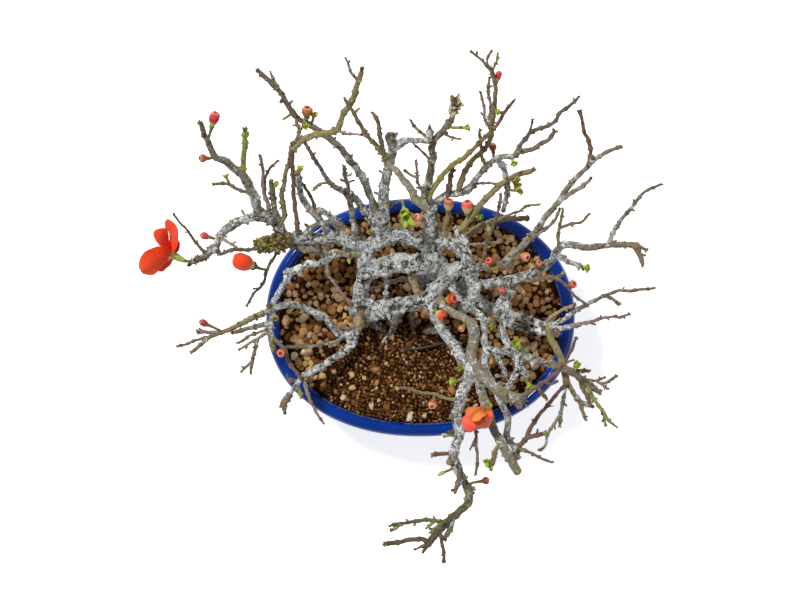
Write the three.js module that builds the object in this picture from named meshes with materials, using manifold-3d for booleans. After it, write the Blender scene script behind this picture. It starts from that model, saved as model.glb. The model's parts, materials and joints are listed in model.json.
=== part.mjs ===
// A chojubai flowering quince grown as a small clump bonsai, in a blue-glazed oval pot. Millimetres, +Z up.
// The origin is the centre of the base of the whole object's box, on the surface that the pot stands on.
import * as THREE from "three";
import { mergeVertices } from "three/addons/utils/BufferGeometryUtils.js";
import Module from "manifold-3d";

const wasm = await Module();
wasm.setup();

// Driving dimensions
const POT_LENGTH = 175;
const POT_WIDTH = 135;
const POT_HEIGHT = 52;
const POT_SQUARENESS = 2.15; // exponent of the oval: 2 is an ellipse
const POT_SEGMENTS = 40;
const FOOT_HEIGHT = 6;
const FLOOR_TOP = 12;
const DRAIN_RADIUS = 8;
const DRAIN_X = 38;
const MESH_SIDE = 26;
const MESH_THICKNESS = 1.2;
const MESH_HOLE = 4.6;
const MESH_PITCH = 6.4;
const WIRE_RADIUS = 0.8;
const SEAT_GAP = 0.3; // between pieces that touch
const SOIL_INSET = 8.2; // from the pot's outline to the soil's edge at the surface
const SOIL_EDGE = -4; // soil surface at the wall, measured from the rim
const SOIL_CROWN = -1.8; // soil surface in the middle, measured from the rim
const GRAIN_PITCH = 12.2;
const GRAIN_RADIUS = 7.6;
const SPUR_PITCH = 90;
const SPURRED_BELOW = 2.3; // limbs thinner than this carry short spurs
const THICK = 2.4; // limbs thicker than this are smoothly curved

// Plan points below are as seen from a point VIEW_HEIGHT above the rim over VIEW_CENTRE, with heights
// measured from the rim. A point above the rim is therefore drawn in towards the centre of that view.
const VIEW_HEIGHT = 1000;
const VIEW_CENTRE = [-11.5, 6.75];

// Trunks and thick limbs: name and [x, y, height, radius] along the middle.
const TRUNKS = [
  ["main trunk", [[5, 22, -26, 8], [5, 24, -6, 12.5], [6, 26, 6, 10.5], [8, 28, 18, 9], [9, 29, 31, 7.5]]],
  ["left trunk", [[-33, 2, -24, 6], [-33, 4, -4, 8.5], [-33, 8, 6, 6.5], [-33.5, 14, 16, 4.8],
    [-32, 21, 24, 4.8], [-28, 26, 31, 5.6], [-21, 28.5, 35, 6.2], [-12, 30.5, 36, 6.2], [-2, 30, 34, 7],
    [7, 29, 30, 7.5]]],
  ["front trunk", [[-32, 5, 2, 7], [-27, 4, 12, 6.4], [-20, 4.5, 19, 6.4], [-12, 6.5, 24, 5.8],
    [-3, 8.5, 27, 5.3], [4, 11, 29, 5.3], [10, 17, 31, 5.6], [16, 23, 32, 5.8], [22, 28, 33, 5.2]]],
  ["back arch", [[-31, 24, 28, 4.5], [-31.5, 32, 33, 4.6], [-27, 40, 36, 5.2], [-19, 45, 38, 5.6],
    [-11, 46, 38, 5], [-3, 43, 37, 4.3], [4, 39.5, 35, 4.4], [9, 34, 31, 5]]],
  ["right trunk", [[24, 14, -24, 5.5], [24.5, 16, -4, 8], [26, 18, 8, 6.2], [28, 21, 20, 5.2],
    [28.5, 24, 32, 4.6]]],
  ["right column", [[22, 4, 27, 3], [27, 8, 30, 3.8], [29.5, 14, 32, 4], [28.5, 21, 33, 4.6],
    [26.5, 30, 35, 4.4], [25, 38, 36, 4], [23, 45, 37, 3.6], [20, 50, 38, 3]]],
  ["back stem", [[8, 32, 29, 5], [6, 38, 33, 4.6], [5, 45, 38, 4.4], [5, 52, 42, 4.3], [5, 58, 46, 4],
    [3.5, 64, 50, 3.6]]],
  ["cross limb", [[6, 41, 35, 3.4], [12, 43.5, 36, 3.2], [19, 41, 36, 3.4], [25, 36, 35.5, 3.6]]],
  ["small prop", [[15, 24, 32, 2.2], [18.5, 16, 31, 2], [21.5, 9.5, 30, 2], [26, 7.5, 30, 2.2]]],
  ["thin upright", [[11, 43, 35, 1.8], [10, 50, 38, 1.6], [9, 58, 40, 1.5]]],
  ["tan bridge", [[-5, 26, 33, 2.4], [-4, 20, 31, 2.3], [-1.5, 13, 29, 2.2]]],
  ["white strut", [[-19.5, 26, 33, 1.4], [-19, 18, 26, 1.3], [-20, 10, 21, 1.3]]],
  ["low right limb", [[26, 16, 2, 4.2], [34, 9, 6, 3.6], [42, 4, 9, 3.2], [50, 2, 11, 3], [60, -1, 13, 2.6],
    [70, -4.5, 16, 2.3], [78, -6, 20, 1.9], [86, -5, 23, 1.5]]],
  ["low right fork", [[39, 5.5, 8, 3], [49, -2.5, 10, 2.4], [58, -6, 12, 2], [66, -8, 14, 1.7],
    [74, -9.5, 17, 1.5]]],
  ["low left limb", [[-31, 1, 3, 5], [-37, -7, 6, 3.8], [-43, -10, 8, 3.5], [-48, -7, 10, 3.1],
    [-51, -2.5, 12, 2.9], [-56, 1, 14, 2.7], [-63, 4.5, 16, 2.6], [-70, 7, 18, 2.6], [-77, 7, 20, 2.6],
    [-84, 4.5, 23, 2.8], [-91, 1, 26, 2]]],
  ["low front limb", [[-35, -6, 5, 3.4], [-38, -14, 8, 3.2], [-42, -18.5, 9, 3.3], [-47, -22, 11, 2.9],
    [-54, -26.5, 13, 2.7], [-61, -30.5, 15, 2.6], [-67, -34.5, 17, 2.4], [-71, -40, 20, 2],
    [-74.5, -44.5, 23, 1.7]]],
  ["thick front limb", [[8, 14, 30, 3.4], [13, 7, 33, 2.9], [19, 2.5, 35, 2.7], [26, -1, 37, 3.2],
    [29.5, -5, 38, 4.4], [30, -12, 38, 4.2], [28.5, -19, 38, 4], [29, -25, 40, 4.4], [33, -31, 43, 4],
    [38, -36, 46, 3.8], [44, -41, 50, 4], [50, -44.5, 54, 4.6], [57, -47, 58, 4.8]]],
  ["tan stub", [[-32.5, 7, 8, 2.8], [-34.5, -1, 20, 2.1], [-34.5, -7, 22, 1.8]]],
  ["white stub", [[-27, 9, 17, 2.4], [-34, 8.5, 20, 1.9], [-40.5, 7.5, 21, 1.8]]],
  ["hanging root left", [[-15, 4, 20, 2.4], [-15, -1, 13, 2], [-15.5, -4, 5, 1.4], [-17, -8, 0.6, 1.1],
    [-22, -15, -1.6, 0.8]]],
  ["hanging root middle", [[-4, 6, 24, 2], [-4.5, 0, 12, 1.7], [-4, -5, 2, 1.4], [-3.5, -9, -2.5, 1]]],
  ["hanging root right", [[12, -5, 27, 2], [8, -7, 9, 1.9], [3, -7.7, 2.4, 2]]],
  ["surface root", [[-29, 0, 3, 2.6], [-25, -5, 0, 1.4], [-19, -8, -2.5, 0.9]]],
];

// Limbs and twigs: name, the limb that it grows from, radius at its foot and tip, rise, and its plan points.
const LIMBS = [
  // Left side
  ["left limb", "back arch", 4.4, 3.2, 14, [[-29, 39], [-36, 41], [-42, 43], [-48, 44.5], [-56, 44],
    [-64, 44.5], [-72, 45], [-78, 46]]],
  ["left riser", "left limb", 3, 2.6, 10, [[-77, 46], [-80, 50], [-82, 54], [-86, 57]]],
  ["flower limb", "left riser", 2.8, 1.9, 12, [[-84, 55.5], [-90, 56.5], [-98, 56], [-104, 53], [-110, 49],
    [-113, 45], [-115, 40], [-119, 36], [-124, 33], [-128, 31.5]]],
  ["left thorn", "flower limb", 1, 0.6, 12, [[-119, 36], [-122, 37.5], [-127, 43], [-131, 49], [-135, 53],
    [-138, 57]]],
  ["burl", "left limb", 4, 3, 3, [[-76, 44], [-80, 42.5], [-85, 41.5], [-90, 40.5]]],
  ["left lower twig", "flower limb", 1.1, 1, -6, [[-114, 41], [-113, 36], [-109, 37], [-103, 38.5],
    [-96, 38], [-89, 40]]],
  ["left crossing twig", "flower limb", 0.9, 0.7, 3, [[-113, 45], [-107, 41.5], [-103, 39]]],
  ["left hanging twig", "burl", 1, 0.7, -8, [[-80, 41], [-82, 34], [-84, 31], [-87, 25], [-88, 21],
    [-90, 17], [-94, 13], [-97, 7.5]]],
  ["left back limb", "left riser", 2.7, 1.3, 34, [[-85, 56.5], [-91, 60], [-93, 66], [-96, 73], [-100, 80],
    [-105, 84], [-110, 88], [-115, 90], [-117, 93], [-119, 98], [-121, 102], [-123, 108]]],
  ["left green upright", "left back limb", 1.3, 1.2, 16, [[-100, 80], [-99.5, 90], [-98.5, 99],
    [-98.5, 104.5]]],
  ["left side twig", "left back limb", 0.9, 0.7, 8, [[-94, 68], [-97, 70], [-103, 72], [-108, 75],
    [-115, 75.5]]],
  ["left inner twig", "left riser", 1.1, 0.8, 30, [[-84, 56], [-86, 64], [-88, 70], [-88.5, 76], [-89, 84],
    [-90, 90]]],
  ["left inner fork", "left inner twig", 0.9, 0.7, 12, [[-88, 69], [-87, 80], [-85, 84], [-81, 87.5]]],
  ["left inner limb", "left limb", 2.1, 1.5, 24, [[-76, 46], [-78, 50], [-80, 55], [-82, 61], [-83, 68],
    [-84, 76]]],
  ["left inner shoot", "left inner limb", 1.6, 1, 34, [[-79, 53], [-76.5, 57], [-77, 62], [-78, 70],
    [-76.5, 76], [-76, 81], [-74, 87], [-73, 94]]],
  ["pink stem", "left limb", 1.7, 1.3, 48, [[-67, 45], [-69, 50], [-70, 57], [-71, 66], [-71.5, 75],
    [-72, 86], [-72, 97]]],
  ["pink stem tip", "pink stem", 1, 0.9, 8, [[-72, 96], [-70, 100], [-68.5, 105], [-70, 110]]],
  ["white limb left", "left limb", 2.6, 2, 26, [[-50, 45], [-53, 50], [-57, 55], [-62, 61], [-66, 66],
    [-68, 72], [-69, 80]]],
  ["dark twig left", "white limb left", 1, 0.8, 10, [[-59, 58], [-60, 64], [-63, 70], [-67, 76]]],
  ["left short limb", "left limb", 2.5, 2.1, 14, [[-42, 44], [-45, 50], [-48, 55], [-53, 58.5], [-58, 61]]],
  ["second left limb", "back arch", 2.6, 2.2, 12, [[-30, 35], [-36, 36], [-42, 36], [-50, 36.5],
    [-60, 37.5], [-68, 39], [-73, 40]]],
  ["third left limb", "second left limb", 2.4, 2.5, 2, [[-46, 36], [-52, 33], [-57, 30.5], [-63, 30],
    [-70, 27]]],
  ["left drop limb", "third left limb", 2.6, 2.3, 4, [[-70, 27], [-74, 23], [-77, 18], [-80, 13.5],
    [-83.5, 8]]],
  ["pink twig down", "second left limb", 1, 0.8, -6, [[-52, 36], [-52.5, 31], [-52, 25], [-48, 19],
    [-44, 13], [-40, 9]]],
  ["stem E", "left limb", 2.2, 1.2, 62, [[-37, 41], [-37, 48], [-38, 55], [-39, 62], [-41, 68], [-44, 71],
    [-49, 74], [-52, 77], [-55, 82], [-60, 90], [-65, 98]]],
  ["stem F", "stem E", 1, 0.8, 12, [[-41, 68], [-41, 75], [-42.5, 80], [-43, 84.5]]],
  ["back limb left", "back arch", 2.1, 1.9, 22, [[-24, 43], [-26, 52], [-28, 56], [-32, 61], [-36, 66],
    [-40, 70]]],
  ["long back stem", "back arch", 2.2, 1.2, 72, [[-22, 44], [-23, 54], [-26, 62], [-30, 73], [-32, 78],
    [-35, 83], [-38, 86], [-42, 91], [-46, 96], [-50, 100], [-55, 103], [-60, 107], [-64, 109],
    [-70, 113], [-73, 117], [-76, 122], [-79, 127], [-85, 133], [-90, 138]]],
  ["long stem fork", "long back stem", 0.9, 0.7, 5, [[-78, 126], [-81, 131], [-84, 137.5]]],
  ["crossing stem", "pink stem", 1.6, 1.2, 18, [[-72, 95], [-68, 99], [-64, 101], [-58, 103], [-52, 104],
    [-47, 106], [-45, 110], [-43, 115], [-40, 119], [-37, 125], [-36, 130], [-33, 138]]],
  ["crossing fork", "crossing stem", 0.8, 0.6, 6, [[-36, 133], [-39, 138], [-42, 146]]],
  ["crossing side", "crossing stem", 0.8, 0.6, 3, [[-48, 105.5], [-41, 103.5], [-36, 103], [-31, 102.5]]],

  // Back
  ["back trunk", "back arch", 4, 2.8, 48, [[-20, 45], [-21, 55], [-20, 62], [-21, 68], [-20, 75], [-19, 80],
    [-17, 88], [-15.5, 94], [-15.5, 98]]],
  ["round knob", "back trunk", 2.4, 2.2, 2, [[-16, 96], [-16.5, 100], [-17.5, 102.5]]],
  ["stem C", "back trunk", 1.2, 0.9, 30, [[-17, 90], [-22, 93.5], [-27, 99], [-31, 104], [-34, 109],
    [-37, 114], [-42, 122]]],
  ["stem B", "back trunk", 1.2, 0.9, 26, [[-18, 84], [-20, 90], [-22, 98], [-23, 104], [-24, 110],
    [-26, 114]]],
  ["back crossing limb", "back trunk", 1.8, 1.4, 4, [[-15.5, 96], [-9, 99.5], [-4, 99.5], [4, 99]]],
  ["beige shoot", "back stem", 3.2, 1.8, 38, [[3, 62], [-3, 67], [-6, 73], [-10, 78], [-14, 83],
    [-20, 88]]],
  ["stem G", "back stem", 2.5, 1.5, 56, [[4, 62], [3, 68], [3, 72], [5, 78], [6, 84], [7, 90], [6.5, 96],
    [8, 100], [12, 104], [16, 109], [18, 113], [18.5, 118], [19, 123]]],
  ["G twig left", "stem G", 1, 0.8, 8, [[7, 97], [3, 102], [0, 104], [-3, 107], [-5, 110]]],
  ["G twig cross", "stem G", 0.8, 0.6, 4, [[6.5, 88], [1, 93.5], [-3, 97]]],
  ["G lower twig", "stem G", 0.9, 0.7, 14, [[3, 69], [-1, 75], [-2, 81], [-2.5, 87]]],
  ["G right twig", "stem G", 0.8, 0.6, 4, [[12, 104], [18, 101.5], [21, 100.5]]],
  ["G leaf twig", "stem G", 0.9, 0.8, 3, [[15.5, 108], [18.5, 107], [22, 107]]],
  ["shoot H", "back stem", 1.8, 0.9, 62, [[3, 63], [7, 72], [11, 78], [15, 83], [20, 87], [25, 90.5],
    [30, 95], [34, 99], [38, 103], [42, 107], [45, 111], [47, 115], [52, 121.5]]],
  ["white limb back", "back stem", 2.1, 2, 8, [[5, 58], [7, 62], [10, 66], [16, 69.5], [22, 70],
    [28, 72.5]]],
  ["stem I", "white limb back", 1.7, 1.1, 68, [[21, 70], [24, 80], [28, 87], [32, 91], [36, 95], [39, 99],
    [40, 104], [40.5, 110], [41.5, 118], [42, 124], [42, 130], [41, 136], [39.5, 140]]],
  ["I tip left", "stem I", 0.8, 0.6, 8, [[40, 139], [35, 144], [28, 150.5]]],
  ["I tip middle", "stem I", 0.8, 0.6, 6, [[40, 139], [37.5, 144], [40, 150.5]]],
  ["I tip right", "stem I", 0.7, 0.6, 5, [[41, 138], [43, 145], [43.5, 149]]],
  ["I parallel", "stem I", 0.9, 0.8, 14, [[40, 108], [39, 112], [39.5, 120], [38, 128], [38.5, 134]]],
  ["I side", "stem I", 0.8, 0.7, 12, [[40, 104], [38, 108], [36, 113], [36, 118], [34, 125.5]]],
  ["mid back limb", "cross limb", 2.6, 1.6, 10, [[13, 43.5], [14, 50], [15, 55], [15.5, 59.5]]],
  ["stem L", "white limb back", 1.8, 1.2, 44, [[26, 72], [33, 80], [38, 85.5], [42, 89], [47, 90.5],
    [52, 91], [56, 93], [60, 94], [64, 95], [68, 98], [72, 100], [75, 104]]],
  ["stem K", "stem L", 1.1, 0.8, 22, [[37, 84], [35.5, 88], [34, 92], [34, 97], [33, 105]]],
  ["stem Q", "stem L", 1.3, 0.9, 22, [[54, 92], [56, 97], [60, 101.5], [62, 104], [67, 106], [72, 108],
    [76, 110.5], [78, 115], [82, 117.5], [88, 123]]],
  ["stem M", "stem L", 1.6, 1.4, -22, [[43, 89], [47, 84], [48, 79], [49, 74], [48, 66], [46.5, 61]]],
  ["stem P", "white limb back", 1.6, 1.3, 14, [[15.5, 69], [16.5, 74], [17, 79], [18, 82]]],
  ["right back twig", "white limb back", 0.8, 0.7, 8, [[27, 73], [31, 75], [38, 75.5], [43, 75]]],
  ["stem O", "right column", 2.2, 1.9, 40, [[21, 48], [24, 51], [30, 59], [36, 66], [42, 72], [47, 76],
    [52, 79], [57, 81], [62, 82.5]]],
  ["twig QQ", "right column", 0.9, 0.7, 26, [[24, 45], [28, 49], [36, 53], [43, 55], [50, 58], [55, 59.5],
    [60, 62.5], [66, 63.5]]],
  ["twig RR", "right column", 0.7, 0.6, 4, [[25, 41], [35, 41.5], [45, 42.5]]],
  ["low back stub", "right column", 1.7, 1.5, -14, [[23, 44], [32, 50], [40, 54], [48, 55.5], [61, 55.5]]],

  // Right side
  ["right upper limb", "right column", 2.6, 2.3, 12, [[27, 27], [36, 29], [45, 29.5], [52, 29.5]]],
  ["right limb", "right column", 3.2, 2.6, 20, [[29.5, 17], [38, 19], [46, 20.5], [54, 22], [62, 25],
    [70, 29], [75, 33]]],
  ["twig PP", "right upper limb", 1, 0.8, 34, [[34, 29], [38, 44], [41, 52], [44, 60], [45, 68]]],
  ["stem R", "right upper limb", 2, 1.4, 50, [[46, 29.5], [50, 34], [56, 39], [60, 43], [66, 50], [70, 56],
    [75, 62], [79, 67], [82, 72], [86, 77], [91, 82], [95, 86], [97, 88.5]]],
  ["R left fork", "stem R", 1.3, 0.9, 14, [[95, 86], [95.5, 92], [95, 97], [94, 101], [92, 105], [91, 110],
    [90, 115]]],
  ["R right fork", "stem R", 1.3, 1, 10, [[97, 88], [103, 92], [107, 94], [111, 95.5]]],
  ["R side", "stem R", 1.5, 1.1, 10, [[79, 66], [85, 70], [89, 72.5], [95, 77]]],
  ["limb T", "right limb", 2.5, 1.6, 24, [[74, 32], [77, 38], [80, 41], [86, 41], [92, 39.5], [98, 39.5],
    [104, 40.5], [110, 41], [116, 41], [120, 40], [123, 36], [125, 31]]],
  ["T fork", "limb T", 1.2, 1, 3, [[116, 41], [120, 41.5], [126, 38.5]]],
  ["shoot S", "limb T", 1.3, 0.8, 26, [[105, 41], [109, 49], [113, 55], [118, 61], [121, 65], [127, 71],
    [134.5, 74.5]]],
  ["limb U", "right limb", 1.8, 1.5, 8, [[74, 32], [78, 34.5], [82, 32], [86, 30.5], [90, 29]]],
  ["twig W", "limb T", 1, 0.8, 18, [[78, 39.5], [77.5, 45], [78, 50], [79, 55], [80, 60]]],
  ["twig V", "twig W", 0.9, 0.7, 8, [[78, 50], [86, 53], [91, 54], [94, 57.5]]],
  ["twig X", "stem R", 1.1, 0.8, 12, [[62, 46], [65, 46.5], [70, 50], [74, 53], [78, 60]]],
  ["right thin limb", "right limb", 1.5, 1.2, 6, [[54, 22], [62, 21], [70, 22.5], [76, 22.5], [79, 24]]],
  ["right thin twig", "right thin limb", 0.9, 0.7, 10, [[74, 22.5], [78, 21], [83, 17], [87, 12],
    [93, 7.5]]],
  ["right cut stub", "right limb", 2, 1.9, 3, [[48, 21], [52, 18], [57, 15]]],
  ["long white limb", "right limb", 2.8, 2.6, -4, [[50, 21], [50, 14], [49, 8], [47.5, 2], [46, -5],
    [47, -11], [51, -18], [55, -26], [60, -33]]],
  ["long white side", "long white limb", 2.4, 2, -4, [[49.5, 16], [46, 10], [42, 3]]],
  ["shoot A", "low right limb", 1.5, 0.8, 30, [[72, -5.5], [79, -2], [86.5, 3], [93, 7], [98, 9.5],
    [103, 12], [108, 14], [113, 15.5], [118, 15], [132, 16.6]]],
  ["A cluster", "shoot A", 0.9, 0.9, 2, [[103, 12], [106, 11.5], [111, 8.5]]],
  ["thin right shoot", "low right limb", 1.1, 0.7, 18, [[84, -5.5], [92, -3.2], [98, -2], [104, 0],
    [108, 0.6], [112, 0.3], [116.5, 1.8]]],
  ["pale tip twig", "low right limb", 1, 0.9, 12, [[70, -4.5], [74, 0.5], [78, 3], [86, 7]]],
  ["right lower limb", "long white limb", 2.7, 1.7, 14, [[53, -22], [58, -22.5], [68, -25], [77, -27],
    [84, -30], [91, -35], [99, -41]]],
  ["right spur stem", "right lower limb", 1, 1.1, 6, [[83, -29.5], [88, -30], [93.5, -30]]],
  ["olive stem", "low right limb", 2, 2, 22, [[71, -5], [73, -11], [76, -17], [79, -23], [81, -29],
    [82, -37]]],
  ["fan left", "olive stem", 1.4, 0.9, 8, [[82, -36], [80.5, -45], [79, -53], [76, -59], [71, -67],
    [70.5, -71], [68, -74.5]]],
  ["fan middle", "olive stem", 1.5, 1, 6, [[82, -35], [87, -44], [90, -49], [92.5, -56.5]]],
  ["fan knob", "fan middle", 1.4, 1.3, 2, [[87.5, -45], [91, -48], [95, -49.5]]],
  ["fan red", "right lower limb", 1.4, 1.1, 8, [[90, -34.5], [91.5, -40], [94, -44], [95.5, -49]]],
  ["fan green", "right lower limb", 1.3, 0.8, 12, [[93, -36.5], [96, -43], [99, -48], [101, -51],
    [103, -54], [104, -60]]],
  ["fan green tip", "fan green", 0.9, 0.7, 3, [[103, -54], [106, -58], [109.5, -61]]],
  ["thin right twig", "right lower limb", 0.8, 0.7, 10, [[89, -34], [94, -34.8], [99, -35.5], [103, -34]]],
  ["red shoot", "thick front limb", 1.9, 1.3, 24, [[55, -46], [64, -40], [73, -34], [80, -27], [84, -20],
    [87, -12.5]]],

  // Front
  ["white front limb", "front trunk", 3.8, 4.2, 2, [[4, 10.5], [7, 3], [10, -3], [14, -9], [19, -16],
    [24, -24], [28, -29]]],
  ["white side limb", "right column", 2.6, 2.6, 14, [[26, 7.5], [31, 3], [35, 0], [36, -6], [35.5, -12],
    [37, -17], [36, -23], [36.5, -29], [39, -34], [42, -39]]],
  ["cross white", "white side limb", 1.9, 2, 4, [[37, -17.5], [45, -19], [52, -19], [58, -18]]],
  ["inner small limb", "cross white", 1.7, 1.6, -4, [[41, -18.5], [44, -23], [46.5, -28], [47.5, -33]]],
  ["grey link", "long white limb", 2.2, 2.4, 8, [[55, -25.5], [55, -28], [53, -33], [50, -38],
    [47.5, -42]]],
  ["cascade", "thick front limb", 3.8, 1.6, 4, [[29, -26], [27, -34], [24, -40.5], [22, -48], [20.5, -55],
    [21.7, -63], [20.8, -70], [18.5, -77], [20.5, -84], [23, -90], [27, -97], [26.6, -104], [22, -109],
    [17, -113], [11, -119], [7, -124], [4.5, -128]]],
  ["cascade stub", "cascade", 1.5, 1.4, 2, [[21.5, -50], [19, -54], [17, -57]]],
  ["low bud twig", "cascade", 1.1, 1.1, 2, [[21.5, -61.5], [18, -64], [15, -66]]],
  ["cascade spur", "cascade", 1, 1.2, 2, [[18.5, -77], [13, -76.5], [8.5, -77]]],
  ["cascade grey stub", "cascade", 1.6, 1.7, 0, [[18.5, -112], [17, -118], [14.5, -122.5]]],
  ["cascade left tip", "cascade", 1.2, 0.9, 4, [[14, -115.5], [7, -114], [1, -114], [-6, -115],
    [-16, -116.8]]],
  ["cascade end", "cascade", 1.4, 1.3, 3, [[5, -127], [1, -124.8], [-5, -125.2], [-11, -126],
    [-18.5, -127.5]]],
  ["cascade needle", "cascade", 1, 1, 4, [[11, -119.5], [12, -127], [13, -133], [13.3, -138]]],
  ["front right stem", "thick front limb", 2.3, 2.6, 2, [[31, -28], [33, -38], [36, -46], [38.5, -55],
    [41, -62], [44, -68], [48, -75], [52, -82], [55, -87]]],
  ["front thin twig", "front right stem", 0.9, 0.8, 4, [[36, -46], [33, -54], [31, -63], [31.5, -71],
    [32, -79], [31, -87.5]]],
  ["front thin fork", "front thin twig", 0.7, 0.6, 2, [[31.3, -67], [28.5, -73]]],
  ["leaf spur front", "front right stem", 1.3, 1.2, 4, [[46, -71], [42, -75], [41, -80], [40, -84]]],
  ["pale limb", "thick front limb", 2, 1.7, -14, [[42, -39], [45, -47], [48.5, -54], [49.5, -60],
    [48.5, -66], [50, -70], [54, -73.5]]],
  ["brown stem", "pale limb", 1.8, 1.2, 14, [[53, -73], [57, -71], [60, -67], [62, -62], [66, -56],
    [71, -50], [76, -44], [81, -38.5]]],
  ["brown fork", "brown stem", 1.3, 1.3, 3, [[60, -67.5], [64, -66.5], [68.5, -65.5]]],
  ["front twig right", "pale limb", 1, 0.7, 6, [[54, -73.5], [60, -75], [65, -77.5], [73, -81.3]]],
  ["ring stub front", "pale limb", 1.7, 2, 3, [[52, -72.5], [54, -77], [55.3, -79.5]]],
  ["twig over soil", "cascade", 1, 0.7, -22, [[22, -47], [15, -45.5], [8, -43], [0, -42], [-9, -39.5],
    [-13, -39.6]]],

  // Front left
  ["low left tip", "low front limb", 1.5, 1.5, 4, [[-74, -44], [-76, -48], [-76.5, -52]]],
  ["low left twig", "low front limb", 1.1, 0.8, 3, [[-66, -34], [-64, -41], [-62, -47], [-60, -51],
    [-55, -58.5]]],
  ["low left green", "low front limb", 1, 1.3, 2, [[-69, -37.5], [-67, -43]]],
  ["brown low twig", "low left limb", 1, 0.9, 3, [[-43, -10], [-47, -13.5], [-53, -14.5], [-60, -16],
    [-68, -16.5], [-74, -17]]],
  ["left fan stem", "low left limb", 1.8, 1.2, 10, [[-88, 2.5], [-95, -0.5], [-101, -3.5], [-108, -7],
    [-114, -9], [-119, -11.5], [-122, -14]]],
  ["left fan needle", "left fan stem", 0.8, 0.7, 4, [[-119, -11.5], [-124, -12.2], [-130, -14],
    [-135.5, -15.8]]],
  ["left fan stub", "left fan stem", 1.1, 1.2, 4, [[-113, -8.5], [-119, -8.2], [-124, -8.2]]],
  ["left down limb", "low left limb", 1.8, 1.7, 2, [[-84, 4], [-84, -3], [-84, -8], [-83, -12.5]]],
  ["left fan lower", "left down limb", 1.7, 1.3, 6, [[-84, -3.5], [-90, -4.5], [-96, -6], [-104, -8]]],
  ["left down tail", "left down limb", 1.4, 1.2, 0, [[-83.5, -11], [-83.5, -16], [-82, -19]]],
  ["brown bow", "left down limb", 1.2, 1.1, -2, [[-83, -12], [-80, -14.5], [-77, -17.5], [-74.5, -24],
    [-72, -28], [-69, -32]]],
  ["left twig low", "left down limb", 1, 0.8, 4, [[-84, -8.5], [-88, -9.5], [-92, -12], [-96, -14],
    [-101, -17.5]]],
  ["left twig front", "left twig low", 1.2, 0.9, 2, [[-92, -12], [-93, -18], [-94.5, -24], [-95.5, -30]]],
  ["left twig fork", "left twig front", 0.9, 0.8, 1, [[-94.5, -24], [-97, -26.5], [-100, -29.5]]],
  ["left pale twig", "left down limb", 0.9, 0.8, 2, [[-84, -6], [-93, -9], [-102, -14]]],
  ["brown bridge", "left trunk", 1, 0.9, 4, [[-33, 14.5], [-25, 16.5], [-18, 19.5], [-10, 21.5],
    [-3, 22.5]]],
];

// Closed and opening buds: name, limb, plan points of the stalk, its rise, the bud's length and width.
const BUDS = [
  ["bud_left_large", "left hanging twig", [[-86, 27], [-90, 27.5], [-94, 29]], 2, 13, 8],
  ["bud_left_spur", "flower limb", [[-114, 44], [-118, 45]], 2, 5.5, 3.6],
  ["bud_left_back", "left back limb", [[-120, 100], [-118, 105], [-117, 109]], 3, 6.5, 5],
  ["bud_left_side", "left back limb", [[-115, 90], [-119.5, 89.5]], 2, 4.6, 4],
  ["bud_back_orange", "long back stem", [[-63, 108.5], [-64, 112.5]], 3, 6, 5.5],
  ["bud_back_centre", "back arch", [[-7, 46], [-5.6, 53.5]], 5, 5, 4.6],
  ["bud_back_peach", "back stem", [[4, 55], [0.5, 55.3]], 5, 4.6, 4],
  ["bud_back_upright", "mid back limb", [[15.4, 58], [15.6, 60.2]], 4, 5, 4.4],
  ["bud_back_coral", "stem O", [[28, 56], [26.5, 59.5]], 3, 6.5, 5.5],
  ["bud_right_ring", "stem R", [[53, 36.5], [57, 35]], 6, 4.8, 4.6],
  ["bud_right_orange", "right upper limb", [[42, 29.5], [40, 30.8]], 4, 4.6, 4],
  ["bud_right_small", "right limb", [[47, 20], [46.3, 17.2]], 3, 4, 3.5],
  ["bud_centre_orange", "front trunk", [[10, 16], [12.5, 11], [14.5, 9.8]], 6, 6, 5.6],
  ["bud_centre_red", "white front limb", [[7, 3], [9, 3]], 7, 6, 5.6],
  ["bud_front_small", "thick front limb", [[26.5, -1.5], [24.3, -4.6]], 3, 3.8, 3.4],
  ["bud_right_brown", "right limb", [[65, 26.5], [66, 28.8]], 4, 4.4, 3.6],
  ["bud_far_right", "right thin twig", [[82, 17.8], [84, 18]], 4, 4.4, 4],
  ["bud_back_high", "stem I", [[42, 130], [43, 132.5]], 2, 5.5, 3],
  ["bud_back_brown", "stem L", [[41.5, 88.5], [41, 93]], 2, 4.6, 3.8],
  ["bud_left_rim", "brown bow", [[-76.5, -18.5], [-77.5, -19.3]], 4, 5, 4.5],
  ["bud_left_fan", "left fan stem", [[-111, -8], [-115.5, -6], [-118.6, -4.6]], 3, 6, 3.6],
  ["bud_over_soil", "twig over soil", [[8, -43], [7.2, -46.8]], 3, 4.8, 4.6],
  ["bud_front_cascade", "cascade", [[25.5, -93.5], [30, -92.8], [34, -92.2]], 2, 4.2, 3.8],
];

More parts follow.
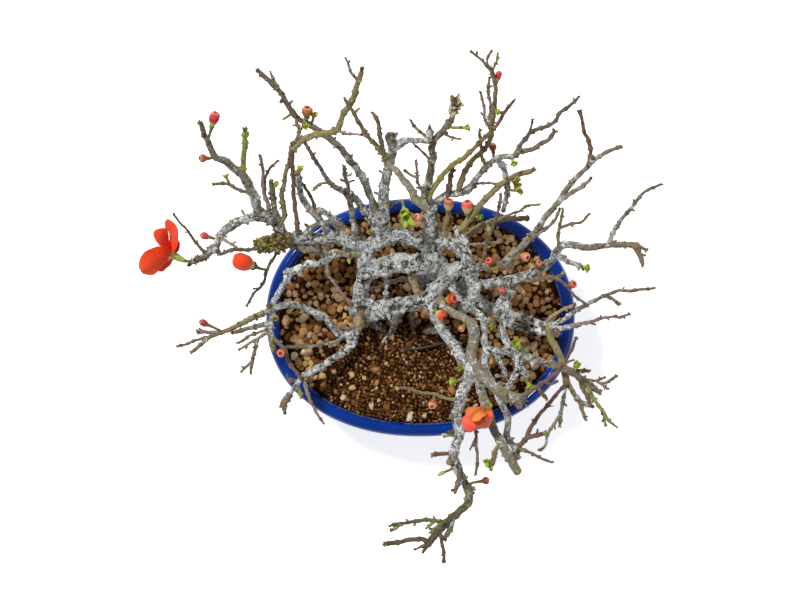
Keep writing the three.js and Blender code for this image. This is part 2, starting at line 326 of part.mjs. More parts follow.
// Young leaf tufts: name, limb, plan points of the stalk, its rise, leaf length, leaf count.
const LEAVES = [
  ["leaf_back_long", "back trunk", [[-20, 62], [-10.5, 65.5], [-9.6, 62.5]], 5, 16, 2],
  ["leaf_centre_right", "white side limb", [[36, -5], [39.2, -4.8]], 4, 4.5, 3],
  ["leaf_long_limb", "long white limb", [[50, -16], [52, -15]], 4, 6, 3],
  ["leaf_long_end", "long white limb", [[59, -32], [60.5, -36.5]], 2, 6, 3],
  ["leaf_front_limb", "white front limb", [[24, -24], [22.5, -27]], 3, 5, 2],
  ["leaf_cascade", "cascade", [[26.5, -35], [21.5, -35.5]], 2, 6, 2],
  ["leaf_front_cluster", "leaf spur front", [[41.2, -79], [39.5, -80.3]], 2, 6, 3],
  ["leaf_by_flower", "front right stem", [[36.6, -48], [37.8, -49.5]], 6, 5, 2],
  ["leaf_right_orange", "right upper limb", [[44, 29.5], [42.8, 27.8]], 3, 5, 2],
  ["leaf_stem_foot", "stem O", [[29, 57.5], [31.5, 56.6]], 2, 5, 2],
  ["leaf_twig", "twig QQ", [[37, 53.3], [38, 51.2]], 1, 4, 2],
  ["leaf_stem_top", "stem O", [[50, 78], [52.5, 76]], 3, 7, 3],
  ["leaf_stem_right", "stem O", [[48, 76.5], [50, 72], [53.5, 71.4]], 2, 5, 2],
  ["leaf_back_twig", "G leaf twig", [[20, 107], [23.5, 107]], 1, 5, 2],
  ["leaf_shoot", "shoot H", [[46.8, 114.5], [45, 115.3]], 2, 4, 2],
  ["leaf_stem_L", "stem L", [[51, 91], [51.8, 88.6]], 2, 4, 2],
  ["leaf_limb_end", "limb U", [[89, 29.3], [91.5, 28.6]], 2, 5, 2],
  ["leaf_back_orange", "long back stem", [[-61, 107.5], [-60.4, 111.5]], 3, 5, 2],
  ["leaf_pink_tip", "pink stem tip", [[-68.6, 104.5], [-66.8, 106.5]], 2, 5, 3],
  ["leaf_white_left", "white limb left", [[-69, 79], [-68, 81.5]], 2, 5, 2],
  ["leaf_left_inner", "left inner limb", [[-83.5, 72], [-81.9, 74]], 4, 4, 2],
  ["leaf_left_joint", "low left limb", [[-83, 4.5], [-82, 1.5]], 4, 5, 2],
  ["leaf_right_spur", "right spur stem", [[86, -29.8], [87, -28]], 3, 5, 2],
  ["leaf_left_sprig", "left side twig", [[-107, 74.5], [-108.6, 77.6]], 2, 4, 2],
];

// The open flower stands at the end of the flower limb and faces away from the tree.
const OPEN_STALK = ["flower limb", [[-127, 31.7], [-132, 32], [-137, 33]], 5];
const OPEN_FACING = new THREE.Vector3(-0.86, 0.06, 0.5);
const OPEN_PETAL = { length: 14, width: 11.5, spread: 1, bend: 0.5, cup: 0.2, turn: 0.3 };
const OPEN_PETALS = 5;
const STAMENS = 8;
// The half-open flower sits on a short stalk of the front right stem and faces up and forward.
const HALF_STALK = ["front right stem", [[37.5, -52], [35, -54]], 8];
const HALF_FACING = new THREE.Vector3(-0.45, -0.25, 0.85);
const HALF_PETAL = { length: 12.5, width: 10, spread: 0.55, bend: 0.1, cup: 0.35, turn: 0.45 };
const CALYX_LENGTH = 6.5;
const CALYX_RADIUS = 2.1;

// A seeded random number source, 0 to 1.
function seeded(seed) {
  let state = seed;
  return () => {
    state = (state + 0x6d2b79f5) | 0;
    let mixed = Math.imul(state ^ (state >>> 15), 1 | state);
    mixed = (mixed + Math.imul(mixed ^ (mixed >>> 7), 61 | mixed)) ^ mixed;
    return ((mixed ^ (mixed >>> 14)) >>> 0) / 4294967296;
  };
}

// Takes the perspective out of a plan point and puts it in the part's own heights.
function place(x, y, height) {
  const shrink = (VIEW_HEIGHT - height) / VIEW_HEIGHT;
  return new THREE.Vector3(
    VIEW_CENTRE[0] + (x - VIEW_CENTRE[0]) * shrink,
    VIEW_CENTRE[1] + (y - VIEW_CENTRE[1]) * shrink,
    POT_HEIGHT + height,
  );
}

// A closed skin through rings of equally many points, with a flat end over the first and the last ring. With
// a root point, the skin starts from that point instead of the flat first end.
function closedSkin(rings, root = null) {
  const around = rings[0].length;
  const points = rings.flat();
  const last = points.length - around;
  const triangles = [];
  for (let i = 0; i < around; i += 1) {
    const next = (i + 1) % around;
    for (let ring = 0; ring < rings.length - 1; ring += 1) {
      const low = ring * around;
      const high = low + around;
      triangles.push(low + i, low + next, high + next, low + i, high + next, high + i);
    }
    if (root) {
      triangles.push(points.length, next, i);
    } else if (i > 0 && next > 0) {
      triangles.push(0, next, i);
    }
    if (i > 0 && next > 0) {
      triangles.push(last, last + i, last + next);
    }
  }
  return faceOutwards(root ? [...points, root] : points, triangles);
}

function faceOutwards(points, triangles) {
  let volume = 0;
  const cross = new THREE.Vector3();
  for (let i = 0; i < triangles.length; i += 3) {
    const [a, b, c] = [points[triangles[i]], points[triangles[i + 1]], points[triangles[i + 2]]];
    volume += a.dot(cross.crossVectors(b, c));
  }
  if (volume < 0) {
    triangles.reverse();
  }
  const geometry = new THREE.BufferGeometry().setFromPoints(points);
  geometry.setIndex(triangles);
  return geometry;
}

function solid(geometry) {
  const bare = geometry.clone();
  bare.deleteAttribute("normal");
  bare.deleteAttribute("uv");
  const merged = mergeVertices(bare, 1e-4);
  return new wasm.Manifold(
    new wasm.Mesh({
      numProp: 3,
      vertProperties: new Float32Array(merged.attributes.position.array),
      triVerts: new Uint32Array(merged.index.array),
    }),
  );
}

function joined(solids) {
  return solids.reduce((whole, piece) => whole.add(piece));
}

// The largest body of a solid, without loose scraps or sealed hollows and without its tiniest edges.
function oneBody(whole, tolerance) {
  const bodies = whole.simplify(tolerance).decompose();
  return bodies.reduce((best, body) => (body.volume() > best.volume() ? body : best));
}

function geometryOf(whole) {
  const mesh = whole.getMesh();
  const geometry = new THREE.BufferGeometry();
  geometry.setAttribute("position", new THREE.BufferAttribute(mesh.vertProperties, 3));
  geometry.setIndex(new THREE.BufferAttribute(mesh.triVerts, 1));
  const flat = geometry.toNonIndexed();
  flat.computeVertexNormals();
  return flat;
}

const bonsai = new THREE.Group();

function addNode(name, geometry, colour, roughness) {
  const material = new THREE.MeshStandardMaterial({ color: colour, roughness, metalness: 0 });
  const mesh = new THREE.Mesh(geometry, material);
  mesh.name = name;
  bonsai.add(mesh);
}

// Pot

// The pot's oval, drawn in by inset, at a height above the surface that the pot stands on.
function oval(inset, height, segments = POT_SEGMENTS) {
  const ring = [];
  for (let i = 0; i < segments; i += 1) {
    const angle = ((i + 0.5) / segments) * 2 * Math.PI;
    const c = Math.cos(angle);
    const s = Math.sin(angle);
    const x = Math.sign(c) * Math.abs(c) ** (2 / POT_SQUARENESS) * (POT_LENGTH / 2 - inset);
    const y = Math.sign(s) * Math.abs(s) ** (2 / POT_SQUARENESS) * (POT_WIDTH / 2 - inset);
    ring.push(new THREE.Vector3(x, y, height));
  }
  return ring;
}

// [inset, height] up the outside, over the lip and down the inside.
const POT_PROFILE = [
  [16, FOOT_HEIGHT],
  [8.6, FOOT_HEIGHT + 13],
  [4.6, POT_HEIGHT - 12],
  [3.8, POT_HEIGHT - 8],
  [0.9, POT_HEIGHT - 7],
  [0, POT_HEIGHT - 4.5],
  [0.9, POT_HEIGHT - 1.4],
  [3.4, POT_HEIGHT],
  [5.4, POT_HEIGHT - 0.3],
  [7, POT_HEIGHT - 2.4],
  [8.6, POT_HEIGHT - 12],
  [13, FLOOR_TOP + 8],
  [18, FLOOR_TOP],
];

function potSolid() {
  let pot = solid(closedSkin(POT_PROFILE.map(([inset, height]) => oval(inset, height))));
  for (const side of [-1, 1]) {
    const drain = new THREE.CylinderGeometry(DRAIN_RADIUS, DRAIN_RADIUS, 3 * FLOOR_TOP, 16);
    drain.rotateX(Math.PI / 2).translate(side * DRAIN_X, 0, FLOOR_TOP);
    pot = pot.subtract(solid(drain));
  }
  return joined([pot, ...FOOT_ANGLES.map(foot)]);
}

const FOOT_ANGLES = [0.62, Math.PI - 0.62, Math.PI + 0.62, 2 * Math.PI - 0.62];
const FOOT_SPAN = 0.2;
const FOOT_STEPS = 4;

// A low bracket foot that follows the oval and narrows towards the ground.
function foot(middle) {
  const rings = [];
  for (const [height, grow] of [[0, 0], [FOOT_HEIGHT - 2, 0.6], [FOOT_HEIGHT + 3, 1.6]]) {
    const ring = [];
    for (const [inset, way] of [[15 - grow, 1], [27 + grow, -1]]) {
      for (let step = 0; step < FOOT_STEPS; step += 1) {
        const turn = way * ((2 * step) / (FOOT_STEPS - 1) - 1);
        const angle = middle + turn * (FOOT_SPAN + 0.01 * grow);
        ring.push(new THREE.Vector3(
          (POT_LENGTH / 2 - inset) * Math.cos(angle),
          (POT_WIDTH / 2 - inset) * Math.sin(angle),
          height,
        ));
      }
    }
    rings.push(ring);
  }
  return solid(closedSkin(rings));
}

// Drain screens and tie wire

function screenSolid(side) {
  const sheet = new THREE.BoxGeometry(MESH_SIDE, MESH_SIDE, MESH_THICKNESS);
  const holes = [];
  for (const column of [-1, 0, 1]) {
    for (const row of [-1, 0, 1]) {
      const hole = new THREE.BoxGeometry(MESH_HOLE, MESH_HOLE, 3 * MESH_THICKNESS);
      holes.push(solid(hole.translate(column * MESH_PITCH, row * MESH_PITCH, 0)));
    }
  }
  const height = FLOOR_TOP + SEAT_GAP + MESH_THICKNESS / 2;
  return solid(sheet).subtract(joined(holes)).translate([side * DRAIN_X, 0, height]);
}

// The wire comes up through one drain hole, over the root base and down through the other.
const WIRE_HOLE_X = DRAIN_X;
const WIRE_ROW_Y = 0;
const WIRE_ROUTE = [
  [-WIRE_HOLE_X - 14, WIRE_ROW_Y, 4],
  [-WIRE_HOLE_X - 4, WIRE_ROW_Y, 4],
  [-WIRE_HOLE_X, WIRE_ROW_Y, 8],
  [-WIRE_HOLE_X, WIRE_ROW_Y, 18],
  [-WIRE_HOLE_X + 1, -12, 30],
  [-22, -17, 44],
  [-9, -18, 50.5],
  [-2, -17.5, 53],
  [7, -15.8, 53.4],
  [15, -13.4, 52.4],
  [23, -10, 47],
  [WIRE_HOLE_X - 4, -3, 32],
  [WIRE_HOLE_X, WIRE_ROW_Y, 18],
  [WIRE_HOLE_X, WIRE_ROW_Y, 8],
  [WIRE_HOLE_X + 4, WIRE_ROW_Y, 4],
  [WIRE_HOLE_X + 14, WIRE_ROW_Y, 4],
];

function wireGeometry(radius) {
  const corners = [];
  for (let i = 0; i < 5; i += 1) {
    const angle = (i * 2 * Math.PI) / 5;
    corners.push(new THREE.Vector2(radius * Math.cos(angle), radius * Math.sin(angle)));
  }
  const route = new THREE.CatmullRomCurve3(
    WIRE_ROUTE.map((point) => new THREE.Vector3(...point)), false, "centripetal");
  return new THREE.ExtrudeGeometry(new THREE.Shape(corners), { extrudePath: route, steps: 26, bevelEnabled: false });
}

// Wood

// The skin of a limb of changing radius through points, with knobbly sides where lumps is above 0. Its
// cross-section has few sides and the area of the full round one. A sprout starts from its first point as a
// cone, so that its root stays inside the wood that it grows from.
function limbSkin(points, radii, { sides, lumps = 0, seed = 1, sprout = false }, clearance = 0) {
  const rings = [];
  const random = seeded(seed);
  const fullness = Math.sqrt((2 * Math.PI) / (sides * Math.sin((2 * Math.PI) / sides)));
  let across = new THREE.Vector3(0.31, 0.17, 0.93);
  for (let i = sprout ? 1 : 0; i < points.length; i += 1) {
    const ahead = points[Math.min(i + 1, points.length - 1)].clone();
    ahead.sub(points[Math.max(i - 1, 0)]).normalize();
    across = across.clone().addScaledVector(ahead, -across.dot(ahead)).normalize();
    const up = new THREE.Vector3().crossVectors(ahead, across);
    const ring = [];
    for (let side = 0; side < sides; side += 1) {
      const angle = (side / sides) * 2 * Math.PI;
      const reach = fullness * radii[i] * (1 + lumps * (random() - 0.5)) + clearance;
      const point = points[i].clone().addScaledVector(across, reach * Math.cos(angle));
      ring.push(point.addScaledVector(up, reach * Math.sin(angle)));
    }
    rings.push(ring);
  }
  return closedSkin(rings, sprout ? points[0] : null);
}

// More points along a thick limb, on a smooth curve.
function smoothed(points, radii, step) {
  const curve = new THREE.CatmullRomCurve3(points, false, "centripetal");
  const count = Math.max(3, Math.round(curve.getLength() / step));
  const finePoints = [];
  const fineRadii = [];
  for (let i = 0; i <= count; i += 1) {
    const along = (i / count) * (points.length - 1);
    const index = Math.min(Math.floor(along), points.length - 2);
    finePoints.push(curve.getPoint(i / count));
    fineRadii.push(THREE.MathUtils.lerp(radii[index], radii[index + 1], along - index));
  }
  return [finePoints, fineRadii];
}

// Which points a thin limb keeps: those within slack of the straight line past them are left out.
function keptAlong(points, slack) {
  const kept = [0, points.length - 1];
  const spans = [[0, points.length - 1]];
  while (spans.length) {
    const [from, to] = spans.pop();
    const line = new THREE.Line3(points[from], points[to]);
    const nearest = new THREE.Vector3();
    let [farthest, distance] = [0, slack];
    for (let i = from + 1; i < to; i += 1) {
      const away = line.closestPointToPoint(points[i], true, nearest).distanceTo(points[i]);
      if (away > distance) {
        [farthest, distance] = [i, away];
      }
    }
    if (farthest) {
      kept.push(farthest);
      spans.push([from, farthest], [farthest, to]);
    }
  }
  return kept.sort((a, b) => a - b);
}

// Notes a limb's middle line for what grows from it. A thick limb's skin follows a smooth curve and a thin
// limb's skin the straight lines between the points that it keeps.
function settle(name, plan, heights, radii, slack) {
  const points = plan.map(([x, y], i) => place(x, y, heights[i]));
  if (Math.max(...radii) > THICK) {
    grown.set(name, { plan, heights, radii });
    return smoothed(points, radii, 11);
  }
  const kept = keptAlong(points, slack);
  const only = (list) => kept.map((i) => list[i]);
  grown.set(name, { plan: only(plan), heights: only(heights), radii: only(radii) });
  return [only(points), only(radii)];
}

const grown = new Map();

// The place on a limb's middle line that is nearest to a plan point, a little short of the limb's end: its
// plan point, height and radius.
function nearestOn(limbName, x, y) {
  const { plan, heights, radii } = grown.get(limbName);
  let best = { distance: Infinity };
  for (let i = 0; i < plan.length - 1; i += 1) {
    const [ax, ay] = plan[i];
    const [bx, by] = plan[i + 1];
    const span = (bx - ax) ** 2 + (by - ay) ** 2;
    const shortOfEnd = i === plan.length - 2 ? Math.max(0, 1 - (0.8 * radii[i]) / Math.sqrt(span)) : 1;
    const along = ((x - ax) * (bx - ax) + (y - ay) * (by - ay)) / span;
    const t = THREE.MathUtils.clamp(along, 0, shortOfEnd);
    const px = ax + t * (bx - ax);
    const py = ay + t * (by - ay);
    const distance = Math.hypot(x - px, y - py);
    if (distance < best.distance) {
      best = {
        distance,
        plan: [px, py],
        height: THREE.MathUtils.lerp(heights[i], heights[i + 1], t),
        radius: THREE.MathUtils.lerp(radii[i], radii[i + 1], t),
      };
    }
  }
  return best;
}

// A limb's points and radii from its foot on another limb, rising evenly with a slight waver.
function grow(name, from, footRadius, tipRadius, rise, way) {
  const start = nearestOn(from, ...way[0]);
  const plan = start.distance > 1.5 ? [start.plan, ...way] : [start.plan, ...way.slice(1)];
  const lengths = [0];
  for (let i = 1; i < plan.length; i += 1) {
    const step = Math.hypot(plan[i][0] - plan[i - 1][0], plan[i][1] - plan[i - 1][1]);
    lengths.push(lengths[i - 1] + step);
  }
  const total = lengths[lengths.length - 1];
  const waver = Math.min(2, 0.03 * total);
  const heights = lengths.map((length) => {
    const part = length / total;
    return start.height + rise * part + waver * part * Math.sin(length / 8 + total);
  });
  const radii = lengths.map((length) => THREE.MathUtils.lerp(footRadius, tipRadius, length / total));
  return withCollar(...settle(name, plan, heights, radii, 1.3), start.radius);
}

// The points and radii again, with one more where the limb comes out of the wood that it grows from.
function withCollar(points, radii, collar) {
  const first = points[1].distanceTo(points[0]);
  if (first < 1.8 * collar) {
    return [points, radii];
  }
  const out = points[0].clone().lerp(points[1], collar / first);
  return [[points[0], out, ...points.slice(1)], [radii[0], radii[0], ...radii.slice(1)]];
}

// How many sides a limb is given: a pair for each radius from which that many are used.
const SIDES = [[5, 7], [3.2, 6], [2.3, 5], [1.35, 4], [0, 3]];

function sidesFor(radius) {
  return SIDES.find(([least]) => radius > least)[1];
}

const woodPieces = [];
const soilCutters = [];
const CUTTER_CLEARANCE = 0.45;
const SOIL_REACH = 9; // wood with a lower side below this height, from the rim, is cut out of the soil

function addWood(points, radii, look) {
  woodPieces.push(solid(limbSkin(points, radii, look)));
  const lowest = Math.min(...points.map((point, i) => point.z - radii[i]));
  if (lowest < POT_HEIGHT + SOIL_REACH) {
    soilCutters.push(solid(limbSkin(points, radii, look, CUTTER_CLEARANCE)));
  }
}

// Short side spurs along a twig, to either side in turn and a little upwards.
function addSpurs(points, radii, seed) {
  const random = seeded(seed);
  let carried = SPUR_PITCH * random();
  let way = 1;
  for (let i = 1; i < points.length; i += 1) {
    const step = points[i].clone().sub(points[i - 1]);
    const length = step.length();
    const ahead = step.clone().normalize();
    const side = new THREE.Vector3(-ahead.y, ahead.x, 0).normalize();
    while (carried < length) {
      const foot = points[i - 1].clone().addScaledVector(ahead, carried);
      const heading = ahead.clone().multiplyScalar(0.6 + 0.5 * random());
      heading.addScaledVector(side, way).add(new THREE.Vector3(0, 0, 0.9 * random() - 0.15));
      const reach = radii[i] + 1.6 + 2.2 * random();
      const tip = foot.clone().addScaledVector(heading.normalize(), reach);
      addWood([foot, tip], [0, 0.8], { sides: 3, sprout: true });
      way = -way;
      carried += SPUR_PITCH * (0.6 + 0.8 * random());
    }
    carried -= length;
  }
}

// Flowers, buds and leaves

// Turns a geometry made along +Z to a direction, with its foot at a point.
function pointAlong(geometry, direction, footPoint, spin = 0) {
  const turn = new THREE.Quaternion().setFromUnitVectors(
    new THREE.Vector3(0, 0, 1), direction.clone().normalize());
  geometry.rotateZ(spin).applyQuaternion(turn).translate(footPoint.x, footPoint.y, footPoint.z);
  return geometry;
}

const BUD_PROFILE = [[0.4, 0], [1, 0.4], [0.35, 1]]; // [of half width, of length]
const BUD_SIDES = 6;
const BUD_OVERLAP = 0.12;

// A bud of three wrapped petals: each petal's free edge stands out over the next one, in a slow spiral.
function budGeometry(length, width) {
  const rings = BUD_PROFILE.map(([across, along]) => {
    const ring = [];
    for (let side = 0; side < BUD_SIDES; side += 1) {
      const angle = (side / BUD_SIDES) * 2 * Math.PI + 0.7 * along;
      const edge = 1 + BUD_OVERLAP * (side % 2);
      const reach = (width / 2) * across * edge;
      ring.push(new THREE.Vector3(reach * Math.cos(angle), reach * Math.sin(angle), along * length));
    }
    return ring;
  });
  return closedSkin(rings);
}

// A thin blade that starts at the origin, runs along +Z and bends back towards +X.
// halfWidth(along) gives its outline, cup lifts its sides and ripple waves its edge.
function bladeGeometry(length, halfWidth, bend, cup, ripple, rows, columns, thickness) {
  const faces = [];
  for (const lift of [0, thickness]) {
    for (let row = 0; row <= rows; row += 1) {
      const along = row / rows;
      const lean = bend * along;
      const middleX = (length / Math.max(bend, 0.01)) * (1 - Math.cos(lean));
      const middleZ = (length / Math.max(bend, 0.01)) * Math.sin(lean);
      for (let column = 0; column <= columns; column += 1) {
        const across = (2 * column) / columns - 1;
        const width = halfWidth(along);
        const wave = ripple * width * along * Math.abs(across) * Math.cos(2.5 * Math.PI * along + column);
        const rise = -cup * width * across * across + wave + lift;
        faces.push(new THREE.Vector3(
          middleX + rise * Math.cos(lean),
          width * across,
          middleZ - rise * Math.sin(lean),
        ));
      }
    }
  }
  const across = columns + 1;
  const back = (rows + 1) * across;
  const triangles = [];
  for (let row = 0; row < rows; row += 1) {
    for (let column = 0; column < columns; column += 1) {
      const a = row * across + column;
      const [b, c, d] = [a + 1, a + across + 1, a + across];
      triangles.push(a, b, c, a, c, d, back + a, back + c, back + b, back + a, back + d, back + c);
    }
  }
  const edge = [];
  for (let column = 0; column < columns; column += 1) edge.push(column);
  for (let row = 0; row < rows; row += 1) edge.push(row * across + columns);
  for (let column = columns; column > 0; column -= 1) edge.push(rows * across + column);
  for (let row = rows; row > 0; row -= 1) edge.push(row * across);
  edge.forEach((a, i) => {
    const b = edge[(i + 1) % edge.length];
    triangles.push(a, back + b, b, a, back + a, back + b);
  });
  return faceOutwards(faces, triangles);
}

const BLADE_THICKNESS = 0.75;
const RIB_THICKNESS = 1;

// A ring of petals round the origin, facing +Z and sunk into a small disc that holds them. Each is turned a
// little about its own length, so that one edge lies over its neighbour and the other edge under.
function petalRing(count, petal) {
  const outline = (along) => Math.max((petal.width / 2) * Math.sin(Math.PI * along ** 0.8) ** 0.5, 1);
  const disc = new THREE.CylinderGeometry(2.1, 1.3, 1.6, 8);
  disc.rotateX(Math.PI / 2).translate(0, 0, 0.8);
  const pieces = [solid(disc)];
  for (let i = 0; i < count; i += 1) {
    const blade = bladeGeometry(
      petal.length, outline, petal.bend, petal.cup, 0.15, 3, 2, BLADE_THICKNESS);
    blade.rotateZ(petal.turn).rotateY(petal.spread).translate(0.7, 0, 0.5);
    blade.rotateZ((i / count) * 2 * Math.PI);
    pieces.push(solid(blade));
  }
  return oneBody(joined(pieces), 0.05);
}

function stamenTuft() {
  const head = new THREE.CylinderGeometry(1.1, 1.1, 1, 6);
  head.rotateX(Math.PI / 2).translate(0, 0, 2.4);
  const pieces = [solid(head)];
  for (let i = 0; i < STAMENS; i += 1) {
    const angle = (i / STAMENS) * 2 * Math.PI;
    const lean = i % 2 ? 0.6 : 0.35;
    const heading = new THREE.Vector3().setFromSphericalCoords(5.4, lean, angle);
    const foot = new THREE.Vector3(0, 0, 2.3);
    const end = new THREE.Vector3(heading.x, heading.z, heading.y + 2.3);
    pieces.push(solid(limbSkin([foot, end], [0, 0.55], { sides: 3, sprout: true })));
  }
  return oneBody(joined(pieces), 0.02);
}

// A five-lobed green cup.
function calyxGeometry() {
  const rings = [[0.6, 0], [0.9, 0.6], [1.2, 1]].map(([across, along]) => {
    const ring = [];
    for (let side = 0; side < 10; side += 1) {
      const angle = (side / 10) * 2 * Math.PI;
      const reach = CALYX_RADIUS * across * (side % 2 ? 1 : 1 - 0.2 * along);
      ring.push(new THREE.Vector3(reach * Math.cos(angle), reach * Math.sin(angle), CALYX_LENGTH * along));
    }
    return ring;
  });
  return closedSkin(rings);
}

// A tuft of young leaves that open out round a tiny leaf bud, pointing along +Z. They meet inside the bud.
// Each is an arched blade folded a little along its rib, thickest there.
function leafTuft(length, count, spin) {
  const core = new THREE.OctahedronGeometry(1.3, 0);
  core.translate(0, 0, 1.4);
  const pieces = [solid(core)];
  const steps = length > 10 ? [0.2, 0.45, 0.75, 0.96] : [0.5, 0.94];
  for (let i = 0; i < count; i += 1) {
    const size = length * (i ? 0.78 : 1);
    const rings = steps.map((along) => {
      const half = 0.27 * size * Math.sin(Math.PI * (0.06 + 0.84 * along));
      const arch = 0.22 * size * along ** 2;
      const rib = arch + RIB_THICKNESS / 2;
      return [
        new THREE.Vector3(arch - 0.35 * half, half, along * size),
        new THREE.Vector3(rib, 0, along * size),
        new THREE.Vector3(arch - 0.35 * half, -half, along * size),
        new THREE.Vector3(rib - RIB_THICKNESS, 0, along * size),
      ];
    });
    const blade = closedSkin(rings, new THREE.Vector3());
    blade.rotateY(0.35 + 0.25 * i).translate(0, 0, 1).rotateZ((i / count) * 2 * Math.PI + spin);
    pieces.push(solid(blade));
  }
  return oneBody(joined(pieces), 0.05);
}

// A stalk from a limb to plan points, with a cup of cupRadius at its end; returns where the cup ends.
function addStalk(from, way, rise, footRadius, cupRadius) {
  const start = nearestOn(from, ...way[0]);
  const plan = [start.plan, ...way.slice(1)];
  const heights = plan.map((point, i) => start.height + (rise * i) / (plan.length - 1));
  const points = plan.map(([x, y], i) => place(x, y, heights[i]));
  const tip = points[points.length - 1];
  const heading = tip.clone().sub(points[points.length - 2]).normalize();
  const radii = points.map((point, i) => (i === points.length - 1 ? cupRadius : footRadius));
  addWood(points, radii, { sides: cupRadius > 1 ? 4 : 3, sprout: true });
  return { seat: tip.clone().addScaledVector(heading, SEAT_GAP), heading };
}

// Soil

function soilSolid() {
  const rings = [
    oval(18.6, FLOOR_TOP + SEAT_GAP),
    oval(13.6, FLOOR_TOP + 8),
    oval(9.1, POT_HEIGHT - 12),
    oval(SOIL_INSET, POT_HEIGHT + SOIL_EDGE),
    oval(24, POT_HEIGHT + SOIL_CROWN),
  ];
  let soil = solid(closedSkin(rings));
  const random = seeded(7);
  const rowStep = GRAIN_PITCH * 0.866;
  const grains = [];
  const limitX = POT_LENGTH / 2 - SOIL_INSET - GRAIN_RADIUS - 1.5;
  const limitY = POT_WIDTH / 2 - SOIL_INSET - GRAIN_RADIUS - 1.5;
  for (let row = 0; (row - 8) * rowStep < limitY; row += 1) {
    for (let column = 0; (column - 9) * GRAIN_PITCH < limitX; column += 1) {
      const x = (column - 9 + 0.5 * (row % 2)) * GRAIN_PITCH + 2.4 * (random() - 0.5);
      const y = (row - 8) * rowStep + 2.4 * (random() - 0.5);
      const inside = Math.hypot(x / limitX, y / limitY);
      const turn = new THREE.Euler(0.9 * random() - 0.45, 0.9 * random() - 0.45, 6 * random(), "ZXY");
      const size = GRAIN_RADIUS * (0.85 + 0.3 * random());
      if (inside > 1) {
        continue;
      }
      const grain = new THREE.OctahedronGeometry(size, 0);
      grain.scale(1, 0.86, 0.46).applyQuaternion(new THREE.Quaternion().setFromEuler(turn));
      const surface = SOIL_CROWN + (SOIL_EDGE - SOIL_CROWN) * inside ** 6;
      grain.translate(x, y, POT_HEIGHT + surface - 0.1 * size);
      grains.push(solid(grain));
    }
  }
  soil = joined([soil, ...grains]);
  for (const side of [-1, 1]) {
    const room = new THREE.BoxGeometry(
      MESH_SIDE + 2 * SEAT_GAP, MESH_SIDE + 2 * SEAT_GAP, 2 * (MESH_THICKNESS + 2 * SEAT_GAP));
    room.translate(side * DRAIN_X, 0, FLOOR_TOP);
    soil = soil.subtract(solid(room));
  }
  soil = soil.subtract(solid(wireGeometry(WIRE_RADIUS + CUTTER_CLEARANCE)));
  return oneBody(soil.subtract(joined(soilCutters)), 0.03);
}

// Assembly

addNode("pot", geometryOf(oneBody(potSolid(), 0.01)), 0x0a2a8c, 0.15);
addNode("drain_screen_left", geometryOf(screenSolid(-1)), 0x22221f, 0.6);
addNode("drain_screen_right", geometryOf(screenSolid(1)), 0x22221f, 0.6);
addNode("tie_wire", wireGeometry(WIRE_RADIUS), 0x3a2a20, 0.4);

TRUNKS.forEach(([name, way], index) => {
  const column = (which) => way.map((point) => point[which]);
  const plan = way.map(([x, y]) => [x, y]);
  const [points, radii] = settle(name, plan, column(2), column(3), 0.7);
  addWood(points, radii, { sides: sidesFor(Math.max(...radii)), lumps: 0.16, seed: 100 + index });
});

LIMBS.forEach(([name, from, footRadius, tipRadius, rise, way], index) => {
  const [points, radii] = grow(name, from, footRadius, tipRadius, rise, way);
  addWood(points, radii, { sides: sidesFor(footRadius), lumps: 0.16, seed: 300 + index, sprout: true });
  if (footRadius < SPURRED_BELOW) {
    addSpurs(points, radii, 600 + index);
  }
});

BUDS.forEach(([name, from, way, rise, length, width], index) => {
  const { seat, heading } = addStalk(from, way, rise, 0.8, 0.36 * width);
  const bud = pointAlong(budGeometry(length, width), heading, seat, index);
  addNode(name, geometryOf(solid(bud)), 0xd8402a, 0.5);
});

LEAVES.forEach(([name, from, way, rise, length, count], index) => {
  const { seat, heading } = addStalk(from, way, rise, 0.8, 0.9);
  const tuft = geometryOf(leafTuft(length, count, index));
  addNode(name, pointAlong(tuft, heading, seat), 0x9cb420, 0.6);
});

const openSeat = addStalk(...OPEN_STALK, 1.2, 1.2);
const openCup = pointAlong(calyxGeometry(), openSeat.heading, openSeat.seat);
addNode("flower_open_calyx", geometryOf(solid(openCup)), 0x8fa83a, 0.6);
const openFoot = openSeat.seat.clone();
openFoot.addScaledVector(openSeat.heading, CALYX_LENGTH + SEAT_GAP);
const openPetals = geometryOf(petalRing(OPEN_PETALS, OPEN_PETAL));
addNode("flower_open_petals", pointAlong(openPetals, OPEN_FACING, openFoot, 0.4), 0xe83a20, 0.5);
const openStamens = geometryOf(stamenTuft());
addNode("flower_open_stamens", pointAlong(openStamens, OPEN_FACING, openFoot), 0xe8c860, 0.6);

const halfSeat = addStalk(...HALF_STALK, 1.1, 1.2);
const halfCup = pointAlong(calyxGeometry().scale(0.9, 0.9, 0.7), HALF_FACING, halfSeat.seat);
addNode("flower_half_calyx", geometryOf(solid(halfCup)), 0x8fa83a, 0.6);
const halfFoot = halfSeat.seat.clone();
halfFoot.addScaledVector(HALF_FACING.clone().normalize(), 0.7 * CALYX_LENGTH + SEAT_GAP);
const halfPetals = geometryOf(petalRing(OPEN_PETALS, HALF_PETAL));
addNode("flower_half_petals", pointAlong(halfPetals, HALF_FACING, halfFoot, 0.9), 0xf0643a, 0.5);

addNode("soil", geometryOf(soilSolid()), 0x6b4426, 0.9);
addNode("tree", geometryOf(oneBody(joined(woodPieces), 0.04)), 0x8c867c, 0.85);

// The origin goes to the centre of the whole object's box at the surface that the pot stands on.
const box = new THREE.Box3().setFromObject(bonsai);
bonsai.position.set(-(box.min.x + box.max.x) / 2, -(box.min.y + box.max.y) / 2, 0);

export default bonsai;
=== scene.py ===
"""A chojubai flowering quince grown as a small clump bonsai, in a blue-glazed oval pot.

Lengths in the tables are millimetres from the middle of the pot, and finished meshes are in metres.
"""

import json
import math
import random

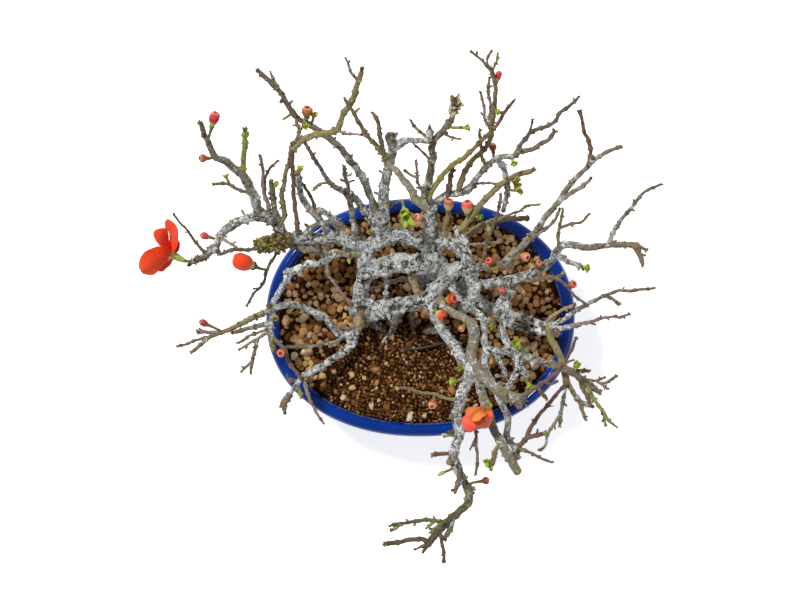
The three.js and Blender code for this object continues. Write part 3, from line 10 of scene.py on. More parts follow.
import bmesh
import bpy
import numpy as np
from mathutils import Matrix, Vector, kdtree, noise

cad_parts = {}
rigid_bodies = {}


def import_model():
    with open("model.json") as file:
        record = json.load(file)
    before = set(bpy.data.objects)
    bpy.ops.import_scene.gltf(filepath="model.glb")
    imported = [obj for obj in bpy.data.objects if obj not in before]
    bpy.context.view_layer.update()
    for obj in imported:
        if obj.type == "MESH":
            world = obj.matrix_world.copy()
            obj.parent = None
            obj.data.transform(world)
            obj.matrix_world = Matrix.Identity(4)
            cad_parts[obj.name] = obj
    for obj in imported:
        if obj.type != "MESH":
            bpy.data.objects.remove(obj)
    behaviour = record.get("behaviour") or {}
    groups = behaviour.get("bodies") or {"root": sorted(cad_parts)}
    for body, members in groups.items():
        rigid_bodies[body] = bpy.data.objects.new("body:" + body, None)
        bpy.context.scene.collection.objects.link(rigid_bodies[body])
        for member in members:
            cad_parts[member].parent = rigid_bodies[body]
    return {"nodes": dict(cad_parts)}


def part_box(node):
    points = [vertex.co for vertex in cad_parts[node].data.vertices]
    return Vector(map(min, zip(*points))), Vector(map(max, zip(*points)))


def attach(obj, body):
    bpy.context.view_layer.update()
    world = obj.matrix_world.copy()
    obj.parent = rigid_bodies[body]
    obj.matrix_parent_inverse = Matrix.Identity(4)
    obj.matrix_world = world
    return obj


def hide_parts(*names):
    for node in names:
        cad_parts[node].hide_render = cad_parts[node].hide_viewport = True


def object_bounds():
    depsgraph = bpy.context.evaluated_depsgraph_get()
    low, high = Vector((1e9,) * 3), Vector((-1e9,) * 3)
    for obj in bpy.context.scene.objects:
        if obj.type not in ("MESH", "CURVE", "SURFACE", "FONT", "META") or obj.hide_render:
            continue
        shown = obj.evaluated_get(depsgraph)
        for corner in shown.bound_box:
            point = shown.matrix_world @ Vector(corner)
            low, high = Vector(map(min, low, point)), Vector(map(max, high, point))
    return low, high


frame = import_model()
CAD_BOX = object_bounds()

bl_info = {
    "name": "Chojubai quince bonsai",
    "version": (1, 0, 0),
    "blender": (4, 5, 0),
    "location": "3D View > Sidebar > Bonsai",
    "description": "Builds a small clump of flowering quince in a blue-glazed oval pot",
    "category": "Add Mesh",
}


# Sizes in millimetres, with counts, angles and seeds

MM = 0.001

# The pot: its outline and rim from the CAD, then the lip, feet, floor, drain holes and sharp edges.
POT_LOW, POT_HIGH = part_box("pot")
POT_MIDDLE = np.array([(POT_LOW.x + POT_HIGH.x) / 2, (POT_LOW.y + POT_HIGH.y) / 2, POT_LOW.z])
RIM = (POT_HIGH.z - POT_LOW.z) / MM
POT_LENGTH = (POT_HIGH.x - POT_LOW.x) / MM
POT_WIDTH = (POT_HIGH.y - POT_LOW.y) / MM
POT_SQUARENESS = 2.15
POT_SEGMENTS = 160
LIP_RINGS = 3
FOOT_HEIGHT = 6
FOOT_ANGLE = 0.62
FOOT_SPREAD = 0.2
FOOT_POINTS = 9
FLOOR_TOP = 12
DRAIN_RADIUS = 8
DRAIN_X = 38
DRAIN_SIDES = 40
SHARP_ANGLE = 50

# The soil bed, the patch of fine grains in its middle and front, and the pebbles.
SOIL_INSET = 8.2
SOIL_EDGE = -4
SOIL_CROWN = -1.8
SOIL_SEGMENTS = 112
SOIL_WELD = 0.9
FINE_CENTRE = (-8, -32)
FINE_HALF = (48, 30)
WALL_ROOM = 10
PEBBLE_SHAPES = 12
PEBBLE_FLATNESS = 0.78
PEBBLE_BEVEL = 0.05
GRAINS_PER_SQUARE_METRE = 1.2e6

# Limbs thicker than THICK keep all their plan points. The others keep those that are a slack off a line.
THICK = 2.4
TRUNK_SLACK = 0.7
LIMB_SLACK = 1.3

# Fine lines: the step between points, and how far a limb sways, over lengths of the two sizes.
TRUNK_STEP = 1.5
LIMB_STEP = 1.0
BEND_SIZE = 7
BEND = 0.75
KINK_SIZE = 2.6
KINK = 0.42

# A limb that starts farther than LINK_ABOVE from its parent in the plan gets a link to it.
LINK_ABOVE = 1.5

# Limbs without a tone are white above this radius.
PALE_ABOVE = 2.2

# How uneven the wood is, the sides of thick limbs, and how deep the relief of their bark is.
LUMP = 0.24
STOUT = 4
STOUT_SIDES = 22
TRUNK_SIDES = 14
RELIEF_SHARE = 0.16
RELIEF_LIMIT = 0.8
SMOOTH_RELIEF = 0.35
SMOOTH_NODE_GAP = 2.6

# Stalks: radius, colours at the foot and the end, and the share of the seat's radius that an end reaches.
STALK_RADIUS = 0.75
STALK_END_SHARE = 0.86
STALK_COLOURS = ("6f6044", "8d8a4c")

# Radii of the seats of leaves and flowers, the share of a bud's width that its seat has, and the gap.
LEAF_SEAT = 0.9
FLOWER_SEAT = 1.2
BUD_SEAT_SHARE = 0.36
SEAT_GAP = 0.3

# Flowers, buds and leaves. Buds under SMALL_BUD have a deep dimple, and tufts over TALL_TUFT are upright.
CALYX_RADIUS = 2.1
STAMENS = 26
FILAMENT_RADIUS = 0.16
PETAL_THICKNESS = 0.3
PETAL_COLUMNS = 20
LEAF_THICKNESS = 0.22
LEAF_ROWS = 16
LEAF_COLUMNS = 6
SMALL_BUD = 9
TALL_TUFT = 10

# The wire.
WIRE_RADIUS = 0.8
WIRE_SIDES = 12

# Seeds of the random draws.
LIMB_SEED = 3
KNOB_SEED = 9
NODE_SEED = 5
SPROUT_SEED = 77
PEBBLE_SEED = 21

# Plan points are as seen from a point VIEW_HEIGHT above the rim over VIEW_CENTRE, with heights from the rim.
VIEW_HEIGHT = 1000
VIEW_CENTRE = (-11.5, 6.75)

# The studio: the camera, the floor, and the height above the ground that the lamps point at.
LENS = 80
SENSOR = 36
FAR_CLIP = 50000
FLOOR_HALF = 6000
FLOOR_DROP = 0.2
LAMP_AIM = 60


# Tables of the plant

# Trunks and thick limbs: name and [x, y, height, radius] along the middle.
TRUNKS = [
    ["main trunk", [[5, 22, -26, 8], [5, 24, -6, 12.5], [6, 26, 6, 10.5], [8, 28, 18, 9], [9, 29, 31, 7.5]]],
    ["left trunk", [[-33, 2, -24, 6], [-33, 4, -4, 8.5], [-33, 8, 6, 6.5], [-33.5, 14, 16, 4.8],
     [-32, 21, 24, 4.8], [-28, 26, 31, 5.6], [-21, 28.5, 35, 6.2], [-12, 30.5, 36, 6.2], [-2, 30, 34, 7],
     [7, 29, 30, 7.5]]],
    ["front trunk", [[-32, 5, 2, 7], [-27, 4, 12, 6.4], [-20, 4.5, 19, 6.4], [-12, 6.5, 24, 5.8],
     [-3, 8.5, 27, 5.3], [4, 11, 29, 5.3], [10, 17, 31, 5.6], [16, 23, 32, 5.8], [22, 28, 33, 5.2]]],
    ["back arch", [[-31, 24, 28, 4.5], [-31.5, 32, 33, 4.6], [-27, 40, 36, 5.2], [-19, 45, 38, 5.6],
     [-11, 46, 38, 5], [-3, 43, 37, 4.3], [4, 39.5, 35, 4.4], [9, 34, 31, 5]]],
    ["right trunk", [[24, 14, -24, 5.5], [24.5, 16, -4, 8], [26, 18, 8, 6.2], [28, 21, 20, 5.2],
     [28.5, 24, 32, 4.6]]],
    ["right column", [[22, 4, 27, 3], [27, 8, 30, 3.8], [29.5, 14, 32, 4], [28.5, 21, 33, 4.6],
     [26.5, 30, 35, 4.4], [25, 38, 36, 4], [23, 45, 37, 3.6], [20, 50, 38, 3]]],
    ["back stem", [[8, 32, 29, 5], [6, 38, 33, 4.6], [5, 45, 38, 4.4], [5, 52, 42, 4.3], [5, 58, 46, 4],
     [3.5, 64, 50, 3.6]]],
    ["cross limb", [[6, 41, 35, 3.4], [12, 43.5, 36, 3.2], [19, 41, 36, 3.4], [25, 36, 35.5, 3.6]]],
    ["small prop", [[15, 24, 32, 2.2], [18.5, 16, 31, 2], [21.5, 9.5, 30, 2], [26, 7.5, 30, 2.2]]],
    ["thin upright", [[11, 43, 35, 1.8], [10, 50, 38, 1.6], [9, 58, 40, 1.5]]],
    ["tan bridge", [[-5, 26, 33, 2.4], [-4, 20, 31, 2.3], [-1.5, 13, 29, 2.2]]],
    ["white strut", [[-19.5, 26, 33, 1.4], [-19, 18, 26, 1.3], [-20, 10, 21, 1.3]]],
    ["low right limb", [[26, 16, 2, 4.2], [34, 9, 6, 3.6], [42, 4, 9, 3.2], [50, 2, 11, 3], [60, -1, 13, 2.6],
     [70, -4.5, 16, 2.3], [78, -6, 20, 1.9], [86, -5, 23, 1.5]]],
    ["low right fork", [[39, 5.5, 8, 3], [49, -2.5, 10, 2.4], [58, -6, 12, 2], [66, -8, 14, 1.7],
     [74, -9.5, 17, 1.5]]],
    ["low left limb", [[-31, 1, 3, 5], [-37, -7, 6, 3.8], [-43, -10, 8, 3.5], [-48, -7, 10, 3.1],
     [-51, -2.5, 12, 2.9], [-56, 1, 14, 2.7], [-63, 4.5, 16, 2.6], [-70, 7, 18, 2.6], [-77, 7, 20, 2.6],
     [-84, 4.5, 23, 2.8], [-91, 1, 26, 2]]],
    ["low front limb", [[-35, -6, 5, 3.4], [-38, -14, 8, 3.2], [-42, -18.5, 9, 3.3], [-47, -22, 11, 2.9],
     [-54, -26.5, 13, 2.7], [-61, -30.5, 15, 2.6], [-67, -34.5, 17, 2.4], [-71, -40, 20, 2],
     [-74.5, -44.5, 23, 1.7]]],
    ["thick front limb", [[8, 14, 30, 3.4], [13, 7, 33, 2.9], [19, 2.5, 35, 2.7], [26, -1, 37, 3.2],
     [29.5, -5, 38, 4.4], [30, -12, 38, 4.2], [28.5, -19, 38, 4], [29, -25, 40, 4.4], [33, -31, 43, 4],
     [38, -36, 46, 3.8], [44, -41, 50, 4], [50, -44.5, 54, 4.6], [57, -47, 58, 4.8]]],
    ["tan stub", [[-32.5, 7, 8, 2.8], [-34.5, -1, 20, 2.1], [-34.5, -7, 22, 1.8]]],
    ["white stub", [[-27, 9, 17, 2.4], [-34, 8.5, 20, 1.9], [-40.5, 7.5, 21, 1.8]]],
    ["hanging root left", [[-15, 4, 20, 2.4], [-15, -1, 13, 2], [-15.5, -4, 5, 1.4], [-17, -8, 0.6, 1.1],
     [-22, -15, -1.6, 0.8]]],
    ["hanging root middle", [[-4, 6, 24, 2], [-4.5, 0, 12, 1.7], [-4, -5, 2, 1.4], [-3.5, -9, -2.5, 1]]],
    ["hanging root right", [[12, -5, 27, 2], [8, -7, 9, 1.9], [3, -7.7, 2.4, 2]]],
    ["surface root", [[-29, 0, 3, 2.6], [-25, -5, 0, 1.4], [-19, -8, -2.5, 0.9]]],
]

# Limbs: name, the limb that they grow from, radii at foot and tip, rise, and plan points.
LIMBS = [
    # Left side
    ["left limb", "back arch", 4.4, 3.2, 14, [[-29, 39], [-36, 41], [-42, 43], [-48, 44.5], [-56, 44],
     [-64, 44.5], [-72, 45], [-78, 46]]],
    ["left riser", "left limb", 3, 2.6, 10, [[-77, 46], [-80, 50], [-82, 54], [-86, 57]]],
    ["flower limb", "left riser", 2.8, 1.9, 12, [[-84, 55.5], [-90, 56.5], [-98, 56], [-104, 53], [-110, 49],
     [-113, 45], [-115, 40], [-119, 36], [-124, 33], [-128, 31.5]]],
    ["left thorn", "flower limb", 1, 0.6, 12, [[-119, 36], [-122, 37.5], [-127, 43], [-131, 49], [-135, 53],
     [-138, 57]]],
    ["burl", "left limb", 4, 3, 3, [[-76, 44], [-80, 42.5], [-85, 41.5], [-90, 40.5]]],
    ["left lower twig", "flower limb", 1.1, 1, -6, [[-114, 41], [-113, 36], [-109, 37], [-103, 38.5],
     [-96, 38], [-89, 40]]],
    ["left crossing twig", "flower limb", 0.9, 0.7, 3, [[-113, 45], [-107, 41.5], [-103, 39]]],
    ["left hanging twig", "burl", 1, 0.7, -8, [[-80, 41], [-82, 34], [-84, 31], [-87, 25], [-88, 21],
     [-90, 17], [-94, 13], [-97, 7.5]]],
    ["left back limb", "left riser", 2.7, 1.3, 34, [[-85, 56.5], [-91, 60], [-93, 66], [-96, 73], [-100, 80],
     [-105, 84], [-110, 88], [-115, 90], [-117, 93], [-119, 98], [-121, 102], [-123, 108]]],
    ["left green upright", "left back limb", 1.3, 1.2, 16, [[-100, 80], [-99.5, 90], [-98.5, 99],
     [-98.5, 104.5]]],
    ["left side twig", "left back limb", 0.9, 0.7, 8, [[-94, 68], [-97, 70], [-103, 72], [-108, 75],
     [-115, 75.5]]],
    ["left inner twig", "left riser", 1.1, 0.8, 30, [[-84, 56], [-86, 64], [-88, 70], [-88.5, 76], [-89, 84],
     [-90, 90]]],
    ["left inner fork", "left inner twig", 0.9, 0.7, 12, [[-88, 69], [-87, 80], [-85, 84], [-81, 87.5]]],
    ["left inner limb", "left limb", 2.1, 1.5, 24, [[-76, 46], [-78, 50], [-80, 55], [-82, 61], [-83, 68],
     [-84, 76]]],
    ["left inner shoot", "left inner limb", 1.6, 1, 34, [[-79, 53], [-76.5, 57], [-77, 62], [-78, 70],
     [-76.5, 76], [-76, 81], [-74, 87], [-73, 94]]],
    ["pink stem", "left limb", 1.7, 1.3, 48, [[-67, 45], [-69, 50], [-70, 57], [-71, 66], [-71.5, 75],
     [-72, 86], [-72, 97]]],
    ["pink stem tip", "pink stem", 1, 0.9, 8, [[-72, 96], [-70, 100], [-68.5, 105], [-70, 110]]],
    ["white limb left", "left limb", 2.6, 2, 26, [[-50, 45], [-53, 50], [-57, 55], [-62, 61], [-66, 66],
     [-68, 72], [-69, 80]]],
    ["dark twig left", "white limb left", 1, 0.8, 10, [[-59, 58], [-60, 64], [-63, 70], [-67, 76]]],
    ["left short limb", "left limb", 2.5, 2.1, 14, [[-42, 44], [-45, 50], [-48, 55], [-53, 58.5], [-58, 61]]],
    ["second left limb", "back arch", 2.6, 2.2, 12, [[-30, 35], [-36, 36], [-42, 36], [-50, 36.5],
     [-60, 37.5], [-68, 39], [-73, 40]]],
    ["third left limb", "second left limb", 2.4, 2.5, 2, [[-46, 36], [-52, 33], [-57, 30.5], [-63, 30],
     [-70, 27]]],
    ["left drop limb", "third left limb", 2.6, 2.3, 4, [[-70, 27], [-74, 23], [-77, 18], [-80, 13.5],
     [-83.5, 8]]],
    ["pink twig down", "second left limb", 1, 0.8, -6, [[-52, 36], [-52.5, 31], [-52, 25], [-48, 19],
     [-44, 13], [-40, 9]]],
    ["stem E", "left limb", 2.2, 1.2, 62, [[-37, 41], [-37, 48], [-38, 55], [-39, 62], [-41, 68], [-44, 71],
     [-49, 74], [-52, 77], [-55, 82], [-60, 90], [-65, 98]]],
    ["stem F", "stem E", 1, 0.8, 12, [[-41, 68], [-41, 75], [-42.5, 80], [-43, 84.5]]],
    ["back limb left", "back arch", 2.1, 1.9, 22, [[-24, 43], [-26, 52], [-28, 56], [-32, 61], [-36, 66],
     [-40, 70]]],
    ["long back stem", "back arch", 2.2, 1.2, 72, [[-22, 44], [-23, 54], [-26, 62], [-30, 73], [-32, 78],
     [-35, 83], [-38, 86], [-42, 91], [-46, 96], [-50, 100], [-55, 103], [-60, 107], [-64, 109],
     [-70, 113], [-73, 117], [-76, 122], [-79, 127], [-85, 133], [-90, 138]]],
    ["long stem fork", "long back stem", 0.9, 0.7, 5, [[-78, 126], [-81, 131], [-84, 137.5]]],
    ["crossing stem", "pink stem", 1.6, 1.2, 18, [[-72, 95], [-68, 99], [-64, 101], [-58, 103], [-52, 104],
     [-47, 106], [-45, 110], [-43, 115], [-40, 119], [-37, 125], [-36, 130], [-33, 138]]],
    ["crossing fork", "crossing stem", 0.8, 0.6, 6, [[-36, 133], [-39, 138], [-42, 146]]],
    ["crossing side", "crossing stem", 0.8, 0.6, 3, [[-48, 105.5], [-41, 103.5], [-36, 103], [-31, 102.5]]],

    # Back
    ["back trunk", "back arch", 4, 2.8, 48, [[-20, 45], [-21, 55], [-20, 62], [-21, 68], [-20, 75], [-19, 80],
     [-17, 88], [-15.5, 94], [-15.5, 98]]],
    ["round knob", "back trunk", 2.4, 2.9, 2, [[-16, 96], [-16.5, 100], [-17.5, 102.5]]],
    ["stem C", "back trunk", 1.2, 0.9, 30, [[-17, 90], [-22, 93.5], [-27, 99], [-31, 104], [-34, 109],
     [-37, 114], [-42, 122]]],
    ["stem B", "back trunk", 1.2, 0.9, 26, [[-18, 84], [-20, 90], [-22, 98], [-23, 104], [-24, 110],
     [-26, 114]]],
    ["back crossing limb", "back trunk", 1.8, 1.4, 4, [[-15.5, 96], [-9, 99.5], [-4, 99.5], [4, 99]]],
    ["beige shoot", "back stem", 3.2, 1.8, 38, [[3, 62], [-3, 67], [-6, 73], [-10, 78], [-14, 83],
     [-20, 88]]],
    ["stem G", "back stem", 2.5, 1.5, 56, [[4, 62], [3, 68], [3, 72], [5, 78], [6, 84], [7, 90], [6.5, 96],
     [8, 100], [12, 104], [16, 109], [18, 113], [18.5, 118], [19, 123]]],
    ["G twig left", "stem G", 1, 0.8, 8, [[7, 97], [3, 102], [0, 104], [-3, 107], [-5, 110]]],
    ["G twig cross", "stem G", 0.8, 0.6, 4, [[6.5, 88], [1, 93.5], [-3, 97]]],
    ["G lower twig", "stem G", 0.9, 0.7, 14, [[3, 69], [-1, 75], [-2, 81], [-2.5, 87]]],
    ["G right twig", "stem G", 0.8, 0.6, 4, [[12, 104], [18, 101.5], [21, 100.5]]],
    ["G leaf twig", "stem G", 0.9, 0.8, 3, [[15.5, 108], [18.5, 107], [22, 107]]],
    ["shoot H", "back stem", 1.8, 0.9, 62, [[3, 63], [7, 72], [11, 78], [15, 83], [20, 87], [25, 90.5],
     [30, 95], [34, 99], [38, 103], [42, 107], [45, 111], [47, 115], [52, 121.5]]],
    ["white limb back", "back stem", 2.1, 2, 8, [[5, 58], [7, 62], [10, 66], [16, 69.5], [22, 70],
     [28, 72.5]]],
    ["stem I", "white limb back", 1.7, 1.1, 68, [[21, 70], [24, 80], [28, 87], [32, 91], [36, 95], [39, 99],
     [40, 104], [40.5, 110], [41.5, 118], [42, 124], [42, 130], [41, 136], [39.5, 140]]],
    ["I tip left", "stem I", 0.8, 0.6, 8, [[40, 139], [35, 144], [28, 150.5]]],
    ["I tip middle", "stem I", 0.8, 0.6, 6, [[40, 139], [37.5, 144], [40, 150.5]]],
    ["I tip right", "stem I", 0.7, 0.6, 5, [[41, 138], [43, 145], [43.5, 149]]],
    ["I parallel", "stem I", 0.9, 0.8, 14, [[40, 108], [39, 112], [39.5, 120], [38, 128], [38.5, 134]]],
    ["I side", "stem I", 0.8, 0.7, 12, [[40, 104], [38, 108], [36, 113], [36, 118], [34, 125.5]]],
    ["mid back limb", "cross limb", 2.6, 1.6, 10, [[13, 43.5], [14, 50], [15, 55], [15.5, 59.5]]],
    ["stem L", "white limb back", 1.8, 1.2, 44, [[26, 72], [33, 80], [38, 85.5], [42, 89], [47, 90.5],
     [52, 91], [56, 93], [60, 94], [64, 95], [68, 98], [72, 100], [75, 104]]],
    ["stem K", "stem L", 1.1, 0.8, 22, [[37, 84], [35.5, 88], [34, 92], [34, 97], [33, 105]]],
    ["stem Q", "stem L", 1.3, 0.9, 22, [[54, 92], [56, 97], [60, 101.5], [62, 104], [67, 106], [72, 108],
     [76, 110.5], [78, 115], [82, 117.5], [88, 123]]],
    ["stem M", "stem L", 1.6, 1.4, -22, [[43, 89], [47, 84], [48, 79], [49, 74], [48, 66], [46.5, 61]]],
    ["stem P", "white limb back", 1.6, 1.3, 14, [[15.5, 69], [16.5, 74], [17, 79], [18, 82]]],
    ["right back twig", "white limb back", 0.8, 0.7, 8, [[27, 73], [31, 75], [38, 75.5], [43, 75]]],
    ["stem O", "right column", 2.2, 1.9, 40, [[21, 48], [24, 51], [30, 59], [36, 66], [42, 72], [47, 76],
     [52, 79], [57, 81], [62, 82.5]]],
    ["twig QQ", "right column", 0.9, 0.7, 26, [[24, 45], [28, 49], [36, 53], [43, 55], [50, 58], [55, 59.5],
     [60, 62.5], [66, 63.5]]],
    ["twig RR", "right column", 0.7, 0.6, 4, [[25, 41], [35, 41.5], [45, 42.5]]],
    ["low back stub", "right column", 1.7, 1.5, -14, [[23, 44], [32, 50], [40, 54], [48, 55.5], [61, 55.5]]],

    # Right side
    ["right upper limb", "right column", 2.6, 2.3, 12, [[27, 27], [36, 29], [45, 29.5], [52, 29.5]]],
    ["right limb", "right column", 3.2, 2.6, 20, [[29.5, 17], [38, 19], [46, 20.5], [54, 22], [62, 25],
     [70, 29], [75, 33]]],
    ["twig PP", "right upper limb", 1, 0.8, 34, [[34, 29], [38, 44], [41, 52], [44, 60], [45, 68]]],
    ["stem R", "right upper limb", 2, 1.4, 50, [[46, 29.5], [50, 34], [56, 39], [60, 43], [66, 50], [70, 56],
     [75, 62], [79, 67], [82, 72], [86, 77], [91, 82], [95, 86], [97, 88.5]]],
    ["R left fork", "stem R", 1.3, 0.9, 14, [[95, 86], [95.5, 92], [95, 97], [94, 101], [92, 105], [91, 110],
     [90, 115]]],
    ["R right fork", "stem R", 1.3, 1, 10, [[97, 88], [103, 92], [107, 94], [111, 95.5]]],
    ["R side", "stem R", 1.5, 1.1, 10, [[79, 66], [85, 70], [89, 72.5], [95, 77]]],
    ["limb T", "right limb", 2.5, 1.6, 24, [[74, 32], [77, 38], [80, 41], [86, 41], [92, 39.5], [98, 39.5],
     [104, 40.5], [110, 41], [116, 41], [120, 40], [123, 36], [125, 31]]],
    ["T fork", "limb T", 1.2, 1, 3, [[116, 41], [120, 41.5], [126, 38.5]]],
    ["shoot S", "limb T", 1.3, 0.8, 26, [[105, 41], [109, 49], [113, 55], [118, 61], [121, 65], [127, 71],
     [134.5, 74.5]]],
    ["limb U", "right limb", 1.8, 1.5, 8, [[74, 32], [78, 34.5], [82, 32], [86, 30.5], [90, 29]]],
    ["twig W", "limb T", 1, 0.8, 18, [[78, 39.5], [77.5, 45], [78, 50], [79, 55], [80, 60]]],
    ["twig V", "twig W", 0.9, 0.7, 8, [[78, 50], [86, 53], [91, 54], [94, 57.5]]],
    ["twig X", "stem R", 1.1, 0.8, 12, [[62, 46], [65, 46.5], [70, 50], [74, 53], [78, 60]]],
    ["right thin limb", "right limb", 1.5, 1.2, 6, [[54, 22], [62, 21], [70, 22.5], [76, 22.5], [79, 24]]],
    ["right thin twig", "right thin limb", 0.9, 0.7, 10, [[74, 22.5], [78, 21], [83, 17], [87, 12],
     [93, 7.5]]],
    ["right cut stub", "right limb", 2, 1.9, 3, [[48, 21], [52, 18], [57, 15]]],
    ["long white limb", "right limb", 2.8, 2.6, -4, [[50, 21], [50, 14], [49, 8], [47.5, 2], [46, -5],
     [47, -11], [51, -18], [55, -26], [60, -33]]],
    ["long white side", "long white limb", 2.4, 2, -4, [[49.5, 16], [46, 10], [42, 3]]],
    ["shoot A", "low right limb", 1.5, 0.8, 30, [[72, -5.5], [79, -2], [86.5, 3], [93, 7], [98, 9.5],
     [103, 12], [108, 14], [113, 15.5], [118, 15], [132, 16.6]]],
    ["A cluster", "shoot A", 0.9, 0.9, 2, [[103, 12], [106, 11.5], [111, 8.5]]],
    ["thin right shoot", "low right limb", 1.1, 0.7, 18, [[84, -5.5], [92, -3.2], [98, -2], [104, 0],
     [108, 0.6], [112, 0.3], [116.5, 1.8]]],
    ["pale tip twig", "low right limb", 1, 0.9, 12, [[70, -4.5], [74, 0.5], [78, 3], [86, 7]]],
    ["right lower limb", "long white limb", 2.7, 1.7, 14, [[53, -22], [58, -22.5], [68, -25], [77, -27],
     [84, -30], [91, -35], [99, -41]]],
    ["right spur stem", "right lower limb", 1, 1.1, 6, [[83, -29.5], [88, -30], [93.5, -30]]],
    ["olive stem", "low right limb", 2, 2, 22, [[71, -5], [73, -11], [76, -17], [79, -23], [81, -29],
     [82, -37]]],
    ["fan left", "olive stem", 1.4, 0.9, 8, [[82, -36], [80.5, -45], [79, -53], [76, -59], [71, -67],
     [70.5, -71], [68, -74.5]]],
    ["fan middle", "olive stem", 1.5, 1, 6, [[82, -35], [87, -44], [90, -49], [92.5, -56.5]]],
    ["fan knob", "fan middle", 1.4, 1.3, 2, [[87.5, -45], [91, -48], [95, -49.5]]],
    ["fan red", "right lower limb", 1.4, 1.1, 8, [[90, -34.5], [91.5, -40], [94, -44], [95.5, -49]]],
    ["fan green", "right lower limb", 1.3, 0.8, 12, [[93, -36.5], [96, -43], [99, -48], [101, -51],
     [103, -54], [104, -60]]],
    ["fan green tip", "fan green", 0.9, 0.7, 3, [[103, -54], [106, -58], [109.5, -61]]],
    ["thin right twig", "right lower limb", 0.8, 0.7, 10, [[89, -34], [94, -34.8], [99, -35.5], [103, -34]]],
    ["red shoot", "thick front limb", 1.9, 1.3, 24, [[55, -46], [64, -40], [73, -34], [80, -27], [84, -20],
     [87, -12.5]]],

    # Front
    ["white front limb", "front trunk", 3.8, 4.2, 2, [[4, 10.5], [7, 3], [10, -3], [14, -9], [19, -16],
     [24, -24], [28, -29]]],
    ["white side limb", "right column", 2.6, 2.6, 14, [[26, 7.5], [31, 3], [35, 0], [36, -6], [35.5, -12],
     [37, -17], [36, -23], [36.5, -29], [39, -34], [42, -39]]],
    ["cross white", "white side limb", 1.9, 2, 4, [[37, -17.5], [45, -19], [52, -19], [58, -18]]],
    ["inner small limb", "cross white", 1.7, 1.6, -4, [[41, -18.5], [44, -23], [46.5, -28], [47.5, -33]]],
    ["grey link", "long white limb", 2.2, 2.4, 8, [[55, -25.5], [55, -28], [53, -33], [50, -38],
     [47.5, -42]]],
    ["cascade", "thick front limb", 3.5, 2.2, 4, [[29, -26], [27, -34], [24, -40.5], [22, -48], [20.5, -55],
     [21.7, -63], [20.8, -70], [18.5, -77], [20.5, -84], [23, -90], [27, -97], [26.6, -104], [22, -109],
     [17, -113], [11, -119], [7, -124], [4.5, -128]]],
    ["cascade stub", "cascade", 1.5, 1.4, 2, [[21.5, -50], [19, -54], [17, -57]]],
    ["low bud twig", "cascade", 1.1, 1.1, 2, [[21.5, -61.5], [18, -64], [15, -66]]],
    ["cascade spur", "cascade", 1, 1.2, 2, [[18.5, -77], [13, -76.5], [8.5, -77]]],
    ["cascade grey stub", "cascade", 1.6, 1.7, 0, [[18.5, -112], [17, -118], [14.5, -122.5]]],
    ["cascade left tip", "cascade", 1.2, 0.9, 4, [[14, -115.5], [7, -114], [1, -114], [-6, -115],
     [-16, -116.8]]],
    ["cascade end", "cascade", 1.4, 1.3, 3, [[5, -127], [1, -124.8], [-5, -125.2], [-11, -126],
     [-18.5, -127.5]]],
    ["cascade needle", "cascade", 1, 1, 4, [[11, -119.5], [12, -127], [13, -133], [13.3, -138]]],
    ["front right stem", "thick front limb", 2.3, 2.6, 2, [[31, -28], [33, -38], [36, -46], [38.5, -55],
     [41, -62], [44, -68], [48, -75], [52, -82], [55, -87]]],
    ["front thin twig", "front right stem", 0.9, 0.8, 4, [[36, -46], [33, -54], [31, -63], [31.5, -71],
     [32, -79], [31, -87.5]]],
    ["front thin fork", "front thin twig", 0.7, 0.6, 2, [[31.3, -67], [28.5, -73]]],
    ["leaf spur front", "front right stem", 1.3, 1.2, 4, [[46, -71], [42, -75], [41, -80], [40, -84]]],
    ["pale limb", "thick front limb", 2, 1.7, -14, [[42, -39], [45, -47], [48.5, -54], [49.5, -60],
     [48.5, -66], [50, -70], [54, -73.5]]],
    ["brown stem", "pale limb", 1.8, 1.2, 14, [[53, -73], [57, -71], [60, -67], [62, -62], [66, -56],
     [71, -50], [76, -44], [81, -38.5]]],
    ["brown fork", "brown stem", 1.3, 1.3, 3, [[60, -67.5], [64, -66.5], [68.5, -65.5]]],
    ["front twig right", "pale limb", 1, 0.7, 6, [[54, -73.5], [60, -75], [65, -77.5], [73, -81.3]]],
    ["ring stub front", "pale limb", 1.7, 2, 3, [[52, -72.5], [54, -77], [55.3, -79.5]]],
    ["twig over soil", "cascade", 1, 0.7, -22, [[22, -47], [15, -45.5], [8, -43], [0, -42], [-9, -39.5],
     [-13, -39.6]]],

    # Front left
    ["low left tip", "low front limb", 1.5, 1.5, 4, [[-74, -44], [-76, -48], [-76.5, -52]]],
    ["low left twig", "low front limb", 1.1, 0.8, 3, [[-66, -34], [-64, -41], [-62, -47], [-60, -51],
     [-55, -58.5]]],
    ["low left green", "low front limb", 1, 1.3, 2, [[-69, -37.5], [-67, -43]]],
    ["brown low twig", "low left limb", 1, 0.9, 3, [[-43, -10], [-47, -13.5], [-53, -14.5], [-60, -16],
     [-68, -16.5], [-74, -17]]],
    ["left fan stem", "low left limb", 1.8, 1.2, 10, [[-88, 2.5], [-95, -0.5], [-101, -3.5], [-108, -7],
     [-114, -9], [-119, -11.5], [-122, -14]]],
    ["left fan needle", "left fan stem", 0.8, 0.7, 4, [[-119, -11.5], [-124, -12.2], [-130, -14],
     [-135.5, -15.8]]],
    ["left fan stub", "left fan stem", 1.1, 1.2, 4, [[-113, -8.5], [-119, -8.2], [-124, -8.2]]],
    ["left down limb", "low left limb", 1.8, 1.7, 2, [[-84, 4], [-84, -3], [-84, -8], [-83, -12.5]]],
    ["left fan lower", "left down limb", 1.7, 1.3, 6, [[-84, -3.5], [-90, -4.5], [-96, -6], [-104, -8]]],
    ["left down tail", "left down limb", 1.4, 1.2, 0, [[-83.5, -11], [-83.5, -16], [-82, -19]]],
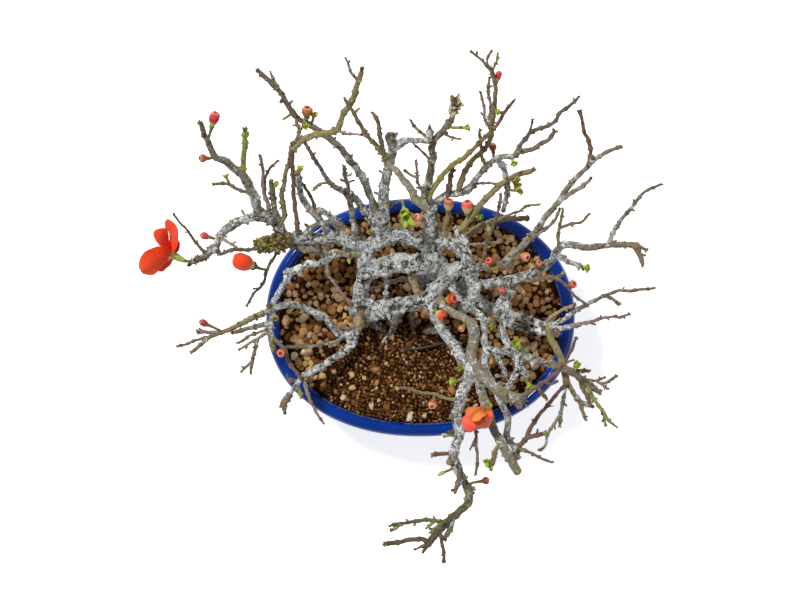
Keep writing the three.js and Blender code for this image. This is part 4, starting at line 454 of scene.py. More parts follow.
    ["brown bow", "left down limb", 1.2, 1.1, -2, [[-83, -12], [-80, -14.5], [-77, -17.5], [-74.5, -24],
     [-72, -28], [-69, -32]]],
    ["left twig low", "left down limb", 1, 0.8, 4, [[-84, -8.5], [-88, -9.5], [-92, -12], [-96, -14],
     [-101, -17.5]]],
    ["left twig front", "left twig low", 1.2, 0.9, 2, [[-92, -12], [-93, -18], [-94.5, -24], [-95.5, -30]]],
    ["left twig fork", "left twig front", 0.9, 0.8, 1, [[-94.5, -24], [-97, -26.5], [-100, -29.5]]],
    ["left pale twig", "left down limb", 0.9, 0.8, 2, [[-84, -6], [-93, -9], [-102, -14]]],
    ["brown bridge", "left trunk", 1, 0.9, 4, [[-33, 14.5], [-25, 16.5], [-18, 19.5], [-10, 21.5],
     [-3, 22.5]]],
]

# Short stubs on the limbs, in the same form as the limbs.
STUBS = [
    ["G lower side", "G lower twig", 0.8, 0.7, 3, [[-1.5, 79], [-5, 80], [-8, 82]]],
    ["Q thorn", "stem Q", 0.7, 0.5, 5, [[61.5, 103], [63, 110.5]]],
    ["fan left stub", "fan left", 1, 1, 0, [[79, -53], [78.5, -60]]],
    ["red shoot spur", "red shoot", 0.8, 0.5, 4, [[80.5, -26.5], [85.8, -24]]],
    ["red shoot knob", "red shoot", 0.9, 1, -2, [[66, -38.5], [67.5, -42], [70.5, -45]]],
    ["red shoot twig", "red shoot", 0.8, 0.7, 2, [[70, -36], [73, -37.5], [76, -36]]],
    ["cascade ring", "cascade", 1.8, 1.8, 3, [[19, -80], [15.5, -81.5]]],
    ["cascade grey spur", "cascade", 1.5, 1.6, -1, [[23, -90], [21, -93.5], [20, -96]]],
    ["left tip knob", "cascade left tip", 1, 1.2, 0, [[-11, -115.8], [-15, -119]]],
    ["green spur outer", "cascade left tip", 1, 0.6, 0, [[8, -114.2], [4, -118]]],
    ["green spur inner", "cascade", 1.1, 0.6, 0, [[12, -118], [9, -117.5], [6, -120.5]]],
    ["end spur left", "cascade", 1, 0.6, 0, [[4.6, -127.8], [1, -128.5], [-2, -130]]],
    ["end spur right", "cascade", 1, 0.6, 0, [[4.5, -128], [2.3, -131.5]]],
    ["thin right fork", "thin right twig", 0.7, 0.6, 3, [[99, -35.5], [102, -38], [104.5, -39.5]]],
    ["thin right bud", "thin right fork", 0.7, 0.8, 4, [[101.5, -37.3], [105, -36.5], [109, -34]]],
    ["low left hook", "low front limb", 0.9, 0.8, 1, [[-73, -43], [-76.5, -45], [-78.5, -49]]],
    ["low left knob", "low front limb", 1, 1.2, 1, [[-68, -35.5], [-71.5, -35.5], [-74, -34]]],
    ["ring stub left", "third left limb", 1.7, 1.7, 2, [[-69, 27], [-74, 25.5], [-77, 24.5]]],
    ["stem E twig", "stem E", 0.8, 0.7, 6, [[-51, 76], [-57, 75], [-60, 72]]],
    ["G head", "stem G", 2.1, 2.5, 2, [[18.6, 115.5], [19.6, 119], [20.5, 122]]],
    ["round knob right", "back trunk", 2, 2.6, 0, [[-15.5, 95], [-12, 97.5], [-9.8, 98.8]]],
    ["dark knob", "back crossing limb", 1.4, 1.9, 2, [[4, 99], [5, 102.5], [5.4, 105.2]]],
    ["left fan end", "left fan stem", 1.2, 1.2, 2, [[-120, -12.5], [-124, -15.5], [-127.5, -18.8]]],
    ["rim link", "left limb", 1.8, 1.4, 4, [[-67, 46], [-60, 51.5], [-52, 53.5], [-44, 51.5]]],
    ["back link", "back arch", 1.6, 1.1, 10, [[-23, 49], [-29, 57.5], [-37, 68]]],
    ["knot low left", "left limb", 1.5, 1.8, 2, [[-50, 44], [-51.6, 41.5], [-52.5, 39.5]]],
    ["knot left", "left limb", 1.2, 1.5, 3, [[-58, 44.5], [-58.5, 41], [-57.5, 38.5]]],
    ["short prong", "back arch", 1.3, 0.9, 6, [[-31, 40], [-33.5, 45], [-34, 50]]],
    ["short prong left", "left limb", 1.2, 0.8, 6, [[-44, 44], [-46.5, 49], [-45.5, 53.5]]],
    ["arch prong", "back arch", 1.2, 0.8, 7, [[-14, 46], [-12.5, 50.5], [-9.5, 53]]],
    ["dark prong", "back trunk", 1.1, 0.7, 6, [[-20, 57], [-24.5, 61.5], [-25.5, 65.5]]],
    ["stem F left spur", "stem F", 0.6, 0.6, 2, [[-41.5, 76], [-44, 77.5]]],
    ["stem F right spur", "stem F", 0.6, 0.6, 2, [[-41, 76], [-38.6, 77]]],
    ["stem F high spur", "stem F", 0.5, 0.6, 2, [[-42.2, 79], [-39.6, 80.5]]],
    ["arch short stub", "back arch", 1.4, 1.5, 4, [[-24, 43], [-26.5, 47.5]]],
    ["left limb stub", "left limb", 1.3, 1.2, 4, [[-63, 44.5], [-62, 48.5], [-63, 51]]],
]

# Flower buds: name, limb, plan points of the stalk, rise, length and width.
BUDS = [
    ["bud_left_large", "left hanging twig", [[-86, 27], [-90, 27.5], [-94, 29]], 9, 14.5, 8.6],
    ["bud_left_spur", "flower limb", [[-114, 44], [-118, 45]], 2, 5.5, 3.6],
    ["bud_left_back", "left back limb", [[-120, 100], [-118, 105], [-117.4, 107.4]], 3, 8, 5],
    ["bud_left_side", "left back limb", [[-115, 90], [-119.5, 89.5]], 2, 4.6, 4],
    ["bud_back_orange", "long back stem", [[-63, 108.5], [-64, 112.5]], 3, 6, 5.5],
    ["bud_back_centre", "back arch", [[-7, 46], [-5.6, 53.5]], 5, 5, 4.6],
    ["bud_back_peach", "back stem", [[4, 55], [0.5, 55.3]], 5, 4.6, 4],
    ["bud_back_upright", "mid back limb", [[15.4, 58], [15.6, 60.2]], 4, 6.8, 5.2],
    ["bud_back_coral", "stem O", [[28, 56], [26.4, 58.4]], 3, 7.6, 6],
    ["bud_right_ring", "stem R", [[53, 36.5], [57, 35]], 6, 4.8, 4.6],
    ["bud_right_orange", "right upper limb", [[42, 29.5], [40, 30.8]], 4, 4.6, 4],
    ["bud_right_small", "right limb", [[47, 20], [46.3, 17.2]], 3, 4, 3.5],
    ["bud_centre_orange", "front trunk", [[10, 16], [12.5, 11], [14.5, 9.8]], 6, 6, 5.6],
    ["bud_centre_red", "white front limb", [[7, 3], [9, 3]], 7, 6, 5.6],
    ["bud_front_small", "thick front limb", [[26.5, -1.5], [24.3, -4.6]], 3, 3.8, 3.4],
    ["bud_right_brown", "right limb", [[65, 26.5], [66, 28.8]], 4, 4.4, 3.6],
    ["bud_far_right", "right thin twig", [[82, 17.8], [84, 18]], 4, 4.4, 4],
    ["bud_back_high", "stem I", [[42, 130], [43, 132.5]], 2, 5.5, 3],
    ["bud_back_brown", "stem L", [[41.5, 88.5], [41, 93]], 2, 4.6, 3.8],
    ["bud_left_rim", "brown bow", [[-76.5, -18.5], [-77.5, -19.3]], 4, 5, 4.5],
    ["bud_left_fan", "left fan stem", [[-111, -8], [-115.5, -6], [-118.6, -4.6]], 3, 6, 3.6],
    ["bud_over_soil", "twig over soil", [[8, -43], [7.2, -46.8]], 3, 4.8, 4.6],
    ["bud_front_cascade", "cascade", [[25.5, -93.5], [30, -92.8], [34, -92.2]], 2, 4.2, 3.8],
]

# Leaf tufts: name, limb, plan points of the stalk, rise, length and count of leaves.
LEAVES = [
    ["leaf_back_long", "back trunk", [[-20, 62], [-10.5, 65.5], [-9.6, 62.5]], 5, 16, 2],
    ["leaf_centre_right", "white side limb", [[36, -5], [39.2, -4.8]], 4, 4.5, 3],
    ["leaf_long_limb", "long white limb", [[50, -16], [52, -15]], 4, 6, 3],
    ["leaf_long_end", "long white limb", [[59, -32], [60.5, -36.5]], 2, 6, 3],
    ["leaf_front_limb", "white front limb", [[24, -24], [22.5, -27]], 3, 5, 2],
    ["leaf_cascade", "cascade", [[26.5, -35], [21.5, -35.5]], 2, 6, 2],
    ["leaf_front_cluster", "leaf spur front", [[41.2, -79], [39.5, -80.3]], 2, 6, 3],
    ["leaf_by_flower", "front right stem", [[36.6, -48], [37.8, -49.5]], 6, 5, 2],
    ["leaf_right_orange", "right upper limb", [[44, 29.5], [42.8, 27.8]], 3, 5, 2],
    ["leaf_stem_foot", "stem O", [[29, 57.5], [31.5, 56.6]], 2, 5, 2],
    ["leaf_twig", "twig QQ", [[37, 53.3], [38, 51.2]], 1, 4, 2],
    ["leaf_stem_top", "stem O", [[50, 78], [52.5, 76]], 3, 7, 3],
    ["leaf_stem_right", "stem O", [[48, 76.5], [50, 72], [53.5, 71.4]], 2, 5, 2],
    ["leaf_back_twig", "G leaf twig", [[20, 107], [23.5, 107]], 1, 5, 2],
    ["leaf_shoot", "shoot H", [[46.8, 114.5], [45, 115.3]], 2, 4, 2],
    ["leaf_stem_L", "stem L", [[51, 91], [51.8, 88.6]], 2, 4, 2],
    ["leaf_limb_end", "limb U", [[89, 29.3], [91.5, 28.6]], 2, 5, 2],
    ["leaf_back_orange", "long back stem", [[-61, 107.5], [-60.4, 111.5]], 3, 5, 2],
    ["leaf_pink_tip", "pink stem tip", [[-68.6, 104.5], [-66.8, 106.5]], 2, 5, 3],
    ["leaf_white_left", "white limb left", [[-69, 79], [-68, 81.5]], 2, 5, 2],
    ["leaf_left_inner", "left inner limb", [[-83.5, 72], [-81.9, 74]], 4, 4, 2],
    ["leaf_left_joint", "low left limb", [[-83, 4.5], [-82, 1.5]], 4, 5, 2],
    ["leaf_right_spur", "right spur stem", [[86, -29.8], [87, -28]], 3, 5, 2],
    ["leaf_left_sprig", "left side twig", [[-107, 74.5], [-108.6, 77.6]], 2, 4, 2],
]

# Tones of bark: its colours at the foot and the tip of a limb, and the lichen on it there.
TONES = {
    "white": ("746c60", "7a7062", 0.74, 0.62),
    "grey": ("8e8a7a", "86806e", 0.72, 0.4),
    "knotty": ("8a8670", "7c745a", 0.6, 0.42),
    "ash": ("948e7c", "82705a", 0.55, 0.1),
    "umber": ("90806a", "80664e", 0.3, 0.0),
    "olive": ("a49c64", "8e7856", 0.1, 0.0),
    "moss": ("9aa248", "a0a64e", 0.05, 0.0),
    "rust": ("92745e", "784f3e", 0.05, 0.0),
    "bronze": ("746250", "5c463a", 0.05, 0.0),
    "tipped": ("868e40", "5c483a", 0.05, 0.0),
    "rose": ("b29c92", "a08078", 0.2, 0.0),
    "tan": ("c4ae8c", "b89c76", 0.15, 0.05),
    "dark": ("7a6e5c", "625644", 0.15, 0.0),
    "clay": ("aaa28a", "968c72", 0.46, 0.3),
    "fading": ("8c8468", "6c5a44", 1.2, -0.1),
    "shoot": ("b2b048", "84584c", 0.0, 0.0),
    "beige": ("dcd4b8", "d0c6a6", 0.1, 0.0),
    "straw": ("b0ac6c", "a08460", 0.1, 0.0),
}

# The limbs of each tone. Those that aren't listed go by their radius.
TONE_OF = {
    "white": ["white limb left", "left short limb", "white limb back", "white front limb", "white side limb",
              "cross white", "long white limb", "long white side", "left limb",
              "third left limb", "left drop limb", "left down limb", "back limb left", "low left limb",
              "low front limb", "low right limb", "low right fork", "inner small limb", "grey link",
              "surface root", "white stub", "white strut", "ring stub left", "cross limb", "back stem",
              "small prop"],
    "grey": ["right limb", "limb U", "pale limb", "back trunk", "back crossing limb", "stem M",
             "cascade ring", "cascade stub", "round knob", "round knob right", "dark knob", "fan knob"],
    "knotty": ["flower limb", "left riser"],
    "ash": ["limb T", "stem E", "stem L", "stem G", "long back stem", "left back limb",
            "left inner limb", "I parallel", "shoot A", "shoot S", "cascade grey spur",
            "cascade grey stub", "front thin twig", "right lower limb", "right upper limb", "rim link",
            "back link", "short prong", "short prong left", "arch prong", "left limb stub"],
    "clay": ["thick front limb", "second left limb", "stem R", "R side", "front right stem", "fan left"],
    "olive": ["olive stem", "crossing stem", "stem I",
              "left fan stem", "twig QQ", "leaf spur front", "fan middle", "T fork", "G head"],
    "shoot": ["shoot H"],
    "beige": ["beige shoot"],
    "straw": ["stem O", "mid back limb"],
    "moss": ["left green upright", "low left green", "fan green",
             "green spur outer", "green spur inner", "left tip knob", "G leaf twig"],
    "rust": ["brown stem", "brown fork", "red shoot", "fan red", "cascade spur", "red shoot spur",
             "red shoot knob", "red shoot twig", "pink stem", "right thin twig", "R left fork"],
    "rose": ["pink stem tip", "pink twig down", "thin right shoot", "twig RR", "left inner twig"],
    "tan": ["tan stub", "tan bridge", "brown bridge", "pale tip twig", "thin upright"],
    "dark": ["left thorn", "burl", "left hanging twig", "left lower twig", "stem Q", "dark twig left",
             "stem F", "dark prong", "knot low left", "knot left", "arch short stub"],
    "bronze": ["cascade end", "cascade needle", "end spur left", "end spur right", "low bud twig"],
    "tipped": ["cascade left tip"],
    "fading": ["cascade"],
}

# The share of its radius that a limb is built with, where that isn't the whole.
SLIM = {"main trunk": 0.78, "crossing stem": 1.25, "long back stem": 1.1, "left back limb": 1.1,
        "left green upright": 1.2, "stem B": 1.15, "stem C": 1.15, "stem F": 1.2,
        "left inner twig": 1.15, "left side twig": 1.2, "red shoot": 0.66, "fan left": 0.85,
        "pink stem": 0.85, "brown stem": 0.85, "thick front limb": 0.72,
        "back trunk": 0.82, "left trunk": 0.84, "front trunk": 0.8, "back arch": 0.82, "limb T": 0.86,
        "low left limb": 0.7, "low front limb": 0.72, "third left limb": 0.74, "left drop limb": 0.72,
        "second left limb": 0.8, "white front limb": 0.72, "right column": 0.76, "long white limb": 0.76,
        "white side limb": 0.76, "right trunk": 0.72, "left limb": 0.86, "stem E": 0.85, "back stem": 0.82,
        "left down limb": 0.8, "left short limb": 0.8, "mid back limb": 0.75, "stem O": 0.84,
        "beige shoot": 0.8, "white limb left": 0.85, "low right limb": 0.85, "cascade": 0.92,
        "grey link": 0.8, "cross white": 0.8, "inner small limb": 0.8, "right limb": 0.85, "limb U": 0.9}

# Limbs with smooth bark and few nodes.
SMOOTH_LIMBS = ["thick front limb", "beige shoot", "stem O", "shoot H", "red shoot", "pink stem",
                "left thorn", "front right stem", "olive stem", "brown stem", "front thin twig"]

# Ends that were cut across, and so show a pale ring of wood.
CUT_ENDS = ["tan stub", "white stub", "ring stub left", "cascade ring", "right cut stub", "low back stub",
            "ring stub front", "left short limb", "cascade stub"]

# Painted shade in the deep places of the old wood, which are dented there too: plan point, height, reach and
# strength.
RECESS_SHADES = [
    [[-6, 7], 30, 5.5, 1.0],
    [[3, 28], 36, 9, 0.35],
    [[12, 28], 33, 7, 0.25],
    [[-20, 27], 33, 6, 0.6],
    [[-30, 30], 33, 5, 0.7],
    [[8, 36], 32, 5, 0.4],
    [[-12, 44], 38, 5, 0.6],
    [[-36, -3], 6, 6, 0.6],
]

# Small closed buds that stand on the bark: plan point, limb, colour, length.
GREEN_TIPS = [
    [[11, -88], "cascade", "c8d070", 4],
    [[13, -66], "cascade", "d8dca0", 3.6],
    [[-13, -40], "twig over soil", "c6d488", 4],
    [[58, -75], "pale limb", "9a9a60", 3],
    [[109, -34], "thin right bud", "8a7a50", 2.6],
    [[-77, 111.5], "long back stem", "a0a040", 2.6],
    [[-34.5, 117.5], "stem C", "8f9a50", 2.4],
    [[-30, 42.5], "back arch", "b0c030", 3.2],
    [[-19, 58], "back trunk", "a8b830", 3],
    [[-58, 41], "left limb", "b8c840", 3],
    [[-65, 36.5], "second left limb", "c0b040", 2.6],
    [[-44, 36.5], "second left limb", "b0c030", 2.8],
    [[-37, 36], "second left limb", "b4c43c", 2.8],
    [[-28, 41], "back arch", "a8c020", 3.4],
    [[-40, 31], "second left limb", "c8c070", 3],
    [[27, -106], "cascade", "8fc020", 3],
    [[25, -98], "cascade", "96a838", 3],
    [[25.5, -102.5], "cascade", "8fa830", 3.4],
    [[23.5, -105.5], "cascade", "7f9430", 3],
    [[13.5, -114], "cascade", "8a9a38", 3.4],
    [[10, -116], "cascade", "93a840", 3],
    [[16, -111], "cascade", "7f8c34", 2.6],
    [[55, -87], "front right stem", "90b020", 3.4],
]

# Crowds of bud scales: limb, the part where they start, count, size, and plain and mossy colours.
SCALY_HEADS = [
    ["burl", 0.25, 420, 1.5, ("6a5a38", "9a8450", "b09a68", "4c4028", "7a6a3c"),
     ("7e9020", "9ab02c", "aac434", "8a9a2c")],
    ["G head", 0.0, 40, 1.3, ("b4b08a", "c8c49c", "8c8660", "d0ccaa"), ("a8a878", "c0bc94")],
    ["left green upright", 0.9, 16, 0.9, ("8a9a3c", "a0a850"), ("a4b448", "92a23c")],
    ["long back stem", 0.62, 12, 0.8, ("9a8a54", "a89a60"), ("a0a048", "8a8a40")],
    ["flower limb", 0.86, 44, 1.0, ("5a4a34", "7a6444", "4a3c2c", "8a7450"), ("8a8a48", "7a6444")],
    ["thick front limb", 0.93, 46, 1.2, ("6a5c48", "8c7c60", "a0967c", "544a3c"), ("8a8460", "a09274")],
]

# Tints of the sprouts: dry ones, live ones, and the crust of lichen over both.
DRY_TINTS = ("6a5844", "7e654e", "5a4e3e", "8c7054", "948468")
LIVE_TINTS = ("a4ac48", "b2b05c", "949c42", "a88c56", "a06a50")
CRUST_TINT = "b8b7b0"

# The wire's way up one drain hole, over the root base and down the other, from the ground.
WIRE_ROUTE = [
    [-DRAIN_X - 14, 0, 4],
    [-DRAIN_X - 4, 0, 4],
    [-DRAIN_X, 0, 8],
    [-DRAIN_X, 0, 18],
    [-DRAIN_X + 1, -12, 30],
    [-22, -17, 44],
    [-9, -18, 50.5],
    [-2, -17.5, 53],
    [7, -15.8, 53.4],
    [15, -13.4, 52.4],
    [23, -10, 47],
    [DRAIN_X - 4, -3, 32],
    [DRAIN_X, 0, 18],
    [DRAIN_X, 0, 8],
    [DRAIN_X + 4, 0, 4],
    [DRAIN_X + 14, 0, 4],
]

# The pale share at the foot of a bud, and the buds with their own way and pale share.
USUAL_BASE = 0.2
BUD_WAYS = {
    "bud_back_coral": ((0.0, 0.85, 0.52), 0.4),
    "bud_back_upright": ((0.05, 0.85, 0.52), 0.45),
    "bud_centre_orange": ((0.75, 0.15, 0.64), 0.38),
    "bud_centre_red": ((0.75, -0.5, 0.45), 0.3),
    "bud_back_centre": ((0.1, 0.75, 0.66), 0.35),
    "bud_back_peach": ((-0.6, 0.3, 0.74), 0.3),
    "bud_right_ring": ((0.6, -0.3, 0.74), 0.3),
    "bud_left_back": ((0.3, 0.85, 0.42), 0.15),
    "bud_left_side": ((-0.85, 0.0, 0.5), 0.2),
    "bud_back_orange": ((0.1, 0.8, 0.58), 0.3),
    "bud_back_high": ((0.2, 0.9, 0.3), 0.1),
}

# Tints of the buds: body, tip and base.
BUD_TINTS = {
    "usual": ("f26a50", "e24e30", "d4c878"),
    "bud_left_large": ("fa5e40", "fc4a1c", "ccd08e"),
    "bud_left_spur": ("c83a40", "dc5a50", "c0a060"),
    "bud_left_back": ("c02c3c", "d8505a", "c2cc66"),
    "bud_left_side": ("a8543a", "c07048", "8f8a48"),
    "bud_back_orange": ("a8623a", "b87848", "7c7c3c"),
    "bud_back_peach": ("ee9470", "f0a684", "e4dca0"),
    "bud_back_coral": ("f47c68", "ee6452", "d8dc94"),
    "bud_centre_orange": ("d8501c", "c83c14", "c09c3c"),
    "bud_back_upright": ("b0583c", "c87858", "d0cc8c"),
    "bud_back_high": ("cc3040", "d84450", "a8a050"),
    "bud_back_brown": ("a8502c", "c0683a", "6c5a34"),
    "bud_right_brown": ("b05a3c", "c8745a", "8a6a40"),
    "bud_right_small": ("c85040", "d87060", "a89060"),
    "bud_left_rim": ("c05038", "cc6a50", "b08a58"),
    "bud_left_fan": ("a83838", "b84e48", "a08850"),
    "bud_over_soil": ("c84434", "ee9a80", "d8c890"),
    "bud_right_ring": ("d85040", "eea088", "e0d090"),
    "bud_front_cascade": ("8c3f38", "a0524a", "6a5040"),
    "bud_far_right": ("b84838", "cc6450", "a89060"),
    "bud_front_small": ("c86848", "e0a080", "d0c088"),
}

# Tints of the leaf tufts.
LEAF_TINTS = {
    "usual": "9ab42e",
    "leaf_left_joint": "b8982c",
    "leaf_stem_top": "a4a834",
    "leaf_stem_right": "b4b03c",
    "leaf_by_flower": "a8c030",
    "leaf_right_orange": "b89a40",
    "leaf_back_orange": "a8a040",
}

# The two flowers: limb, plan points and rise of the stalk, and where the stamens point.
OPEN_STALK = ["flower limb", [[-127, 31.7], [-130, 31.6], [-132.5, 31.8]], 4]
HALF_STALK = ["front right stem", [[37.5, -48.5], [37.6, -51]], 8]
OPEN_FACING = Vector((-0.93, 0.34, 0.12))

# Petals: [x, y, height, half width] along each, facing, cup, and tints at the foot and the tip.
OPEN_PETALS = [
    [[[-140.4, 36.6, 75, 2.4], [-137.9, 43.0, 78, 4.8], [-138.9, 49.2, 81, 5.2], [-142.3, 55.4, 83, 3.4]],
     (-0.72, 0.15, 0.68), 0.16, ("de3c18", "f25026")],
    [[[-141.2, 36.0, 76, 3.0], [-143.8, 41.0, 82, 5.2], [-146.6, 45.0, 86, 5.8], [-150.2, 48.0, 88, 4.0]],
     (0.3, 0.6, 0.75), 0.3, ("de3c18", "f6542a")],
    [[[-140.8, 35.4, 75, 3.0], [-146.2, 33.8, 80, 6.0], [-152.0, 30.6, 85, 6.8], [-157.6, 26.6, 89, 4.6]],
     (0.1, -0.35, 0.92), -0.14, ("e23e18", "f65628")],
    [[[-140.4, 37.0, 73, 1.6], [-137.9, 39.4, 73, 2.8], [-137.2, 42.6, 74, 2.4], [-137.4, 44.6, 75, 1.8]],
     (-0.4, -0.4, 0.8), 0.3, ("d83a16", "ee4c20")],
    [[[-140.8, 34.6, 72, 2.6], [-143.4, 32.4, 72, 4.2], [-146.8, 29.6, 74, 4.2], [-149.4, 27.4, 75, 3.2]],
     (0.1, -0.4, 0.9), -0.2, ("d83a16", "ee4c20")],
]
HALF_PETALS = [
    [[[35.4, -51.4, 56, 2.2], [32.2, -52.4, 60, 3.8], [28.8, -54.8, 61, 4.4], [26.6, -58.4, 60, 3.2]],
     (-0.3, 0.3, 0.9), -0.3, ("f08a48", "f25a48")],
    [[[34.6, -53.0, 54, 1.8], [30.8, -56.2, 59, 3.8], [27.8, -59.6, 62, 5.0], [27.2, -64.4, 59, 3.8]],
     (-0.2, -0.1, 0.97), -0.3, ("f0703c", "f85c50")],
    [[[37.2, -52.6, 54, 2.0], [38.8, -56.4, 58, 2.8], [36.6, -59.8, 60, 3.2], [32.0, -61.2, 58, 2.6]],
     (0.3, -0.35, 0.9), -0.3, ("f07e48", "fa8464")],
    [[[36.6, -50.8, 57, 1.6], [37.6, -52.8, 61, 2.6], [38.0, -55.4, 62, 2.4], [37.4, -58.2, 60, 1.6]],
     (0.45, 0.2, 0.87), 0.25, ("ec7238", "f46448")],
    [[[36.4, -52.0, 59, 1.4], [34.0, -53.2, 66, 2.6], [31.2, -55.0, 67, 2.9], [28.8, -57.2, 65, 2.0]],
     (0.1, 0.05, 1.0), 0.6, ("e8782c", "f49450")],
    [[[36.2, -53.6, 56, 1.6], [34.8, -55.4, 63, 2.4], [32.4, -57.2, 64, 2.6], [30.2, -58.8, 62, 2.0]],
     (0.35, -0.5, 0.8), -0.4, ("ea6a30", "f07040")],
]

# Each flower's name, petals, ruffle of their edges, and size.
FLOWERS = [("open", OPEN_PETALS, 0.12, 1.0), ("half", HALF_PETALS, 0.1, 0.9)]

# Colours of the grains, as the stops of a colour ramp.
FINE_TINTS = [(0.0, "4e2c14"), (0.3, "744824"), (0.62, "8c5e32"), (0.86, "a87c46"), (0.95, "c69a68"),
              (1.0, "e2c6a0")]
COARSE_TINTS = [(0.0, "6e4424"), (0.25, "966432"), (0.5, "ba8a4c"), (0.72, "d4a66c"), (0.88, "e8c890"),
                (0.95, "d2ac8c"), (1.0, "f4e6cc")]

# The studio: glow of the floor, strength of the sky, and the lamps' places, powers and widths in metres.
FLOOR_GLOW = 0.72
SKY_LOW = 0.42
SKY_HIGH = 0.18
STUDIO_LAMPS = [
    ("key lamp", (-0.7, 0.75, 1.6), 34.0, 0.28),
    ("fill lamp", (1.2, -0.6, 1.1), 3.5, 1.2),
]


# Shapes

def srgb(text):
    """The linear colour of a six-digit sRGB hex value."""
    parts = [int(text[i:i + 2], 16) / 255 for i in (0, 2, 4)]
    return tuple(part / 12.92 if part <= 0.04045 else ((part + 0.055) / 1.055) ** 2.4 for part in parts)


def rgb(text):
    """The linear colour of a hex value as an array."""
    return np.array(srgb(text))


def unit(vector):
    return vector / np.linalg.norm(vector)


def place(x, y, height):
    """A plan point at a height above the rim, without the perspective, from the middle of the pot's base."""
    shrink = (VIEW_HEIGHT - height) / VIEW_HEIGHT
    middle = VIEW_CENTRE
    return np.array([middle[0] + (x - middle[0]) * shrink, middle[1] + (y - middle[1]) * shrink,
                     RIM + height])


def waver(points, size, seed=0.0):
    """Smooth noise from about -1 to 1 at each point, with swellings of a size in millimetres."""
    return np.array([noise.noise(Vector(point)) for point in (np.asarray(points) / size + seed).tolist()])


def into_scene(name, data):
    """A new object in the scene."""
    made = bpy.data.objects.new(name, data)
    bpy.context.scene.collection.objects.link(made)
    return made


def set_smooth(mesh, smooth=True):
    """Sets every face of a mesh to be shaded smooth or flat."""
    mesh.polygons.foreach_set("use_smooth", [smooth] * len(mesh.polygons))


def vectors_of(items, name):
    """A vector of each item of a mesh, as rows."""
    values = np.empty(len(items) * 3)
    items.foreach_get(name, values)
    return values.reshape(-1, 3)


class Pile:
    """Gathers many closed skins into one mesh, with marks on their points that colour them."""

    def __init__(self):
        self.points = []
        self.faces = []
        self.marks = {}
        self.count = 0

    def add(self, points, faces, **marks):
        self.points.append(np.asarray(points, float))
        self.faces.extend([tuple(self.count + corner for corner in face) for face in faces])
        for name, values in marks.items():
            values = np.asarray(values, float)
            if values.ndim == 0 or (values.ndim == 1 and len(values) == 3 and name == "tint"):
                values = np.broadcast_to(values, (len(points),) + values.shape)
            self.marks.setdefault(name, []).append(values)
        self.count += len(points)

    def make(self, name, material):
        marks = {mark: np.concatenate(values) for mark, values in self.marks.items()}
        return make_object(name, np.concatenate(self.points), self.faces, marks, material)


def add_marks(mesh, marks):
    """Stores a value or a colour for each point of a mesh."""
    for name, values in marks.items():
        if values.ndim == 2:
            layer = mesh.attributes.new(name, "FLOAT_COLOR", "POINT")
            full = np.ones((len(values), 4))
            full[:, :3] = values
            layer.data.foreach_set("color", full.ravel())
        else:
            layer = mesh.attributes.new(name, "FLOAT", "POINT")
            layer.data.foreach_set("value", np.ascontiguousarray(values, dtype=np.float32))


def make_object(name, points, faces, marks, material, smooth=True):
    """A mesh object in the scene, from points in millimetres from the middle of the pot's base."""
    mesh = bpy.data.meshes.new(name)
    mesh.from_pydata((np.asarray(points) * MM + POT_MIDDLE).tolist(), [], faces)
    add_marks(mesh, marks)
    if material:
        mesh.materials.append(material)
    set_smooth(mesh, smooth)
    return into_scene(name, mesh)


def ring_faces(rings, around, first_cap=True, last_cap=True):
    """Faces between rings of equally many points, and over the two ends."""
    faces = []
    for ring in range(rings - 1):
        low = ring * around
        for i in range(around):
            after = (i + 1) % around
            faces.append((low + i, low + after, low + around + after, low + around + i))
    if first_cap:
        faces.append(tuple(range(around - 1, -1, -1)))
    if last_cap:
        faces.append(tuple((rings - 1) * around + i for i in range(around)))
    return faces


def smooth_line(points, radii, step):
    """Points and radii a step apart on the smooth curve through a limb's points."""
    points = np.asarray(points, float)
    ends = [2 * points[0] - points[1], *points, 2 * points[-1] - points[-2]]
    line = []
    widths = []
    for i in range(len(points) - 1):
        a, b, c, d = ends[i:i + 4]
        gaps = [max(np.linalg.norm(q - p) ** 0.5, 1e-3) for p, q in ((a, b), (b, c), (c, d))]
        knots = np.cumsum([0, *gaps])
        count = max(1, round(np.linalg.norm(c - b) / step))
        for part in range(count):
            t = knots[1] + (knots[2] - knots[1]) * part / count
            mix = [((knots[j + 1] - t) * p + (t - knots[j]) * q) / (knots[j + 1] - knots[j])
                   for j, (p, q) in enumerate(((a, b), (b, c), (c, d)))]
            wide = [((knots[j + 2] - t) * mix[j] + (t - knots[j]) * mix[j + 1]) / (knots[j + 2] - knots[j])
                    for j in range(2)]
            line.append(((knots[2] - t) * wide[0] + (t - knots[1]) * wide[1]) / (knots[2] - knots[1]))
            widths.append(radii[i] + (radii[i + 1] - radii[i]) * part / count)
    return np.array([*line, points[-1]]), np.array([*widths, radii[-1]])


